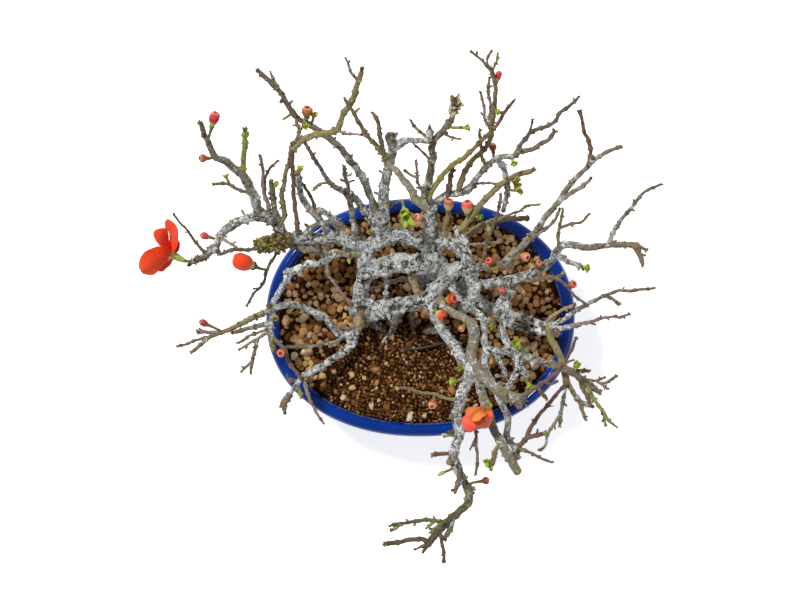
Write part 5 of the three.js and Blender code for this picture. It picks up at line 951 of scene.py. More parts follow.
def sweep(line, radii, sides, lump=0.0, seed=0.0, end="dome"):
    """The closed skin of a limb along a line, and the place on the line that each point belongs to."""
    radii = np.asarray(radii, float)
    ahead = np.gradient(line, axis=0)
    ahead /= np.linalg.norm(ahead, axis=1)[:, None]
    owners = list(range(len(line)))
    centres = list(line)
    reaches = list(radii)
    last = len(line) - 1
    steps = {"dome": [(0.32, 0.78), (0.52, 0.4)], "cut": [(0.02, 0.8), (-0.06, 0.35)], "flat": []}[end]
    for forward, width in steps:
        owners.append(last)
        centres.append(line[-1] + ahead[-1] * radii[-1] * forward)
        reaches.append(radii[-1] * width)
    turns = np.arange(sides) * 2 * math.pi / sides
    across = np.array([0.31, 0.17, 0.93])
    rings = []
    for centre, reach, owner in zip(centres, reaches, owners):
        way = ahead[owner]
        across = unit(across - way * across.dot(way))
        up = np.cross(way, across)
        rings.append(centre + reach * (np.outer(np.cos(turns), across) + np.outer(np.sin(turns), up)))
    points = np.concatenate(rings)
    owners = np.repeat(owners, sides)
    if lump:
        middle = np.repeat(np.array(centres), sides, axis=0)
        size = 1.2 + 1.1 * float(np.mean(radii))
        points = middle + (points - middle) * (1 + lump * waver(points, size, seed))[:, None]
    return points, ring_faces(len(centres), sides), owners


def turned(points, direction, foot, spin=0.0):
    """Points made along +Z, turned to a direction, with their origin at the foot."""
    turn = Vector((0, 0, 1)).rotation_difference(Vector(direction).normalized()).to_matrix()
    turn = np.array(turn @ Matrix.Rotation(spin, 3, "Z"))
    return np.asarray(points) @ turn.T + foot


def axis_turn(points, axis, angle):
    """Points turned round an axis by an angle."""
    return np.asarray(points) @ np.array(Matrix.Rotation(angle, 3, axis)).T


def lathe_shape(profile, sides, lean=0.0, edge=0.0):
    """A small closed shape of revolution along +Z, from [radius, height] pairs, leaning over towards +X."""
    rings = []
    top = profile[-1][1]
    for radius, height in profile:
        turns = np.arange(sides) * 2 * math.pi / sides + 0.4 * height
        reach = radius * (1 + edge * (np.arange(sides) % 2))
        rings.append(np.column_stack([reach * np.cos(turns) + lean * (height / top) ** 2,
                                      reach * np.sin(turns), np.full(sides, float(height))]))
    return np.concatenate(rings), ring_faces(len(profile), sides), True


# Growth of the limbs

class Limb:
    """A limb's middle line: its plan, heights and radii, and the fine line of its skin."""

    def __init__(self, name, plan, heights, radii, slack):
        points = [place(x, y, height) for (x, y), height in zip(plan, heights)]
        kept = range(len(plan)) if max(radii) > THICK else kept_along(points, slack)
        self.name = name
        self.plan = [plan[i] for i in kept]
        self.heights = [heights[i] for i in kept]
        self.radii = [radii[i] for i in kept]
        self.points = points
        self.full_radii = radii
        self.line = None
        self.widths = None

    def trace(self, foot=None):
        """Works out the fine line, from a foot on the fine line of the limb that it grows from."""
        points = list(self.points)
        if foot is not None:
            points[0] = foot
        step = TRUNK_STEP if max(self.full_radii) > THICK else LIMB_STEP
        self.line, self.widths = smooth_line(points, self.full_radii, step)
        self.widths = self.widths * SLIM.get(self.name, 1)
        travel = np.arange(len(self.line)) * step
        bend = np.array([noise.noise_vector(Vector(point) / BEND_SIZE) for point in self.line])
        kink = np.array([noise.noise_vector(Vector(point) / KINK_SIZE) for point in self.line])
        slim = 1.3 / (1.3 + float(np.mean(self.widths)))
        self.line += (bend * BEND + kink * KINK) * (slim * np.minimum(travel / 5, 1))[:, None]

    def nearest(self, x, y):
        """The distance, plan point, height and radius of the place that is nearest to a plan point."""
        best = None
        for i in range(len(self.plan) - 1):
            a = np.array(self.plan[i], float)
            b = np.array(self.plan[i + 1], float)
            span = float((b - a) @ (b - a))
            limit = 1
            if i == len(self.plan) - 2:
                limit = max(0, 1 - 0.8 * self.radii[i] / math.sqrt(span))
            t = min(max(float((np.array([x, y]) - a) @ (b - a)) / span, 0), limit)
            spot = a + t * (b - a)
            away = math.hypot(x - spot[0], y - spot[1])
            if best is None or away < best[0]:
                height = self.heights[i] + t * (self.heights[i + 1] - self.heights[i])
                radius = self.radii[i] + t * (self.radii[i + 1] - self.radii[i])
                best = (away, list(spot), height, radius)
        return best

    def on_skin(self, point):
        """The point of the fine line nearest to a point."""
        return self.line[np.argmin(np.linalg.norm(self.line[:-1] - point, axis=1))]


def kept_along(points, slack):
    """Which points a thin limb keeps: those within slack of a straight line are left out."""
    kept = [0, len(points) - 1]
    spans = [(0, len(points) - 1)]
    while spans:
        first, last = spans.pop()
        way = points[last] - points[first]
        farthest = 0
        distance = slack
        for i in range(first + 1, last):
            t = min(max((points[i] - points[first]) @ way / (way @ way), 0), 1)
            away = np.linalg.norm(points[i] - points[first] - t * way)
            if away > distance:
                farthest = i
                distance = away
        if farthest:
            kept.append(farthest)
            spans += [(first, farthest), (farthest, last)]
    return sorted(kept)


def grow_limbs():
    """All limbs by name, each from its foot on another limb, rising evenly with a slight waver."""
    noise.seed_set(LIMB_SEED)
    limbs = {}
    for name, way in TRUNKS:
        limb = Limb(name, [point[:2] for point in way], [point[2] for point in way],
                    [point[3] for point in way], TRUNK_SLACK)
        limb.trace()
        limbs[name] = limb
    for name, parent, foot_radius, tip_radius, rise, way in LIMBS + STUBS:
        away, foot, height, _ = limbs[parent].nearest(*way[0])
        plan = [foot, *(way if away > LINK_ABOVE else way[1:])]
        travel = np.cumsum([0, *(math.dist(plan[i], plan[i + 1]) for i in range(len(plan) - 1))])
        part = travel / travel[-1]
        sway = min(2, 0.03 * travel[-1])
        heights = height + rise * part + sway * part * np.sin(travel / 8 + travel[-1])
        radii = foot_radius + (tip_radius - foot_radius) * part
        limb = Limb(name, plan, list(heights), list(radii), LIMB_SLACK)
        limb.trace(limbs[parent].on_skin(limb.points[0]))
        limbs[name] = limb
    return limbs


def stalk(limbs, parent, way, rise):
    """The points of a stalk from a limb, the seat just past its end, and its heading."""
    _, foot, height, _ = limbs[parent].nearest(*way[0])
    plan = [foot, *way[1:]]
    points = [place(x, y, height + rise * i / (len(plan) - 1)) for i, (x, y) in enumerate(plan)]
    heading = unit(points[-1] - points[-2])
    seat = points[-1] + SEAT_GAP * heading
    points[0] = limbs[parent].on_skin(points[0])
    return points, seat, heading


# Node trees and Geometry Nodes

def enabled(sockets, name):
    """The socket of that name that is in use, where a node keeps several of one name."""
    return next(socket for socket in sockets if socket.name == name and socket.enabled)


class Graph:
    """Adds nodes to a tree and links them as they are made."""

    def __init__(self, tree):
        self.tree = tree

    def add(self, kind, feeds=None, **settings):
        node = self.tree.nodes.new(kind)
        for name, value in settings.items():
            setattr(node, name, value)
        for name, value in (feeds or {}).items():
            self.feed(node, name, value)
        return node

    def feed(self, node, name, value):
        socket = node.inputs[name] if isinstance(name, int) else enabled(node.inputs, name)
        if isinstance(value, bpy.types.NodeSocket):
            self.tree.links.new(value, socket)
        else:
            socket.default_value = value

    def math(self, operation, a, b=0.5, c=0.5):
        node = self.add("ShaderNodeMath", {0: a, 1: b, 2: c}, operation=operation)
        return node.outputs[0]

    def step(self, value, low, high):
        """0 at the low value, 1 at the high one, and straight in between."""
        node = self.add("ShaderNodeMapRange", {"Value": value, "From Min": low, "From Max": high})
        return node.outputs[0]

    def cloud(self, place, size, detail=2.0, roughness=0.5):
        """Soft noise with swellings of a size in metres."""
        node = self.add("ShaderNodeTexNoise", {
            "Vector": place, "Scale": self.math("DIVIDE", 1.0, size), "Detail": detail,
            "Roughness": roughness})
        return node.outputs[0]

    def named(self, name, kind="FLOAT"):
        """A named attribute of the geometry."""
        node = self.add("GeometryNodeInputNamedAttribute", {"Name": name}, data_type=kind)
        return enabled(node.outputs, "Attribute")

    def random(self, low, high, seed, kind="FLOAT"):
        node = self.add("FunctionNodeRandomValue", {"Min": low, "Max": high, "Seed": seed}, data_type=kind)
        return enabled(node.outputs, "Value")

    def finish_with(self, result, instances, finish):
        """Makes instances real in a finish, as the result of the tree."""
        real = self.add("GeometryNodeRealizeInstances", {"Geometry": instances})
        finished = self.add("GeometryNodeSetMaterial", {"Geometry": real.outputs[0], "Material": finish})
        self.feed(result, "Geometry", finished.outputs[0])


def geometry_tree(name, sockets):
    """A Geometry Nodes tree with named inputs, its graph, and its input and output nodes."""
    tree = bpy.data.node_groups.new(name, "GeometryNodeTree")
    tree.interface.new_socket("Geometry", in_out="INPUT", socket_type="NodeSocketGeometry")
    tree.interface.new_socket("Geometry", in_out="OUTPUT", socket_type="NodeSocketGeometry")
    for label, kind in sockets.items():
        tree.interface.new_socket(label, in_out="INPUT", socket_type="NodeSocket" + kind)
    graph = Graph(tree)
    return tree, graph, tree.nodes.new("NodeGroupInput").outputs, tree.nodes.new("NodeGroupOutput")


def sprout_tree():
    """Sets one of a collection's shapes on each point, along the point's heading and in its size."""
    tree, graph, given, result = geometry_tree(
        "Set sprouts on bark", {"Shapes": "Collection", "Size": "Float", "Seed": "Int", "Finish": "Material"})
    shapes = graph.add("GeometryNodeCollectionInfo", {
        "Collection": given["Shapes"], "Separate Children": True, "Reset Children": True})
    about = graph.add("ShaderNodeCombineXYZ", {"Z": graph.random(0.0, 2 * math.pi, given["Seed"])})
    spun = graph.add("FunctionNodeEulerToRotation", {"Euler": about.outputs[0]})
    aligned = graph.add("FunctionNodeAlignRotationToVector", {
        "Vector": graph.named("heading", "FLOAT_VECTOR")}, axis="Z")
    turn = graph.add("FunctionNodeRotateRotation", {
        "Rotation": aligned.outputs[0], "Rotate By": spun.outputs[0]}, rotation_space="LOCAL")
    placed = graph.add("GeometryNodeInstanceOnPoints", {
        "Points": given["Geometry"], "Instance": shapes.outputs[0], "Pick Instance": True,
        "Instance Index": graph.named("kind"), "Rotation": turn.outputs[0],
        "Scale": graph.math("MULTIPLY", graph.named("size"), given["Size"])})
    graph.finish_with(result, placed.outputs[0], given["Finish"])
    return tree


def grain_tree():
    """Scatters a collection's pebbles over a surface, no closer than a spacing, thinned by the cover mark."""
    tree, graph, given, result = geometry_tree("Scatter soil grains", {
        "Pebbles": "Collection", "Spacing": "Float", "Density": "Float", "Least size": "Float",
        "Largest size": "Float", "Seed": "Int", "Finish": "Material"})
    spread = graph.add("GeometryNodeDistributePointsOnFaces", {
        "Mesh": given["Geometry"], "Distance Min": given["Spacing"], "Density Max": given["Density"],
        "Density Factor": graph.named("cover"), "Seed": given["Seed"]}, distribute_method="POISSON")
    small_share = graph.math("POWER", graph.random(0.0, 1.0, given["Seed"]), 1.6)
    span = graph.math("SUBTRACT", given["Largest size"], given["Least size"])
    size = graph.math("MULTIPLY_ADD", small_share, span, given["Least size"])
    shapes = graph.add("GeometryNodeCollectionInfo", {
        "Collection": given["Pebbles"], "Separate Children": True, "Reset Children": True})
    tilt = graph.random((-0.6, -0.6, 0.0), (0.6, 0.6, 2 * math.pi), given["Seed"], "FLOAT_VECTOR")
    turn = graph.add("FunctionNodeEulerToRotation", {"Euler": tilt})
    placed = graph.add("GeometryNodeInstanceOnPoints", {
        "Points": spread.outputs["Points"], "Instance": shapes.outputs[0], "Pick Instance": True,
        "Rotation": turn.outputs[0], "Scale": size})
    marked = graph.add("GeometryNodeStoreNamedAttribute", {
        "Geometry": placed.outputs[0], "Name": "grain", "Value": graph.random(0.0, 1.0, 5)},
        data_type="FLOAT", domain="INSTANCE")
    graph.finish_with(result, marked.outputs[0], given["Finish"])
    return tree


def evaluated_mesh(source):
    """A new mesh of an object as its modifiers leave it."""
    depsgraph = bpy.context.evaluated_depsgraph_get()
    return bpy.data.meshes.new_from_object(source.evaluated_get(depsgraph))


def drop(thing):
    """Removes an object with its mesh."""
    mesh = thing.data
    bpy.data.objects.remove(thing)
    bpy.data.meshes.remove(mesh)


def made_by_tree(tree, source, name, values):
    """Runs a tree on a source object and returns the result as a plain mesh object."""
    modifier = source.modifiers.new(tree.name, "NODES")
    modifier.node_group = tree
    for item in tree.interface.items_tree:
        if item.in_out == "INPUT" and item.name in values:
            modifier[item.identifier] = values[item.name]
    mesh = evaluated_mesh(source)
    source.modifiers.remove(modifier)
    drop(source)
    mesh.name = name
    return into_scene(name, mesh)


def shape_collection(name, shapes):
    """A collection of small shapes in metres, one object for each."""
    collection = bpy.data.collections.new(name)
    for index, (points, faces, smooth) in enumerate(shapes):
        mesh = bpy.data.meshes.new(f"{name}_{index:02d}")
        mesh.from_pydata((np.asarray(points) * MM).tolist(), [], faces)
        set_smooth(mesh, smooth)
        collection.objects.link(bpy.data.objects.new(f"{name}_{index:02d}", mesh))
    return collection


def drop_collection(collection):
    for thing in list(collection.objects):
        drop(thing)
    bpy.data.collections.remove(collection)


# Materials

def effect_group(name, inputs, outputs):
    """A shader node group with named inputs and outputs, made once."""
    tree = bpy.data.node_groups.new(name, "ShaderNodeTree")
    for label, kind, value in inputs:
        socket = tree.interface.new_socket(label, in_out="INPUT", socket_type="NodeSocket" + kind)
        if value is not None:
            socket.default_value = value
    for label, kind in outputs:
        tree.interface.new_socket(label, in_out="OUTPUT", socket_type="NodeSocket" + kind)
    return tree, Graph(tree), tree.nodes.new("NodeGroupInput").outputs, tree.nodes.new("NodeGroupOutput")


def mottle_group():
    """Soft patches of a size in metres, as a value from 0 to 1, sharper as contrast grows."""
    tree, graph, given, result = effect_group(
        "Mottle", [("Place", "Vector", None), ("Size", "Float", 0.004), ("Contrast", "Float", 1.0)],
        [("Value", "Float")])
    cloud = graph.cloud(given["Place"], given["Size"], 3.0, 0.6)
    centred = graph.math("SUBTRACT", cloud, 0.5)
    value = graph.add("ShaderNodeMath", {
        0: centred, 1: given["Contrast"], 2: 0.5}, operation="MULTIPLY_ADD", use_clamp=True)
    graph.feed(result, "Value", value.outputs[0])
    return tree


def speck_group():
    """Small dots a spacing apart in metres, each as wide as a share of the spacing, kept inside patches."""
    tree, graph, given, result = effect_group(
        "Specks", [("Place", "Vector", None), ("Spacing", "Float", 0.0012), ("Width", "Float", 0.3),
                   ("Patch size", "Float", 0.006)], [("Mask", "Float")])
    cells = graph.add("ShaderNodeTexVoronoi", {
        "Vector": given["Place"], "Scale": graph.math("DIVIDE", 1.0, given["Spacing"])})
    near = graph.step(cells.outputs["Distance"], given["Width"], graph.math("MULTIPLY", given["Width"], 0.6))
    patch = graph.step(graph.cloud(given["Place"], given["Patch size"]), 0.42, 0.52)
    graph.feed(result, "Mask", graph.math("MULTIPLY", near, patch))
    return tree


def crack_group():
    """Thin wandering lines a size apart in metres, each as wide as a share of the size."""
    tree, graph, given, result = effect_group(
        "Cracks", [("Place", "Vector", None), ("Size", "Float", 0.005), ("Width", "Float", 0.02)],
        [("Mask", "Float")])
    cloud = graph.cloud(given["Place"], given["Size"], 3.0, 0.65)
    away = graph.math("ABSOLUTE", graph.math("SUBTRACT", cloud, 0.5))
    graph.feed(result, "Mask", graph.step(away, given["Width"], 0.0))
    return tree


# The shared effects by name, made before the first finish.
EFFECTS = {}


class Finish(Graph):
    """A material's graph, with its Principled BSDF and the shared effects."""

    def __init__(self, name, roughness, **settings):
        self.material = bpy.data.materials.new(name)
        self.material.use_nodes = True
        super().__init__(self.material.node_tree)
        self.shader = self.tree.nodes["Principled BSDF"]
        self.shader.inputs["Roughness"].default_value = roughness
        for socket, value in settings.items():
            self.shader.inputs[socket.replace("_", " ")].default_value = value
        self.place = self.add("ShaderNodeTexCoord").outputs["Object"]

    def effect(self, name, **values):
        node = self.tree.nodes.new("ShaderNodeGroup")
        node.node_tree = EFFECTS[name]
        for label, value in {"Place": self.place, **values}.items():
            self.feed(node, label.replace("_", " "), value)
        return node.outputs[0]

    def mark(self, name, colour=False):
        node = self.add("ShaderNodeAttribute", attribute_name=name)
        return node.outputs["Color" if colour else "Fac"]

    def blend(self, factor, a, b, blend_type="MIX"):
        ends = [(*end, 1.0) if isinstance(end, tuple) and len(end) == 3 else end for end in (a, b)]
        node = self.add("ShaderNodeMix", {"Factor": factor, "A": ends[0], "B": ends[1]},
                        data_type="RGBA", blend_type=blend_type)
        return enabled(node.outputs, "Result")

    def layer(self, mask, share, below, above):
        """One colour over another where a mask is on, at a share of full strength."""
        return self.blend(self.math("MULTIPLY", mask, share), below, above)

    def shaded(self, mask, share, colour, tone):
        """A colour multiplied by a tone where a mask is on."""
        return self.layer(mask, share, colour, self.blend(1.0, colour, srgb(tone), "MULTIPLY"))

    def ramp(self, value, stops):
        node = self.add("ShaderNodeValToRGB", {"Fac": value})
        while len(node.color_ramp.elements) < len(stops):
            node.color_ramp.elements.new(0.5)
        for element, (position, colour) in zip(node.color_ramp.elements, stops):
            element.position = position
            element.color = (*colour, 1.0)
        return node.outputs[0]

    def colour(self, value):
        self.feed(self.shader, "Base Color", value)

    def relief(self, height, depth, strength=1.0):
        bump = self.add("ShaderNodeBump", {"Height": height, "Distance": depth, "Strength": strength})
        self.feed(self.shader, "Normal", bump.outputs[0])
        return self.material


def glaze_finish(looks):
    """Glossy blue glaze, deeper in soft pools and dotted with dark pits, over bare clay under the foot and a
    chalky water line.
    """
    finish = Finish("blue glaze", looks.gloss, Specular_IOR_Level=0.35, Coat_Weight=0.06, Coat_Roughness=0.05)
    height = finish.add("ShaderNodeSeparateXYZ", {"Vector": finish.place}).outputs["Z"]
    pooled = finish.effect("Mottle", Size=0.018, Contrast=1.6)
    blue = finish.blend(pooled, tuple(looks.glaze), tuple(looks.glaze_deep))
    pitted = finish.effect("Specks", Spacing=0.0021, Width=0.16, Patch_size=0.02)
    blue = finish.layer(pitted, 0.4, blue, srgb("0a1440"))
    inside = finish.mark("inside")
    line = finish.math("MULTIPLY", inside, finish.step(height, 0.0505, 0.0485))
    broken = finish.effect("Mottle", Size=0.0022, Contrast=5.0)
    chalk = finish.math("MULTIPLY", line, broken)
    blue = finish.layer(chalk, 0.6, blue, srgb("8e9cb0"))
    bare = finish.step(finish.math("ADD", height, finish.math("MULTIPLY", pooled, 0.002)), 0.0065, 0.0055)
    finish.colour(finish.blend(bare, blue, srgb("7a5f4c")))
    finish.feed(finish.shader, "Roughness", finish.math(
        "MULTIPLY_ADD", finish.math("MAXIMUM", bare, chalk), 0.6, looks.gloss))
    return finish.relief(finish.effect("Mottle", Size=0.006, Contrast=1.0), 0.0004, 0.35)


def bark_finish(looks):
    """Bark in its own tint, crusted with pale lichen that carries black specks, with pale cut ends, and with
    painted shade in its creases, pits and deep places.
    """
    finish = Finish("lichened bark", 0.85, Specular_IOR_Level=0.3)
    tint = finish.mark("tint", colour=True)
    # Painted shade: a mark that is on in the creases and pits of the bark.
    hollow = finish.mark("hollow")
    grain = finish.effect("Mottle", Size=0.001, Contrast=3.2)
    broad = finish.effect("Mottle", Size=0.0042, Contrast=2.8)
    bark = finish.shaded(grain, 0.6, tint, "857c6e")
    bark = finish.layer(broad, 0.35, bark, finish.blend(0.25, bark, srgb("e0dcd0")))
    # The painted-shade mark also thins the lichen in the creases and pits.
    lowered = finish.math("MULTIPLY_ADD", hollow, -0.35, finish.mark("lichen"))
    patches = finish.math("MULTIPLY_ADD", broad, 0.5, finish.math("MULTIPLY", grain, 0.16))
    cover = finish.step(finish.math("ADD", lowered, patches), 0.74, 0.82)
    bright = finish.effect("Mottle", Size=0.0056, Contrast=2.6)
    pale = finish.blend(bright, tuple(looks.lichen), tuple(looks.lichen_bright))
    dull = finish.effect("Mottle", Size=0.009, Contrast=4.0)
    pale = finish.shaded(dull, 0.42, pale, "a9b0a6")
    colour = finish.blend(cover, bark, pale)
    dots = finish.effect("Specks", Spacing=0.0014, Width=0.33, Patch_size=0.0045)
    fine = finish.effect("Specks", Spacing=0.00065, Width=0.34, Patch_size=0.002)
    pits = finish.effect("Specks", Spacing=0.0036, Width=0.22, Patch_size=0.008)
    cracks = finish.effect("Cracks", Size=0.0048, Width=0.028)
    dark = finish.math("MAXIMUM", finish.math("MAXIMUM", dots, pits), finish.math("MULTIPLY", fine, 0.8))
    dark = finish.math("MAXIMUM", dark, finish.math("MULTIPLY", cracks, 0.95))
    dark = finish.math("MULTIPLY", dark, finish.math("MULTIPLY_ADD", cover, 0.7, 0.2))
    colour = finish.layer(dark, looks.specks, colour, srgb("12110f"))
    # Painted shade: the creases and pits darkened nearly to black.
    colour = finish.layer(hollow, 0.9, colour, srgb("2e2a25"))
    patchy = finish.effect("Mottle", Size=0.0028, Contrast=5.0)
    # Painted shade: dark patches in the deep places of the old wood.
    colour = finish.layer(finish.mark("stain"), patchy, colour, srgb("302a24"))
    rings = finish.effect("Mottle", Size=0.0012, Contrast=2.0)
    wood = finish.blend(rings, srgb("c9a27c"), srgb("8f6a4c"))
    finish.colour(finish.blend(finish.mark("cut"), colour, wood))
    height = finish.math("MULTIPLY_ADD", broad, 0.7, finish.math("MULTIPLY", grain, 0.4))
    height = finish.math("SUBTRACT", height, finish.math("MULTIPLY", dark, 0.9))
    return finish.relief(height, 0.0008, 1.0)


def sprout_finish():
    """Bud scales, spurs and moss: the sprout's own tint, darker in fine patches."""
    finish = Finish("bud scales", 0.7, Specular_IOR_Level=0.3)
    tint = finish.mark("tint", colour=True)
    grain = finish.effect("Mottle", Size=0.0006, Contrast=2.5)
    finish.colour(finish.shaded(grain, 0.6, tint, "807468"))
    return finish.relief(grain, 0.0003, 0.6)


def grain_finish(name, tints, paleness):
    """Dry baked-clay grains, each in one colour out of a row of tints, with dusty faces."""
    finish = Finish(name, 0.9, Specular_IOR_Level=0.2)
    shift = finish.math("POWER", finish.mark("grain"), paleness)
    colour = finish.ramp(shift, [(position, srgb(tint)) for position, tint in tints])
    dust = finish.effect("Mottle", Size=0.0012, Contrast=2.8)
    finish.colour(finish.shaded(dust, 0.5, colour, "8c7864"))
    return finish.relief(dust, 0.0005, 0.8)


def soil_gap_shade_finish():
    """Soil under the grains, painted nearly black in soft patches as the shade in the gaps between the
    grains.
    """
    finish = Finish("shaded soil", 1.0, Specular_IOR_Level=0.05)
    gap_shade_patches = finish.effect("Mottle", Size=0.0016, Contrast=2.5)
    # Painted shade: near-black colours that show in the gaps between the grains.
    finish.colour(finish.blend(gap_shade_patches, srgb("1d0f07"), srgb("3a2110")))
    return finish.relief(gap_shade_patches, 0.0012, 1.0)


def petal_finish(name, looks):
    """Thin petals: paler and yellower at the claw, redder at the edge, with faint veins along them."""
    finish = Finish(name, 0.6, Specular_IOR_Level=0.25)
    tint = finish.mark("tint", colour=True)
    along = finish.mark("along")
    veins = finish.add("ShaderNodeTexNoise", {
        "Vector": finish.add("ShaderNodeCombineXYZ", {
            "X": finish.math("MULTIPLY", finish.mark("across"), 9.0),
            "Y": finish.math("MULTIPLY", along, 1.6)}).outputs[0],
        "Scale": 1.0, "Detail": 2.0}).outputs[0]
    colour = finish.blend(finish.step(veins, 0.45, 0.8), tint, finish.blend(
        1.0, tint, srgb("e0c0b0"), "MULTIPLY"))
    finish.colour(finish.blend(finish.step(along, 0.07, 0.0), colour, tuple(looks.claw)))
    return finish.relief(veins, 0.0003, 0.4)


def leaf_finish(looks):
    """Young leaves: a lighter rib and side veins on yellow-green, bronzed along the teeth."""
    finish = Finish("young leaf", 0.5, Subsurface_Weight=0.1, Subsurface_Scale=0.001)
    tint = finish.mark("tint", colour=True)
    across = finish.math("ABSOLUTE", finish.mark("across"))
    along = finish.mark("along")
    slant = finish.math("SUBTRACT", finish.math("MULTIPLY", along, 9.0), finish.math("MULTIPLY", across, 2.6))
    fringe = finish.math("PINGPONG", slant, 0.5)
    vein = finish.math("MAXIMUM", finish.step(across, 0.13, 0.04), finish.math(
        "MULTIPLY", finish.step(fringe, 0.1, 0.03), 0.6))
    colour = finish.layer(vein, 0.7, tint, finish.blend(0.5, tint, srgb("e4ea9a")))
    finish.colour(finish.layer(finish.step(across, 0.86, 1.0), 0.5, colour, tuple(looks.leaf_edge)))
    return finish.relief(finish.math("SUBTRACT", 1.0, vein), 0.0004, 0.6)


def plain_finish(name, dark, light, roughness, size):
    """A finish of two close tones in fine patches, for the cups, stamens, wire and screens."""
    finish = Finish(name, roughness)
    patches = finish.effect("Mottle", Size=size, Contrast=2.0)
    finish.colour(finish.blend(patches, dark, light))
    return finish.relief(patches, size / 4, 0.4)


# Pot and soil

def oval(inset, height, segments=POT_SEGMENTS):
    """A ring along the pot's outline, an inset inside it, at a height."""
    turns = (np.arange(segments) + 0.5) * 2 * math.pi / segments
    ring = []
    for wave, half in ((np.cos(turns), POT_LENGTH / 2), (np.sin(turns), POT_WIDTH / 2)):
        ring.append(np.sign(wave) * np.abs(wave) ** (2 / POT_SQUARENESS) * (half - inset))
    return np.column_stack([*ring, np.full(segments, float(height))])


def pot_profile():
    """[inset, height] up the outside, over the lip and down the inside, on a smooth curve."""
    corners = [
        [16, FOOT_HEIGHT], [12, FOOT_HEIGHT + 6], [8.6, FOOT_HEIGHT + 13], [4.6, RIM - 12], [3.8, RIM - 8],
        [3.3, RIM - 7.4], [0.9, RIM - 6.6], [0, RIM - 4.5], [0.7, RIM - 1.8], [3.2, RIM], [5.4, RIM - 0.4],
        [7, RIM - 2.4], [8.6, RIM - 12], [13, FLOOR_TOP + 8], [18, FLOOR_TOP]]
    flat = [[inset, height, 0] for inset, height in corners]
    line, _ = smooth_line(flat, [0] * len(flat), 0.8)
    return [(max(inset, 0.0), min(max(height, FOOT_HEIGHT), RIM)) for inset, height, _ in line]


def foot_rings(middle):
    """Rings of a low bracket foot that follows the oval and narrows towards the ground."""
    rings = []
    for height, grow in ((0, 0), (1, 0.5), (FOOT_HEIGHT - 2, 0.9), (FOOT_HEIGHT + 3, 1.6)):
        for inset, way in ((15 - grow, 1), (27 + grow, -1)):
            turns = middle + way * np.linspace(-1, 1, FOOT_POINTS) * (FOOT_SPREAD + 0.01 * grow)
            rings.append(np.column_stack([
                (POT_LENGTH / 2 - inset) * np.cos(turns), (POT_WIDTH / 2 - inset) * np.sin(turns),
                np.full(FOOT_POINTS, float(height))]))
    return np.concatenate(rings)


def carve(thing, cutter, operation):
    """Joins or cuts a mesh object with another, which is then dropped."""
    modifier = thing.modifiers.new(operation, "BOOLEAN")
    modifier.operation = operation
    modifier.object = cutter
    modifier.solver = "EXACT"
    mesh = evaluated_mesh(thing)
    thing.modifiers.remove(modifier)
    old = thing.data
    thing.data = mesh
    bpy.data.meshes.remove(old)
    drop(cutter)


def build_pot(looks):
    """The pot's skin, with its feet joined on and its drain holes cut."""
    profile = pot_profile()
    top = max(range(len(profile)), key=lambda i: profile[i][1])
    skin = Pile()
    points = np.concatenate([oval(inset, height) for inset, height in profile])
    inside = np.repeat([float(i > top + LIP_RINGS) for i in range(len(profile))], POT_SEGMENTS)
    skin.add(points, ring_faces(len(profile), POT_SEGMENTS), inside=inside)
    pot = skin.make("pot_glazed", glaze_finish(looks))
    feet = Pile()
    for middle in (FOOT_ANGLE, math.pi - FOOT_ANGLE, math.pi + FOOT_ANGLE, -FOOT_ANGLE):
        feet.add(foot_rings(middle), ring_faces(4, 2 * FOOT_POINTS), inside=0.0)
    carve(pot, feet.make("feet", None), "UNION")
    drains = Pile()
    for side in (-1, 1):
        line = np.array([[side * DRAIN_X, 0, height] for height in (-1.0, 3 * FLOOR_TOP / 2)])
        points, faces, _ = sweep(line, [DRAIN_RADIUS] * 2, DRAIN_SIDES, end="flat")
        drains.add(points, faces, inside=0.0)
    carve(pot, drains.make("drains", None), "DIFFERENCE")
    pot.data.name = "pot_glazed"
    set_smooth(pot.data)
    pot.data.set_sharp_from_angle(angle=math.radians(SHARP_ANGLE))
    return pot


def soil_height(x, y):
    """Height of the bedding surface above the rim: nearly level, lower along the wall."""
    inside = np.hypot(x / (POT_LENGTH / 2 - SOIL_INSET), y / (POT_WIDTH / 2 - SOIL_INSET))
    return SOIL_CROWN + (SOIL_EDGE - SOIL_CROWN) * np.minimum(inside, 1) ** 6


def soil_surface(rings=26, segments=SOIL_SEGMENTS):
    """The open top of the soil as points and faces, from the middle out to the wall."""
    parts = np.linspace(0.04, 1, rings)
    outline = oval(SOIL_INSET, 0, segments)
    points = np.concatenate([outline * part for part in parts])
    points[:, 2] = RIM + soil_height(points[:, 0], points[:, 1])
    points[:, 2] += 0.5 * waver(points, 6, 3.0)
    faces = ring_faces(rings, segments, first_cap=True, last_cap=False)
    return points, [face[::-1] for face in faces]


def fineness(points):
    """1 over the fine grains in the middle and front, 0 over the coarse ones round the sides and back."""
    away = np.hypot(*((points[:, side] - FINE_CENTRE[side]) / FINE_HALF[side] for side in (0, 1)))
    away += 0.25 * waver(points, 14, 8.0)
    return np.clip((1.15 - away) / 0.3, 0, 1)


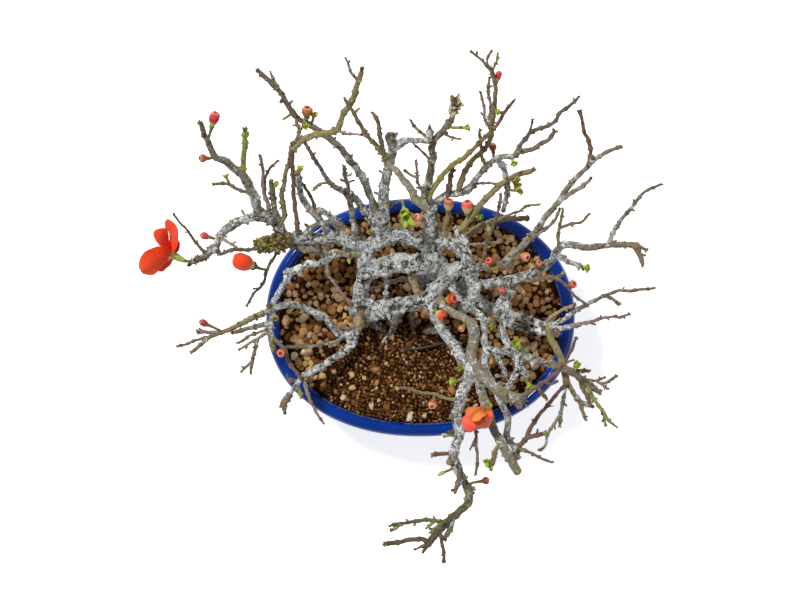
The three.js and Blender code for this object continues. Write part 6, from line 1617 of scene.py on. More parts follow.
def pebbles(rng, count, corners, flat):
    """Angular pebbles one millimetre across, each the hull of points spread evenly on a squashed ball."""
    shapes = []
    for _ in range(count):
        shell = bmesh.new()
        start = rng.random()
        long = rng.uniform(0.9, 1.25)
        wide = rng.uniform(0.62, 0.95)
        for i in range(corners):
            level = 1 - 2 * (i + 0.5) / corners
            turn = 2.4 * i + 6.28 * start + rng.uniform(-0.4, 0.4)
            around = math.sqrt(1 - level * level)
            reach = 0.5 * (0.72 + 0.42 * rng.random())
            shell.verts.new((math.cos(turn) * around * reach * long, math.sin(turn) * around * reach * wide,
                             level * reach * flat))
        bmesh.ops.convex_hull(shell, input=shell.verts)
        bmesh.ops.delete(shell, geom=[v for v in shell.verts if not v.link_faces], context="VERTS")
        bmesh.ops.bevel(shell, geom=shell.edges[:] + shell.verts[:], offset=PEBBLE_BEVEL, segments=1,
                        affect="EDGES")
        shell.verts.index_update()
        shapes.append(([tuple(v.co) for v in shell.verts],
                       [tuple(v.index for v in face.verts) for face in shell.faces], False))
        shell.free()
    return shapes


def build_soil(looks):
    """The bed of the soil, painted dark as the shade between the grains, and the three kinds of grains on it.
    """
    points, faces = soil_surface()
    outline = [oval(inset, height, SOIL_SEGMENTS) for inset, height in (
        (18.6, FLOOR_TOP + SEAT_GAP), (13.6, FLOOR_TOP + 8), (9.1, RIM - 12), (SOIL_INSET, RIM + SOIL_EDGE))]
    body = Pile()
    body.add(np.concatenate(outline), ring_faces(4, SOIL_SEGMENTS, last_cap=False))
    body.add(points, faces)
    bed = body.make("soil_bed", soil_gap_shade_finish())
    weld = bed.modifiers.new("weld", "WELD")
    weld.merge_threshold = SOIL_WELD * MM
    bed.data = evaluated_mesh(bed)
    bed.modifiers.clear()
    tree = grain_tree()
    rng = random.Random(PEBBLE_SEED)
    fine = fineness(points)
    inside = np.hypot(points[:, 0] / (POT_LENGTH / 2 - WALL_ROOM),
                      points[:, 1] / (POT_WIDTH / 2 - WALL_ROOM))
    rim_room = np.clip((1.025 - inside) / 0.035, 0, 1)
    made = [bed]
    # Name, cover, spacing, least and largest size, seed, corners of a pebble, tints and paleness.
    kinds = (
        ("soil_fine_grains", 0.4 + 0.6 * fine, 1.5, 2.1, 3.5, 11, 10, FINE_TINTS, looks.fine_paleness),
        ("soil_coarse_grains", (1 - fine) * rim_room, 3.2, 3.9, 7.6, 12, 16, COARSE_TINTS,
         looks.coarse_paleness),
        ("soil_stray_stones", 0.3 * fine * rim_room, 7.0, 3.6, 6.0, 13, 16, COARSE_TINTS,
         looks.coarse_paleness),
    )
    for name, cover, spacing, least, most, seed, corners, tints, paleness in kinds:
        source = make_object(name + "_bed", points, faces, {"cover": cover}, None)
        shapes = shape_collection(name + "_shapes", pebbles(rng, PEBBLE_SHAPES, corners, PEBBLE_FLATNESS))
        made.append(made_by_tree(tree, source, name, {
            "Pebbles": shapes, "Spacing": spacing * MM, "Density": GRAINS_PER_SQUARE_METRE,
            "Least size": least, "Largest size": most, "Seed": seed,
            "Finish": grain_finish(name, tints, paleness)}))
        drop_collection(shapes)
    return made


# Wood

def tone_marks(limb, index):
    """The bark colour and the lichen cover at each place of a limb's fine line."""
    names = [tone for tone, limbs in TONE_OF.items() if limb.name in limbs]
    if names:
        tone = names[0]
    elif max(limb.full_radii) > PALE_ABOVE:
        tone = "white"
    else:
        tone = ("umber", "ash", "olive", "umber", "rose")[index % 5]
    foot_colour, tip_colour, foot, tip = TONES[tone]
    part = np.linspace(0, 1, len(limb.line))
    start = rgb(foot_colour)
    return start + (rgb(tip_colour) - start) * part[:, None], foot + (tip - foot) * part


def stains_at(points):
    """How strongly each point is darkened and dented as painted shade in a deep place."""
    total = np.zeros(len(points))
    for (x, y), height, reach, strength in RECESS_SHADES:
        away = np.linalg.norm(points - place(x, y, height), axis=1) + 1.6 * waver(points, 3, 5.0)
        total = np.maximum(total, strength * np.clip(1.3 - away / reach, 0, 1))
    return total


def keep_largest(mesh):
    """Leaves only a mesh's largest connected body, without the closed pockets inside it."""
    shell = bmesh.new()
    shell.from_mesh(mesh)
    left = set(shell.verts)
    bodies = []
    while left:
        body = [left.pop()]
        for vert in body:
            for edge in vert.link_edges:
                other = edge.other_vert(vert)
                if other in left:
                    left.remove(other)
                    body.append(other)
        bodies.append(body)
    bodies.sort(key=len)
    bmesh.ops.delete(shell, geom=[vert for body in bodies[:-1] for vert in body], context="VERTS")
    shell.to_mesh(mesh)
    shell.free()


def outward(rng, spread):
    """A random direction out of a limb, more often upwards."""
    return unit(np.array([rng.gauss(0, 1), rng.gauss(0, 1), rng.gauss(0.5, spread)]))


def add_knobs(skin, limbs, looks):
    """Small knobs half sunk in the old wood, which the fused skin turns into burrs and stub bases."""
    rng = random.Random(KNOB_SEED)
    for limb in limbs.values():
        thick = max(limb.full_radii)
        if thick < looks.fused_above:
            continue
        step = float(np.mean(np.linalg.norm(np.diff(limb.line, axis=0), axis=1)))
        for _ in range(int(len(limb.line) * step * looks.knob_share)):
            i = rng.randrange(1, len(limb.line) - 1)
            side = outward(rng, 1)
            way = unit(limb.line[i + 1] - limb.line[i - 1])
            side = unit(side - way * side.dot(way))
            width = limb.widths[i]
            size = rng.uniform(0.75, 1.15) * min(1.7, 0.55 + 0.17 * width)
            rise = rng.choice((0.2, 0.5, 1.1)) * size
            foot = limb.line[i] + side * (width - 0.8 * size)
            line = np.array([foot, foot + side * (0.8 * size + rise)])
            points, faces, _ = sweep(line, [size * 1.1, size * 0.85], 8, end="dome")
            skin.add(points, faces)


def nearest_samples(points, samples):
    """For each point, the place along the limbs whose own skin it is nearest to."""
    tree = kdtree.KDTree(len(samples))
    for i, (point, *_) in enumerate(samples):
        tree.insert(point, i)
    tree.balance()
    return np.array([min(tree.find_n(point, 5), key=lambda hit: hit[2] - samples[hit[1]][1])[1]
                     for point in points])


def bark_relief(points):
    """The ridges, creases and pits of old bark together, and the pits alone."""
    crease = np.maximum(0, 0.13 - np.abs(waver(points, 5.0, 4.0))) / 0.13
    crease *= np.clip(waver(points, 9.0, 7.0) * 3 + 0.9, 0, 1)
    pit = np.clip((waver(points, 2.3, 12.0) - 0.36) / 0.16, 0, 1)
    pit *= np.clip(waver(points, 7.0, 15.0) * 4 + 0.3, 0, 1)
    relief = (0.9 * waver(points, 4.6, 1.0) + 0.55 * waver(points, 2.1, 2.0) + 0.3 * waver(points, 1.1, 3.0)
              - 1.5 * crease - 1.1 * pit)
    return relief, pit


def cut_marks(points, limbs, looks):
    """1 on the ends of the thick limbs that were cut across, and 0 elsewhere."""
    cut = np.zeros(len(points))
    for name in CUT_ENDS:
        limb = limbs[name]
        if max(limb.full_radii) < looks.fused_above:
            continue
        way = unit(limb.line[-1] - limb.line[-3])
        from_end = points - limb.line[-1]
        beyond = (from_end @ way > -0.35) & (np.linalg.norm(from_end, axis=1) < 1.25 * limb.widths[-1])
        cut[beyond] = 1.0
    return cut


def build_trunks(limbs, looks, bark):
    """The trunks and thick limbs grown into one skin, with ridges, hollows, pits and cut ends, and marks of
    painted shade in the creases, pits and deep places.
    """
    skin = Pile()
    samples = []
    for index, limb in enumerate(limbs.values()):
        if max(limb.full_radii) < looks.fused_above:
            continue
        sides = TRUNK_SIDES if max(limb.full_radii) < STOUT else STOUT_SIDES
        end = "flat" if limb.name in CUT_ENDS else "dome"
        points, faces, _ = sweep(limb.line, limb.widths, sides, lump=LUMP, seed=index, end=end)
        skin.add(points, faces)
        rough = SMOOTH_RELIEF if limb.name in SMOOTH_LIMBS else 1.0
        samples += list(zip(limb.line, limb.widths, *tone_marks(limb, index), [rough] * len(limb.line)))
    add_knobs(skin, limbs, looks)
    raw = skin.make("trunk_sweeps", None)
    remesh = raw.modifiers.new("fuse", "REMESH")
    remesh.mode = "VOXEL"
    remesh.voxel_size = looks.voxel * MM
    soften = raw.modifiers.new("soften", "SMOOTH")
    soften.iterations = 1
    soften.factor = 0.5
    mesh = evaluated_mesh(raw)
    drop(raw)
    keep_largest(mesh)
    points = (vectors_of(mesh.vertices, "co") - POT_MIDDLE) / MM
    normals = vectors_of(mesh.vertex_normals, "vector")
    owner = nearest_samples(points, samples)
    widths, tint, lichen, rough = (np.array([sample[part] for sample in samples])[owner]
                                   for part in range(1, 5))
    depth = np.minimum(RELIEF_SHARE * widths, RELIEF_LIMIT) * rough
    relief, pit = bark_relief(points)
    cut = cut_marks(points, limbs, looks)
    # Painted shade in the deep places of the old wood, which are dented there too.
    stain = stains_at(points)
    points = points + normals * (depth * (relief * (1 - 0.8 * cut) - 0.8 * stain))[:, None]
    # Painted shade: a mark that darkens the creases and pits of the relief, weaker on smooth limbs and none
    # on cut ends.
    hollow = np.clip(np.maximum(-0.8 - 1.3 * relief, 0.9 * pit), 0, 1) * (1 - cut) * rough
    mesh.vertices.foreach_set("co", (points * MM + POT_MIDDLE).ravel())
    add_marks(mesh, {"tint": tint, "lichen": lichen, "cut": cut, "stain": stain, "hollow": hollow})
    mesh.materials.clear()
    mesh.materials.append(bark)
    set_smooth(mesh)
    mesh.name = "wood_trunks"
    trunks = into_scene("wood_trunks", mesh)
    thin = trunks.modifiers.new("thin out", "DECIMATE")
    thin.ratio = looks.skin_kept
    trunks.data = evaluated_mesh(trunks)
    trunks.modifiers.clear()
    bpy.data.meshes.remove(mesh)
    return trunks


def knots_along(limb, pitch, rng):
    """Places of the nodes along a limb's fine line, a pitch apart or so."""
    step = np.linalg.norm(np.diff(limb.line, axis=0), axis=1)
    travel = np.concatenate([[0], np.cumsum(step)])
    places = []
    at = 2.5 + pitch * rng.random()
    while at < travel[-1] - 0.5:
        places.append(int(np.searchsorted(travel, at)))
        at += pitch * (0.55 + 0.9 * rng.random())
    return travel, places


def build_twigs(limbs, looks, bark, stalks):
    """The thinner limbs and the stalks, each swollen at its foot and its nodes, and the nodes' places."""
    skin = Pile()
    nodes = []
    rng = random.Random(NODE_SEED)
    for index, limb in enumerate(limbs.values()):
        thick = max(limb.full_radii)
        tint, lichen = tone_marks(limb, index)
        pitch = looks.node_pitch * (SMOOTH_NODE_GAP if limb.name in SMOOTH_LIMBS else 1)
        travel, places = knots_along(limb, pitch + 1.1 * thick, rng)
        widths = limb.widths * (looks.twig_slim if thick < looks.fused_above else 1)
        for place_at in places:
            swell = np.exp(-((travel - travel[place_at]) / 0.75) ** 2)
            widths *= 1 + (0.15 + 0.5 * rng.random()) * swell * min(1.0, 1.4 / thick)
            nodes.append((limb, place_at, thick, lichen[place_at]))
        nodes.append((limb, len(limb.line) - 1, thick, 0.0))
        if thick >= looks.fused_above:
            continue
        widths *= 1 + 0.5 * np.exp(-travel / 1.5)
        end = "cut" if limb.name in CUT_ENDS else "dome"
        points, faces, owners = sweep(limb.line, widths, looks.twig_sides, lump=LUMP, seed=index, end=end)
        cut = np.zeros(len(points))
        if end == "cut":
            cut[-2 * looks.twig_sides:] = 1.0
        skin.add(points, faces, tint=tint[owners], lichen=lichen[owners], cut=cut, stain=0.0, hollow=0.0)
    brown, green = (rgb(colour) for colour in STALK_COLOURS)
    for points, cup in stalks:
        line, widths = smooth_line(points, [STALK_RADIUS] * len(points), 0.7)
        widths = widths + (STALK_END_SHARE * cup - STALK_RADIUS) * np.linspace(0, 1, len(line)) ** 6
        points, faces, owners = sweep(line, widths, looks.twig_sides, lump=0.1, seed=3.0, end="flat")
        part = (owners / (len(line) - 1))[:, None]
        skin.add(points, faces, tint=brown * (1 - part) + green * part, lichen=0.1, cut=0.0, stain=0.0,
                 hollow=0.0)
    return skin.make("wood_twigs", bark), nodes


def tip_stalks(limbs):
    """Short stalks for the green tips that stand off their limb, and where each tip starts and points."""
    stalks = []
    spots = []
    for (x, y), name, colour, length in GREEN_TIPS:
        _, plan, height, _ = limbs[name].nearest(x, y)
        foot = limbs[name].on_skin(place(*plan, height))
        target = place(x, y, height + 2)
        heading = unit(target - foot + np.array([0, 0, 0.6]))
        reach = np.linalg.norm(target - foot) - length / 2
        if reach > 1.5:
            start = foot + heading * reach
            stalks.append(([foot, (foot + start) / 2 + [0, 0, 0.3], start], 0.8))
        else:
            start = foot + heading * max(0, reach)
        spots.append((start, heading, length / 2.2, 4, rgb(colour)))
    return stalks, spots


SPROUT_SHAPES = [
    lathe_shape([(0.5, -0.5), (0.72, 0.1), (0.62, 0.6), (0.3, 1.0), (0.06, 1.15)], 6, 0.1, 0.16),
    lathe_shape([(0.55, -0.5), (0.5, 0.7), (0.42, 1.3), (0.62, 1.8), (0.5, 2.3), (0.16, 2.6)], 6, 0.5, 0.12),
    lathe_shape([(0.5, -0.5), (0.6, 0.4), (0.42, 0.9), (0.6, 1.3), (0.34, 1.8), (0.05, 2.1)], 6, -0.3, 0.2),
    lathe_shape([(0.45, -0.5), (0.36, 0.8), (0.24, 1.8), (0.08, 2.7)], 5, 0.4, 0.1),
    lathe_shape([(0.3, -0.4), (0.5, 0.2), (0.56, 0.9), (0.36, 1.6), (0.06, 2.2)], 8, 0.15, 0.2),
]


def room_for(point, reach):
    """Whether a small piece at a point stays inside the box of the CAD model."""
    at = point * MM + POT_MIDDLE
    return all(low + reach * MM < value < high - reach * MM
               for low, value, high in zip(CAD_BOX[0], at, CAD_BOX[1]))


def scale_spots(limb, first, count, size, plain, mossy, rng):
    """A crowd of old bud scales round the end of a limb, greener towards its tip."""
    spots = []
    last = len(limb.line) - 1
    for _ in range(count):
        i = rng.randint(int(first * last), last)
        green = i > 0.75 * last and rng.random() < 0.8
        side = outward(rng, 0.9)
        foot = limb.line[i] + side * limb.widths[i] * rng.uniform(0.8, 1.05)
        heading = unit(side + 0.5 * np.array([rng.gauss(0, 1), rng.gauss(0, 1), 0.4]))
        kind = rng.choice((3, 4) if green else (0, 2, 0))
        reach = size * rng.uniform(0.7, 1.3) * (0.7 if green else 1)
        spots.append((foot, heading, reach, kind, rgb(rng.choice(mossy if green else plain))))
    return spots


def build_sprouts(limbs, nodes, tips, looks):
    """Spurs, bud scales and closed leaf buds at the nodes of all the limbs."""
    rng = random.Random(SPROUT_SEED)
    spots = list(tips)
    for limb, place_at, thick, lichen in nodes:
        i = min(place_at, len(limb.line) - 2)
        way = unit(limb.line[i + 1] - limb.line[max(i - 1, 0)])
        slim = looks.twig_slim if thick < looks.fused_above else 1
        width = limb.widths[min(place_at, len(limb.widths) - 1)] * slim
        at_tip = place_at == len(limb.line) - 1
        if at_tip and (limb.name in CUT_ENDS or limb.widths[-1] > 2.2):
            continue
        stubby = lichen > 0.5 and thick < 6
        count = 4 if at_tip else rng.choice((0, 1, 1, 2)) + (rng.random() < 0.85 if stubby else 0)
        for turn in range(count):
            side = unit(np.cross(way, (rng.uniform(-1, 1), rng.uniform(-1, 1), rng.uniform(-1, 1))))
            if side[2] < -0.4 and not at_tip:
                side = -side
            if at_tip:
                foot = limb.line[-1] + way * 0.3
                heading = way if turn == 0 else unit(way + 0.75 * side)
                kind = rng.choice((0, 2, 2, 4))
                size = (0.85 * width + 0.3) * rng.uniform(0.75, 1.05)
            else:
                foot = limb.line[i] + side * 0.72 * width + way * rng.uniform(-0.5, 0.5)
                heading = unit(side + way * rng.uniform(0.3, 1.4))
                kind = rng.choices((0, 1, 2, 3), (4, 5, 6, 1) if stubby else (8, 2, 5, 1))[0]
                size = rng.uniform(0.7, 1.3) * min(1.5, 0.75 + 0.14 * thick)
            tint = rgb(rng.choice(DRY_TINTS))
            if rng.random() < looks.green_share:
                tint = rgb(rng.choice(LIVE_TINTS))
            crust = 0.5 * min(1, lichen)
            tint = tint * (1 - crust) + rgb(CRUST_TINT) * crust * rng.uniform(0.6, 1.1)
            if room_for(foot, 2.6 * size):
                spots.append((foot, heading, size, kind, tint))
    for name, first, count, size, plain, mossy in SCALY_HEADS:
        spots += scale_spots(limbs[name], first, count, size, plain, mossy, rng)
    feet, headings, sizes, kinds, tints = zip(*spots)
    source = make_object("sprout_points", np.array(feet), [], {"size": np.array(sizes), "kind": np.array(
        kinds, float), "tint": np.array(tints)}, None)
    layer = source.data.attributes.new("heading", "FLOAT_VECTOR", "POINT")
    layer.data.foreach_set("vector", np.array(headings).ravel())
    shapes = shape_collection("sprout_shapes", SPROUT_SHAPES)
    made = made_by_tree(sprout_tree(), source, "wood_sprouts", {
        "Shapes": shapes, "Size": looks.sprout_size, "Seed": 4, "Finish": sprout_finish()})
    drop_collection(shapes)
    return made


def build_wire(finish):
    """The round wire along its way."""
    line, widths = smooth_line(WIRE_ROUTE, [WIRE_RADIUS] * len(WIRE_ROUTE), 1.2)
    skin = Pile()
    points, faces, _ = sweep(line, widths, WIRE_SIDES, end="flat")
    skin.add(points, faces)
    return skin.make("tie_wire_round", finish)


# Buds, flowers and leaves

def bud_skin(length, width, petals=3, wrap=0.9, dimple=0.0):
    """A closed bud with a narrow foot and a blunt, dimpled tip, of petals wrapped round each other."""
    around = 36
    rows = 18
    turns = np.arange(around) * 2 * math.pi / around
    points = []
    along_marks = []
    edge_marks = []
    for row in range(rows + 4):
        part = min(1.0, row / rows)
        past = max(0, row - rows)
        if part < 0.6:
            outline = 0.34 + 0.66 * math.sin(math.pi / 2 * part / 0.6)
        else:
            outline = max(0.0, 1 - ((part - 0.6) / (0.41 + 0.3 * dimple)) ** 2.8) ** 0.5
        outline *= (1, 0.8, 0.5, 0.18)[past]
        phase = (turns * petals / (2 * math.pi) + wrap * part) % 1
        edge = 1 + 0.13 * np.minimum(phase, 8 * (1 - phase)) * min(1, 2.5 * part)
        reach = 0.5 * width * outline * edge
        lift = 0.06 * length * part ** 2 * phase
        height = length * (0.95 * part - dimple * past / 3) + lift
        points.append(np.column_stack([reach * np.cos(turns), reach * np.sin(turns), height]))
        along_marks += [part + 0.1 * past] * around
        edge_marks.append(phase)
    points = np.concatenate(points)
    points[:, 2] = np.clip(points[:, 2], 0, length)
    return points, ring_faces(rows + 4, around), np.array(along_marks), np.concatenate(edge_marks)


def bud_tint(tints, along, edge, base_share, small):
    """The colours over a bud: a pale base, red petals with painted shade where each tucks under the next, and
    on small buds a pale rim round a centre painted dark as the shade in the dimple.
    """
    red, tip, base = tints
    part = np.clip((along - base_share + 0.05) / 0.32 + 0.25 * (edge - 0.5), 0, 1)[:, None]
    top = np.clip((along - 0.45) / 0.5, 0, 1)[:, None]
    body = red * (1 - top) + tip * top
    # Painted shade: each petal is darker towards the part that is tucked under its neighbour.
    tucked_shade = 0.25 if small else 0.06
    body = body * (1 - tucked_shade + tucked_shade * edge[:, None])
    if small:
        rim = 0.5 * np.clip(1 - np.abs(along - 0.97) / 0.08, 0, 1)[:, None]
        body = body + (rgb("f6c0a4") - body) * rim
        # Painted shade: the dimple at the tip of a small bud is darkened.
        centre = 0.8 * np.clip((along - 1.02) / 0.1, 0, 1)[:, None]
        body = body + (rgb("8c1c0c") - body) * centre
    return base * (1 - part) + body * part


def cup_skin(radius, length, lobes=5, around=30, rows=8, flare=1.2):
    """A green cup of joined sepals: a shell with a thin lobed lip."""
    turns = np.arange(around) * 2 * math.pi / around
    rings = []
    for row in range(rows + 1):
        part = row / rows
        lobe = 1 - 0.18 * part ** 2 * (0.5 - 0.5 * np.cos(lobes * turns))
        reach = radius * (0.55 + (flare - 0.55) * part ** 0.8)
        height = part * length * (0.86 + 0.14 * lobe)
        rings.append(np.column_stack([reach * np.cos(turns), reach * np.sin(turns), height]))
    inner = rings[-1] * [0.84, 0.84, 1.0] - [0, 0, 0.15 * length]
    return np.concatenate([*rings, inner]), ring_faces(rows + 2, around)


def sheet_faces(rows, columns):
    """Faces of two sheets of points, one behind the other, closed round their shared edge."""
    row_size = columns + 1
    back = (rows + 1) * row_size
    faces = []
    for row in range(rows):
        for column in range(columns):
            a = row * row_size + column
            faces.append((a, a + row_size, a + row_size + 1, a + 1))
            faces.append((back + a, back + a + 1, back + a + row_size + 1, back + a + row_size))
    edge = [*range(columns), *(row * row_size + columns for row in range(rows)),
            *(rows * row_size + column for column in range(columns, 0, -1)),
            *(row * row_size for row in range(rows, 0, -1))]
    for a, b in zip(edge, edge[1:] + edge[:1]):
        faces.append((a, b, back + b, back + a))
    return faces


def petal_sheet(path, facing, cup, ruffle, rng):
    """A petal along a path of [x, y, height, half width], with a rounded waved edge and folds along it."""
    line, widths = smooth_line([place(*point[:3]) for point in path], [point[3] for point in path], 0.8)
    along = np.linspace(0, 1, len(line))
    widths = widths * np.sqrt(np.clip(1 - (np.clip(along - 0.7, 0, 1) / 0.31) ** 2, 0.03, 1))
    ahead = np.gradient(line, axis=0)
    across = np.linspace(-1, 1, PETAL_COLUMNS + 1)
    phase = rng.uniform(0, 6)
    sides = []
    for lift in (0.0, PETAL_THICKNESS):
        for centre, way, width, part in zip(line, ahead, widths, along):
            side = unit(np.cross(way, facing))
            up = np.cross(side, unit(way))
            edge = np.abs(across) ** 2 * np.cos(8 * part + 2.4 * across + phase)
            fold = 0.4 * np.cos(4.2 * across + 2.5 * part + phase) + 0.12 * np.cos(15 * across + phase)
            rise = width * (cup * across ** 2 + ruffle * part ** 1.2 * (edge + fold)) + lift
            sides.append(centre + np.outer(across * width, side) + np.outer(rise, up))
    rows = len(line) - 1
    return (np.concatenate(sides), sheet_faces(rows, PETAL_COLUMNS), np.tile(across, 2 * len(line)),
            np.tile(np.repeat(along, PETAL_COLUMNS + 1), 2))


def leaf_width(part):
    """The share of a leaf's full width at a part of its length, with teeth along the edge."""
    teeth = 1 + 0.08 * ((part * 9) % 1)
    return math.sin(math.pi * (0.08 + 0.86 * part)) ** 0.8 * teeth


def blade_skin(length, half_width, bend, ripple):
    """A thin blade along +Z that bends towards +X, with marks across and along it."""
    grid_along = np.repeat(np.linspace(0, 1, LEAF_ROWS + 1), LEAF_COLUMNS + 1)
    grid_across = np.tile(np.linspace(-1, 1, LEAF_COLUMNS + 1), LEAF_ROWS + 1)
    widths = np.array([half_width(part) for part in grid_along])
    lean = bend * grid_along
    radius = length / bend
    wave = ripple(grid_along, grid_across) * widths
    sides = []
    for lift in (0, LEAF_THICKNESS):
        rise = wave + lift
        sides.append(np.column_stack([radius * (1 - np.cos(lean)) + rise * np.cos(lean),
                                      widths * grid_across,
                                      radius * np.sin(lean) - rise * np.sin(lean)]))
    return (np.concatenate(sides), sheet_faces(LEAF_ROWS, LEAF_COLUMNS), np.tile(grid_across, 2),
            np.tile(grid_along, 2))


def tuft_blades(length, count, rng):
    """Young toothed leaves round +Z, folded along the rib, the first ones upright and the last ones open."""
    blades = []
    tall = length > TALL_TUFT
    total = 5 if tall else count + 3
    for i in range(total):
        size = length * ((0.84, 0.6, 0.72, 0.5, 0.4)[i] if tall else 0.74 * rng.uniform(0.75, 1.1))
        wide = 0.24 if tall else 0.42

        def half_width(part):
            return max(wide * size * leaf_width(part), 0.05)

        def fold(along, across):
            return -0.38 * np.abs(across) + 0.08 * np.cos(9 * along + 3 * across)

        lean = 0.1 * i if tall else 0.25 + 0.85 * (i / total)
        bend = 0.5 if tall else rng.uniform(-0.5, 0.6)
        bend = bend if abs(bend) > 0.1 else 0.1
        points, faces, across, along = blade_skin(size, half_width, bend, fold)
        points = axis_turn(points, "Y", lean + rng.uniform(-0.06, 0.06)) + [0, 0, 0.6]
        turn = 2.2 * i if tall else i * 2.4 + rng.uniform(-0.2, 0.2)
        blades.append((axis_turn(points, "Z", turn), faces, across, along))
    return blades


def stamen_skins(rng):
    """Stamens round +Z: thin curved filaments with a rounded anther at each end, over a small boss."""
    boss, faces, _ = lathe_shape([(1.3, 0.2), (1.5, 1.2), (1.1, 2.3), (0.3, 2.9)], 14)
    skins = [(boss, faces)]
    for i in range(STAMENS):
        lean = (0.62, 0.36)[i % 2] * rng.uniform(0.85, 1.1)
        length = 5.2 * rng.uniform(0.88, 1.05)
        turn = i / STAMENS * 2 * math.pi + rng.uniform(-0.1, 0.1)
        part = np.linspace(0, 1, 5)
        line = np.column_stack([0.9 + length * np.sin(lean) * part ** 1.2, np.zeros(5),
                                1.6 + length * np.cos(lean) * part])
        points, faces, _ = sweep(line, [FILAMENT_RADIUS] * 5, 6, end="flat")
        skins.append((axis_turn(points, "Z", turn), faces))
        head, faces, _ = lathe_shape([(0.15, -0.5), (0.42, -0.15), (0.42, 0.25), (0.15, 0.6)], 8)
        head = head * [1.0, 0.8, 1.0] + line[-1]
        skins.append((axis_turn(head, "Z", turn), faces))
    return skins


# Studio

def plain_stage(tone):
    """A matt floor that glows a little, so that shadows on it stay pale."""
    material = bpy.data.materials.new("studio floor")
    material.use_nodes = True
    shader = material.node_tree.nodes["Principled BSDF"]
    shader.inputs["Base Color"].default_value = (*tone, 1.0)
    shader.inputs["Roughness"].default_value = 1.0
    shader.inputs["Specular IOR Level"].default_value = 0.0
    shader.inputs["Emission Color"].default_value = (*tone, 1.0)
    shader.inputs["Emission Strength"].default_value = FLOOR_GLOW
    return material


# The add-on

def colour_setting(name, description, colour):
    return bpy.props.FloatVectorProperty(
        name=name, description=description, subtype="COLOR", default=srgb(colour), min=0, max=1)


def number_setting(name, description, value, low, high):
    return bpy.props.FloatProperty(name=name, description=description, default=value, min=low, max=high)


class BonsaiLooks(bpy.types.PropertyGroup):
    """Sizes and colours that can be changed before the pieces are built."""

    glaze: colour_setting("Glaze", "Blue of the glaze", "003698")
    glaze_deep: colour_setting("Pooled glaze", "Blue where the glaze is thick", "002a75")
    gloss: number_setting("Glaze roughness", "Roughness of the glaze", 0.14, 0.02, 1)
    lichen: colour_setting("Lichen", "Duller tone of the lichen", "bdc0bb")
    lichen_bright: colour_setting("Bright lichen", "Brighter tone of the lichen", "f4f6f8")
    specks: number_setting("Specks", "Strength of the black specks on the lichen", 0.96, 0, 1)
    fine_paleness: number_setting("Fine grain spread", "Below 1 makes the fine grains paler", 1.1, 0.2, 4)
    coarse_paleness: number_setting(
        "Coarse grain spread", "Below 1 makes the coarse grains paler", 0.74, 0.2, 4)
    claw: colour_setting("Petal claw", "Colour at the foot of the petals", "f2d79a")
    leaf_edge: colour_setting("Leaf edge", "Colour along the teeth of the leaves", "a8842c")
    fused_above: number_setting(
        "Fused above", "Least radius in millimetres of the limbs that grow into one skin", 1.95, 1, 10)
    voxel: number_setting("Skin detail", "Detail of the fused skin in millimetres", 0.58, 0.4, 3)
    skin_kept: number_setting("Skin kept", "Share of the fused skin's faces that stay", 0.53, 0.1, 1)
    knob_share: number_setting("Knobs", "Knobs on each millimetre of the old wood", 0.3, 0, 2)
    twig_slim: number_setting(
        "Twig slimness", "Share of the full radius that thin twigs keep", 0.92, 0.3, 1.5)
    twig_sides: bpy.props.IntProperty(
        name="Twig sides", description="Sides of a thin twig", default=9, min=5, max=24)
    node_pitch: number_setting(
        "Node pitch", "Distance between nodes of a thin twig in millimetres", 3.4, 1, 20)
    sprout_size: number_setting("Sprout size", "Scale of the spurs and bud scales", 1, 0.2, 3)
    green_share: number_setting(
        "Green share", "Share of the sprouts that are green or red buds", 0.16, 0, 1)
    floor_tone: colour_setting("Floor", "Colour of the studio floor", "f4f4f4")


def looks_of(context):
    """The looks that are set in the panel."""
    return context.scene.bonsai_looks


# What is made once and used by several steps.
MADE = {}


def hand_over(piece, nodes):
    """Sets a finished piece on the frame, in place of its CAD nodes, with no point past the CAD box."""
    mesh = piece.data
    kept = np.clip(vectors_of(mesh.vertices, "co"), np.array(CAD_BOX[0]), np.array(CAD_BOX[1]))
    mesh.vertices.foreach_set("co", kept.ravel())
    mesh.update()
    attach(piece, "root")
    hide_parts(*nodes)


def limbs_made():
    """The limbs, grown when they are first asked for."""
    if "limbs" not in MADE:
        MADE["limbs"] = grow_limbs()
    return MADE["limbs"]


def finish_made(name, maker, *values):
    """A finish that several pieces share, made when it is first asked for."""
    if name not in MADE:
        MADE[name] = maker(*values)
    return MADE[name]


def seats():
    """The stalks of all buds, leaves and flowers with their end radii, and each seat, heading and spin."""
    if "seats" not in MADE:
        limbs = limbs_made()
        stalks = []
        spots = {}
        for index, (name, limb, way, rise, _, width) in enumerate(BUDS):
            points, seat, heading = stalk(limbs, limb, way, rise)
            stalks.append((points, BUD_SEAT_SHARE * width))
            spots[name] = (seat, heading, index)
        for index, (name, limb, way, rise, _, _) in enumerate(LEAVES):
            points, seat, heading = stalk(limbs, limb, way, rise)
            stalks.append((points, LEAF_SEAT))
            spots[name] = (seat, heading, index)
        for name, (limb, way, rise) in (("open", OPEN_STALK), ("half", HALF_STALK)):
            points, seat, heading = stalk(limbs, limb, way, rise)
            stalks.append((points, FLOWER_SEAT))
            spots[name] = (seat, heading, 0)
        MADE["seats"] = (stalks, spots)
    return MADE["seats"]


class BONSAI_OT_pot(bpy.types.Operator):
    """Builds the glazed oval pot on its four low feet"""

    bl_idname = "bonsai.pot"
    bl_label = "Build pot"

    def execute(self, context):
        hand_over(build_pot(looks_of(context)), ["pot"])
        screen = plain_finish("drain screen", srgb("20201e"), srgb("34332f"), 0.6, 0.002)
        for node in ("drain_screen_left", "drain_screen_right"):
            mesh = frame["nodes"][node].data
            mesh.materials.clear()
            mesh.materials.append(screen)
        return {"FINISHED"}


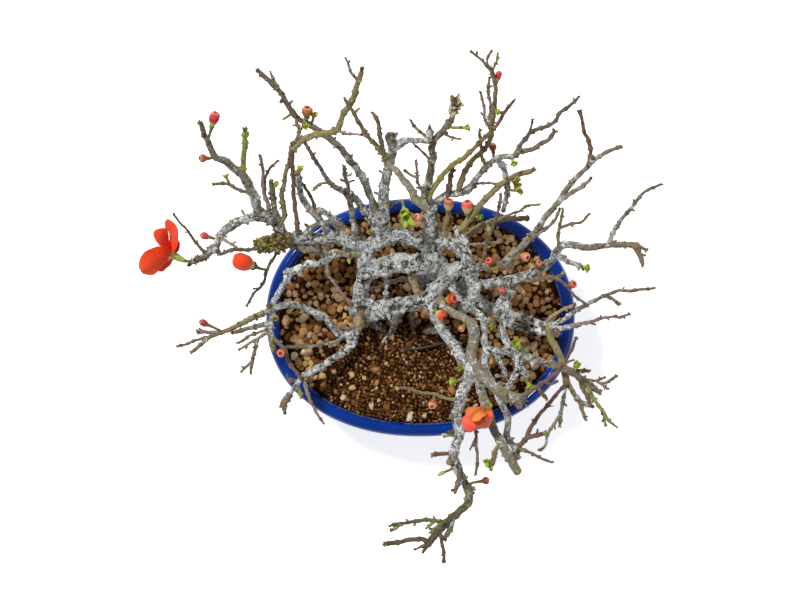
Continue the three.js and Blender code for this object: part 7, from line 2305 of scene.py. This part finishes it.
class BONSAI_OT_soil(bpy.types.Operator):
    """Builds the soil bed with its fine and coarse grains"""

    bl_idname = "bonsai.soil"
    bl_label = "Build soil"

    def execute(self, context):
        for piece in build_soil(looks_of(context)):
            hand_over(piece, ["soil"])
        return {"FINISHED"}


class BONSAI_OT_wood(bpy.types.Operator):
    """Builds the trunks, limbs, twigs, spurs and stalks"""

    bl_idname = "bonsai.wood"
    bl_label = "Build wood"

    def execute(self, context):
        looks = looks_of(context)
        limbs = limbs_made()
        stalks, _ = seats()
        more_stalks, tips = tip_stalks(limbs)
        bark = bark_finish(looks)
        hand_over(build_trunks(limbs, looks, bark), ["tree"])
        twigs, nodes = build_twigs(limbs, looks, bark, stalks + more_stalks)
        hand_over(twigs, ["tree"])
        hand_over(build_sprouts(limbs, nodes, tips, looks), ["tree"])
        return {"FINISHED"}


class BONSAI_OT_wire(bpy.types.Operator):
    """Builds the wire that ties the root base down"""

    bl_idname = "bonsai.wire"
    bl_label = "Build tie wire"

    def execute(self, context):
        wire = plain_finish("dark wire", srgb("251c16"), srgb("3c3027"), 0.4, 0.003)
        hand_over(build_wire(wire), ["tie_wire"])
        return {"FINISHED"}


class BONSAI_OT_buds(bpy.types.Operator):
    """Builds the closed flower buds"""

    bl_idname = "bonsai.buds"
    bl_label = "Build buds"

    def execute(self, context):
        looks = looks_of(context)
        _, spots = seats()
        petals = finish_made("petals", petal_finish, "petals", looks)
        for name, _, _, _, length, width in BUDS:
            seat, heading, spin = spots[name]
            way, base_share = BUD_WAYS.get(name, (tuple(heading), USUAL_BASE))
            heading = Vector(way).normalized()
            small = length < SMALL_BUD
            tints = [rgb(tint) for tint in BUD_TINTS.get(name, BUD_TINTS["usual"])]
            points, faces, along, edge = bud_skin(length, width, dimple=0.14 if small else 0.03)
            tint = bud_tint(tints, along, edge, base_share, small)
            skin = Pile()
            skin.add(turned(points, heading, seat, spin), faces, tint=tint, along=0.6, across=0.0)
            cup_length = min(0.4 * length, 3.0)
            points, faces = cup_skin(0.38 * width, cup_length, flare=1.2 if small else 0.62)
            olive = 0.2 if name in BUD_WAYS else 0.5
            sepal = tints[2] * (1 - olive) + rgb("76683c") * olive
            skin.add(turned(points, heading, seat, spin), faces, tint=sepal, along=0.6, across=0.0)
            hand_over(skin.make(name + "_petals", petals), [name])
        return {"FINISHED"}


class BONSAI_OT_leaves(bpy.types.Operator):
    """Builds the tufts of young leaves"""

    bl_idname = "bonsai.leaves"
    bl_label = "Build leaves"

    def execute(self, context):
        finish = finish_made("leaf", leaf_finish, looks_of(context))
        _, spots = seats()
        for name, _, _, _, length, count in LEAVES:
            seat, heading, spin = spots[name]
            rng = random.Random(spin)
            tint = rgb(LEAF_TINTS.get(name, LEAF_TINTS["usual"]))
            skin = Pile()
            points, faces, _ = lathe_shape([(0.7, 0), (0.95, 0.8), (0.7, 1.8), (0.15, 2.7)], 10)
            skin.add(turned(points, heading, seat, spin), faces, tint=tint, across=0.5, along=0.3)
            for points, faces, across, along in tuft_blades(length, count, rng):
                skin.add(turned(points, heading, seat, spin), faces, tint=tint, across=across, along=along)
            hand_over(skin.make(name + "_blades", finish), [name])
        return {"FINISHED"}


class BONSAI_OT_flowers(bpy.types.Operator):
    """Builds the open and the half-open flower, with their cups and the open flower's stamens"""

    bl_idname = "bonsai.flowers"
    bl_label = "Build flowers"

    def execute(self, context):
        looks = looks_of(context)
        _, spots = seats()
        petals = finish_made("petals", petal_finish, "petals", looks)
        cups = plain_finish("green cup", srgb("8f9a34"), srgb("b4bd58"), 0.6, 0.0012)
        threads = plain_finish("yellow stamens", srgb("d8a21c"), srgb("f4d860"), 0.6, 0.0004)
        for which, table, ruffle, size in FLOWERS:
            rng = random.Random(size)
            seat, _, _ = spots[which]
            heart = np.mean([place(*path[0][:3]) for path, *_ in table], axis=0)
            cup_way = unit(heart - seat)
            reach = np.linalg.norm(heart - seat)
            skin = Pile()
            points, faces = cup_skin(CALYX_RADIUS * size, reach)
            skin.add(turned(points, cup_way, seat), faces)
            hand_over(skin.make(f"cup_{which}", cups), [f"flower_{which}_calyx"])
            skin = Pile()
            for path, facing, cup, (foot_tint, tip_tint) in table:
                points, faces, across, along = petal_sheet(path, facing, cup, ruffle, rng)
                tint = rgb(foot_tint) * (1 - along[:, None])
                tint = tint + rgb(tip_tint) * along[:, None]
                skin.add(points, faces, tint=tint, across=across, along=along)
            hand_over(skin.make(f"petals_{which}", petals), [f"flower_{which}_petals"])
            if which == "half":
                continue
            skin = Pile()
            for points, faces in stamen_skins(rng):
                skin.add(turned(points, OPEN_FACING, heart), faces)
            hand_over(skin.make("stamens_open", threads), ["flower_open_stamens"])
        return {"FINISHED"}


class BONSAI_OT_studio(bpy.types.Operator):
    """Sets up the floor, the soft studio light and the camera straight above"""

    bl_idname = "bonsai.studio"
    bl_label = "Build studio"

    def execute(self, context):
        scene = context.scene
        tone = tuple(looks_of(context).floor_tone)
        corners = [[x * FLOOR_HALF, y * FLOOR_HALF, -FLOOR_DROP]
                   for x, y in ((-1, -1), (1, -1), (1, 1), (-1, 1))]
        floor = make_object("studio_floor", corners, [(0, 1, 2, 3)], {}, plain_stage(tone), smooth=False)
        world = bpy.data.worlds.new("studio sky")
        scene.world = world
        world.use_nodes = True
        graph = Graph(world.node_tree)
        direction = graph.add("ShaderNodeTexCoord")
        height = graph.add("ShaderNodeSeparateXYZ", {"Vector": direction.outputs["Generated"]})
        blend = graph.add("ShaderNodeMapRange", {
            "Value": height.outputs["Z"], "From Min": 0.05, "From Max": 0.95, "To Min": SKY_LOW,
            "To Max": SKY_HIGH})
        background = world.node_tree.nodes["Background"]
        graph.feed(background, "Strength", blend.outputs[0])
        background.inputs["Color"].default_value = (1.0, 1.0, 1.0, 1.0)
        middle = Vector(POT_MIDDLE) + Vector((0, 0, LAMP_AIM * MM))
        for name, place_at, power, width in STUDIO_LAMPS:
            lamp = bpy.data.lights.new(name, "AREA")
            lamp.energy = power
            lamp.size = width
            thing = into_scene(name, lamp)
            thing.location = middle + Vector(place_at)
            thing.rotation_euler = (-Vector(place_at)).to_track_quat("-Z", "Y").to_euler()
        camera = bpy.data.cameras.new("camera")
        camera.lens = LENS
        camera.sensor_width = SENSOR
        camera.clip_end = FAR_CLIP * MM
        view = into_scene("camera", camera)
        view.location = POT_MIDDLE + np.array([*VIEW_CENTRE, RIM + VIEW_HEIGHT]) * MM
        scene.camera = view
        scene.view_settings.view_transform = "Standard"
        scene.view_settings.look = "None"
        return {"FINISHED"}


class BONSAI_PT_panel(bpy.types.Panel):
    """Lists the steps that build the bonsai"""

    bl_idname = "BONSAI_PT_panel"
    bl_label = "Quince bonsai"
    bl_space_type = "VIEW_3D"
    bl_region_type = "UI"
    bl_category = "Bonsai"

    def draw(self, context):
        for step in STEPS:
            self.layout.operator(step.bl_idname)
        for name in BonsaiLooks.__annotations__:
            self.layout.prop(looks_of(context), name)


STEPS = (BONSAI_OT_pot, BONSAI_OT_soil, BONSAI_OT_wood, BONSAI_OT_wire, BONSAI_OT_buds,
         BONSAI_OT_leaves, BONSAI_OT_flowers, BONSAI_OT_studio)


def register():
    for item in (BonsaiLooks, *STEPS, BONSAI_PT_panel):
        bpy.utils.register_class(item)
    bpy.types.Scene.bonsai_looks = bpy.props.PointerProperty(type=BonsaiLooks)


def unregister():
    del bpy.types.Scene.bonsai_looks
    for item in (BONSAI_PT_panel, *reversed(STEPS), BonsaiLooks):
        bpy.utils.unregister_class(item)


def main():
    register()
    EFFECTS["Mottle"] = mottle_group()
    EFFECTS["Specks"] = speck_group()
    EFFECTS["Cracks"] = crack_group()
    for step in STEPS:
        area, name = step.bl_idname.split(".")
        getattr(getattr(bpy.ops, area), name)()


if __name__ == "__main__":
    main()
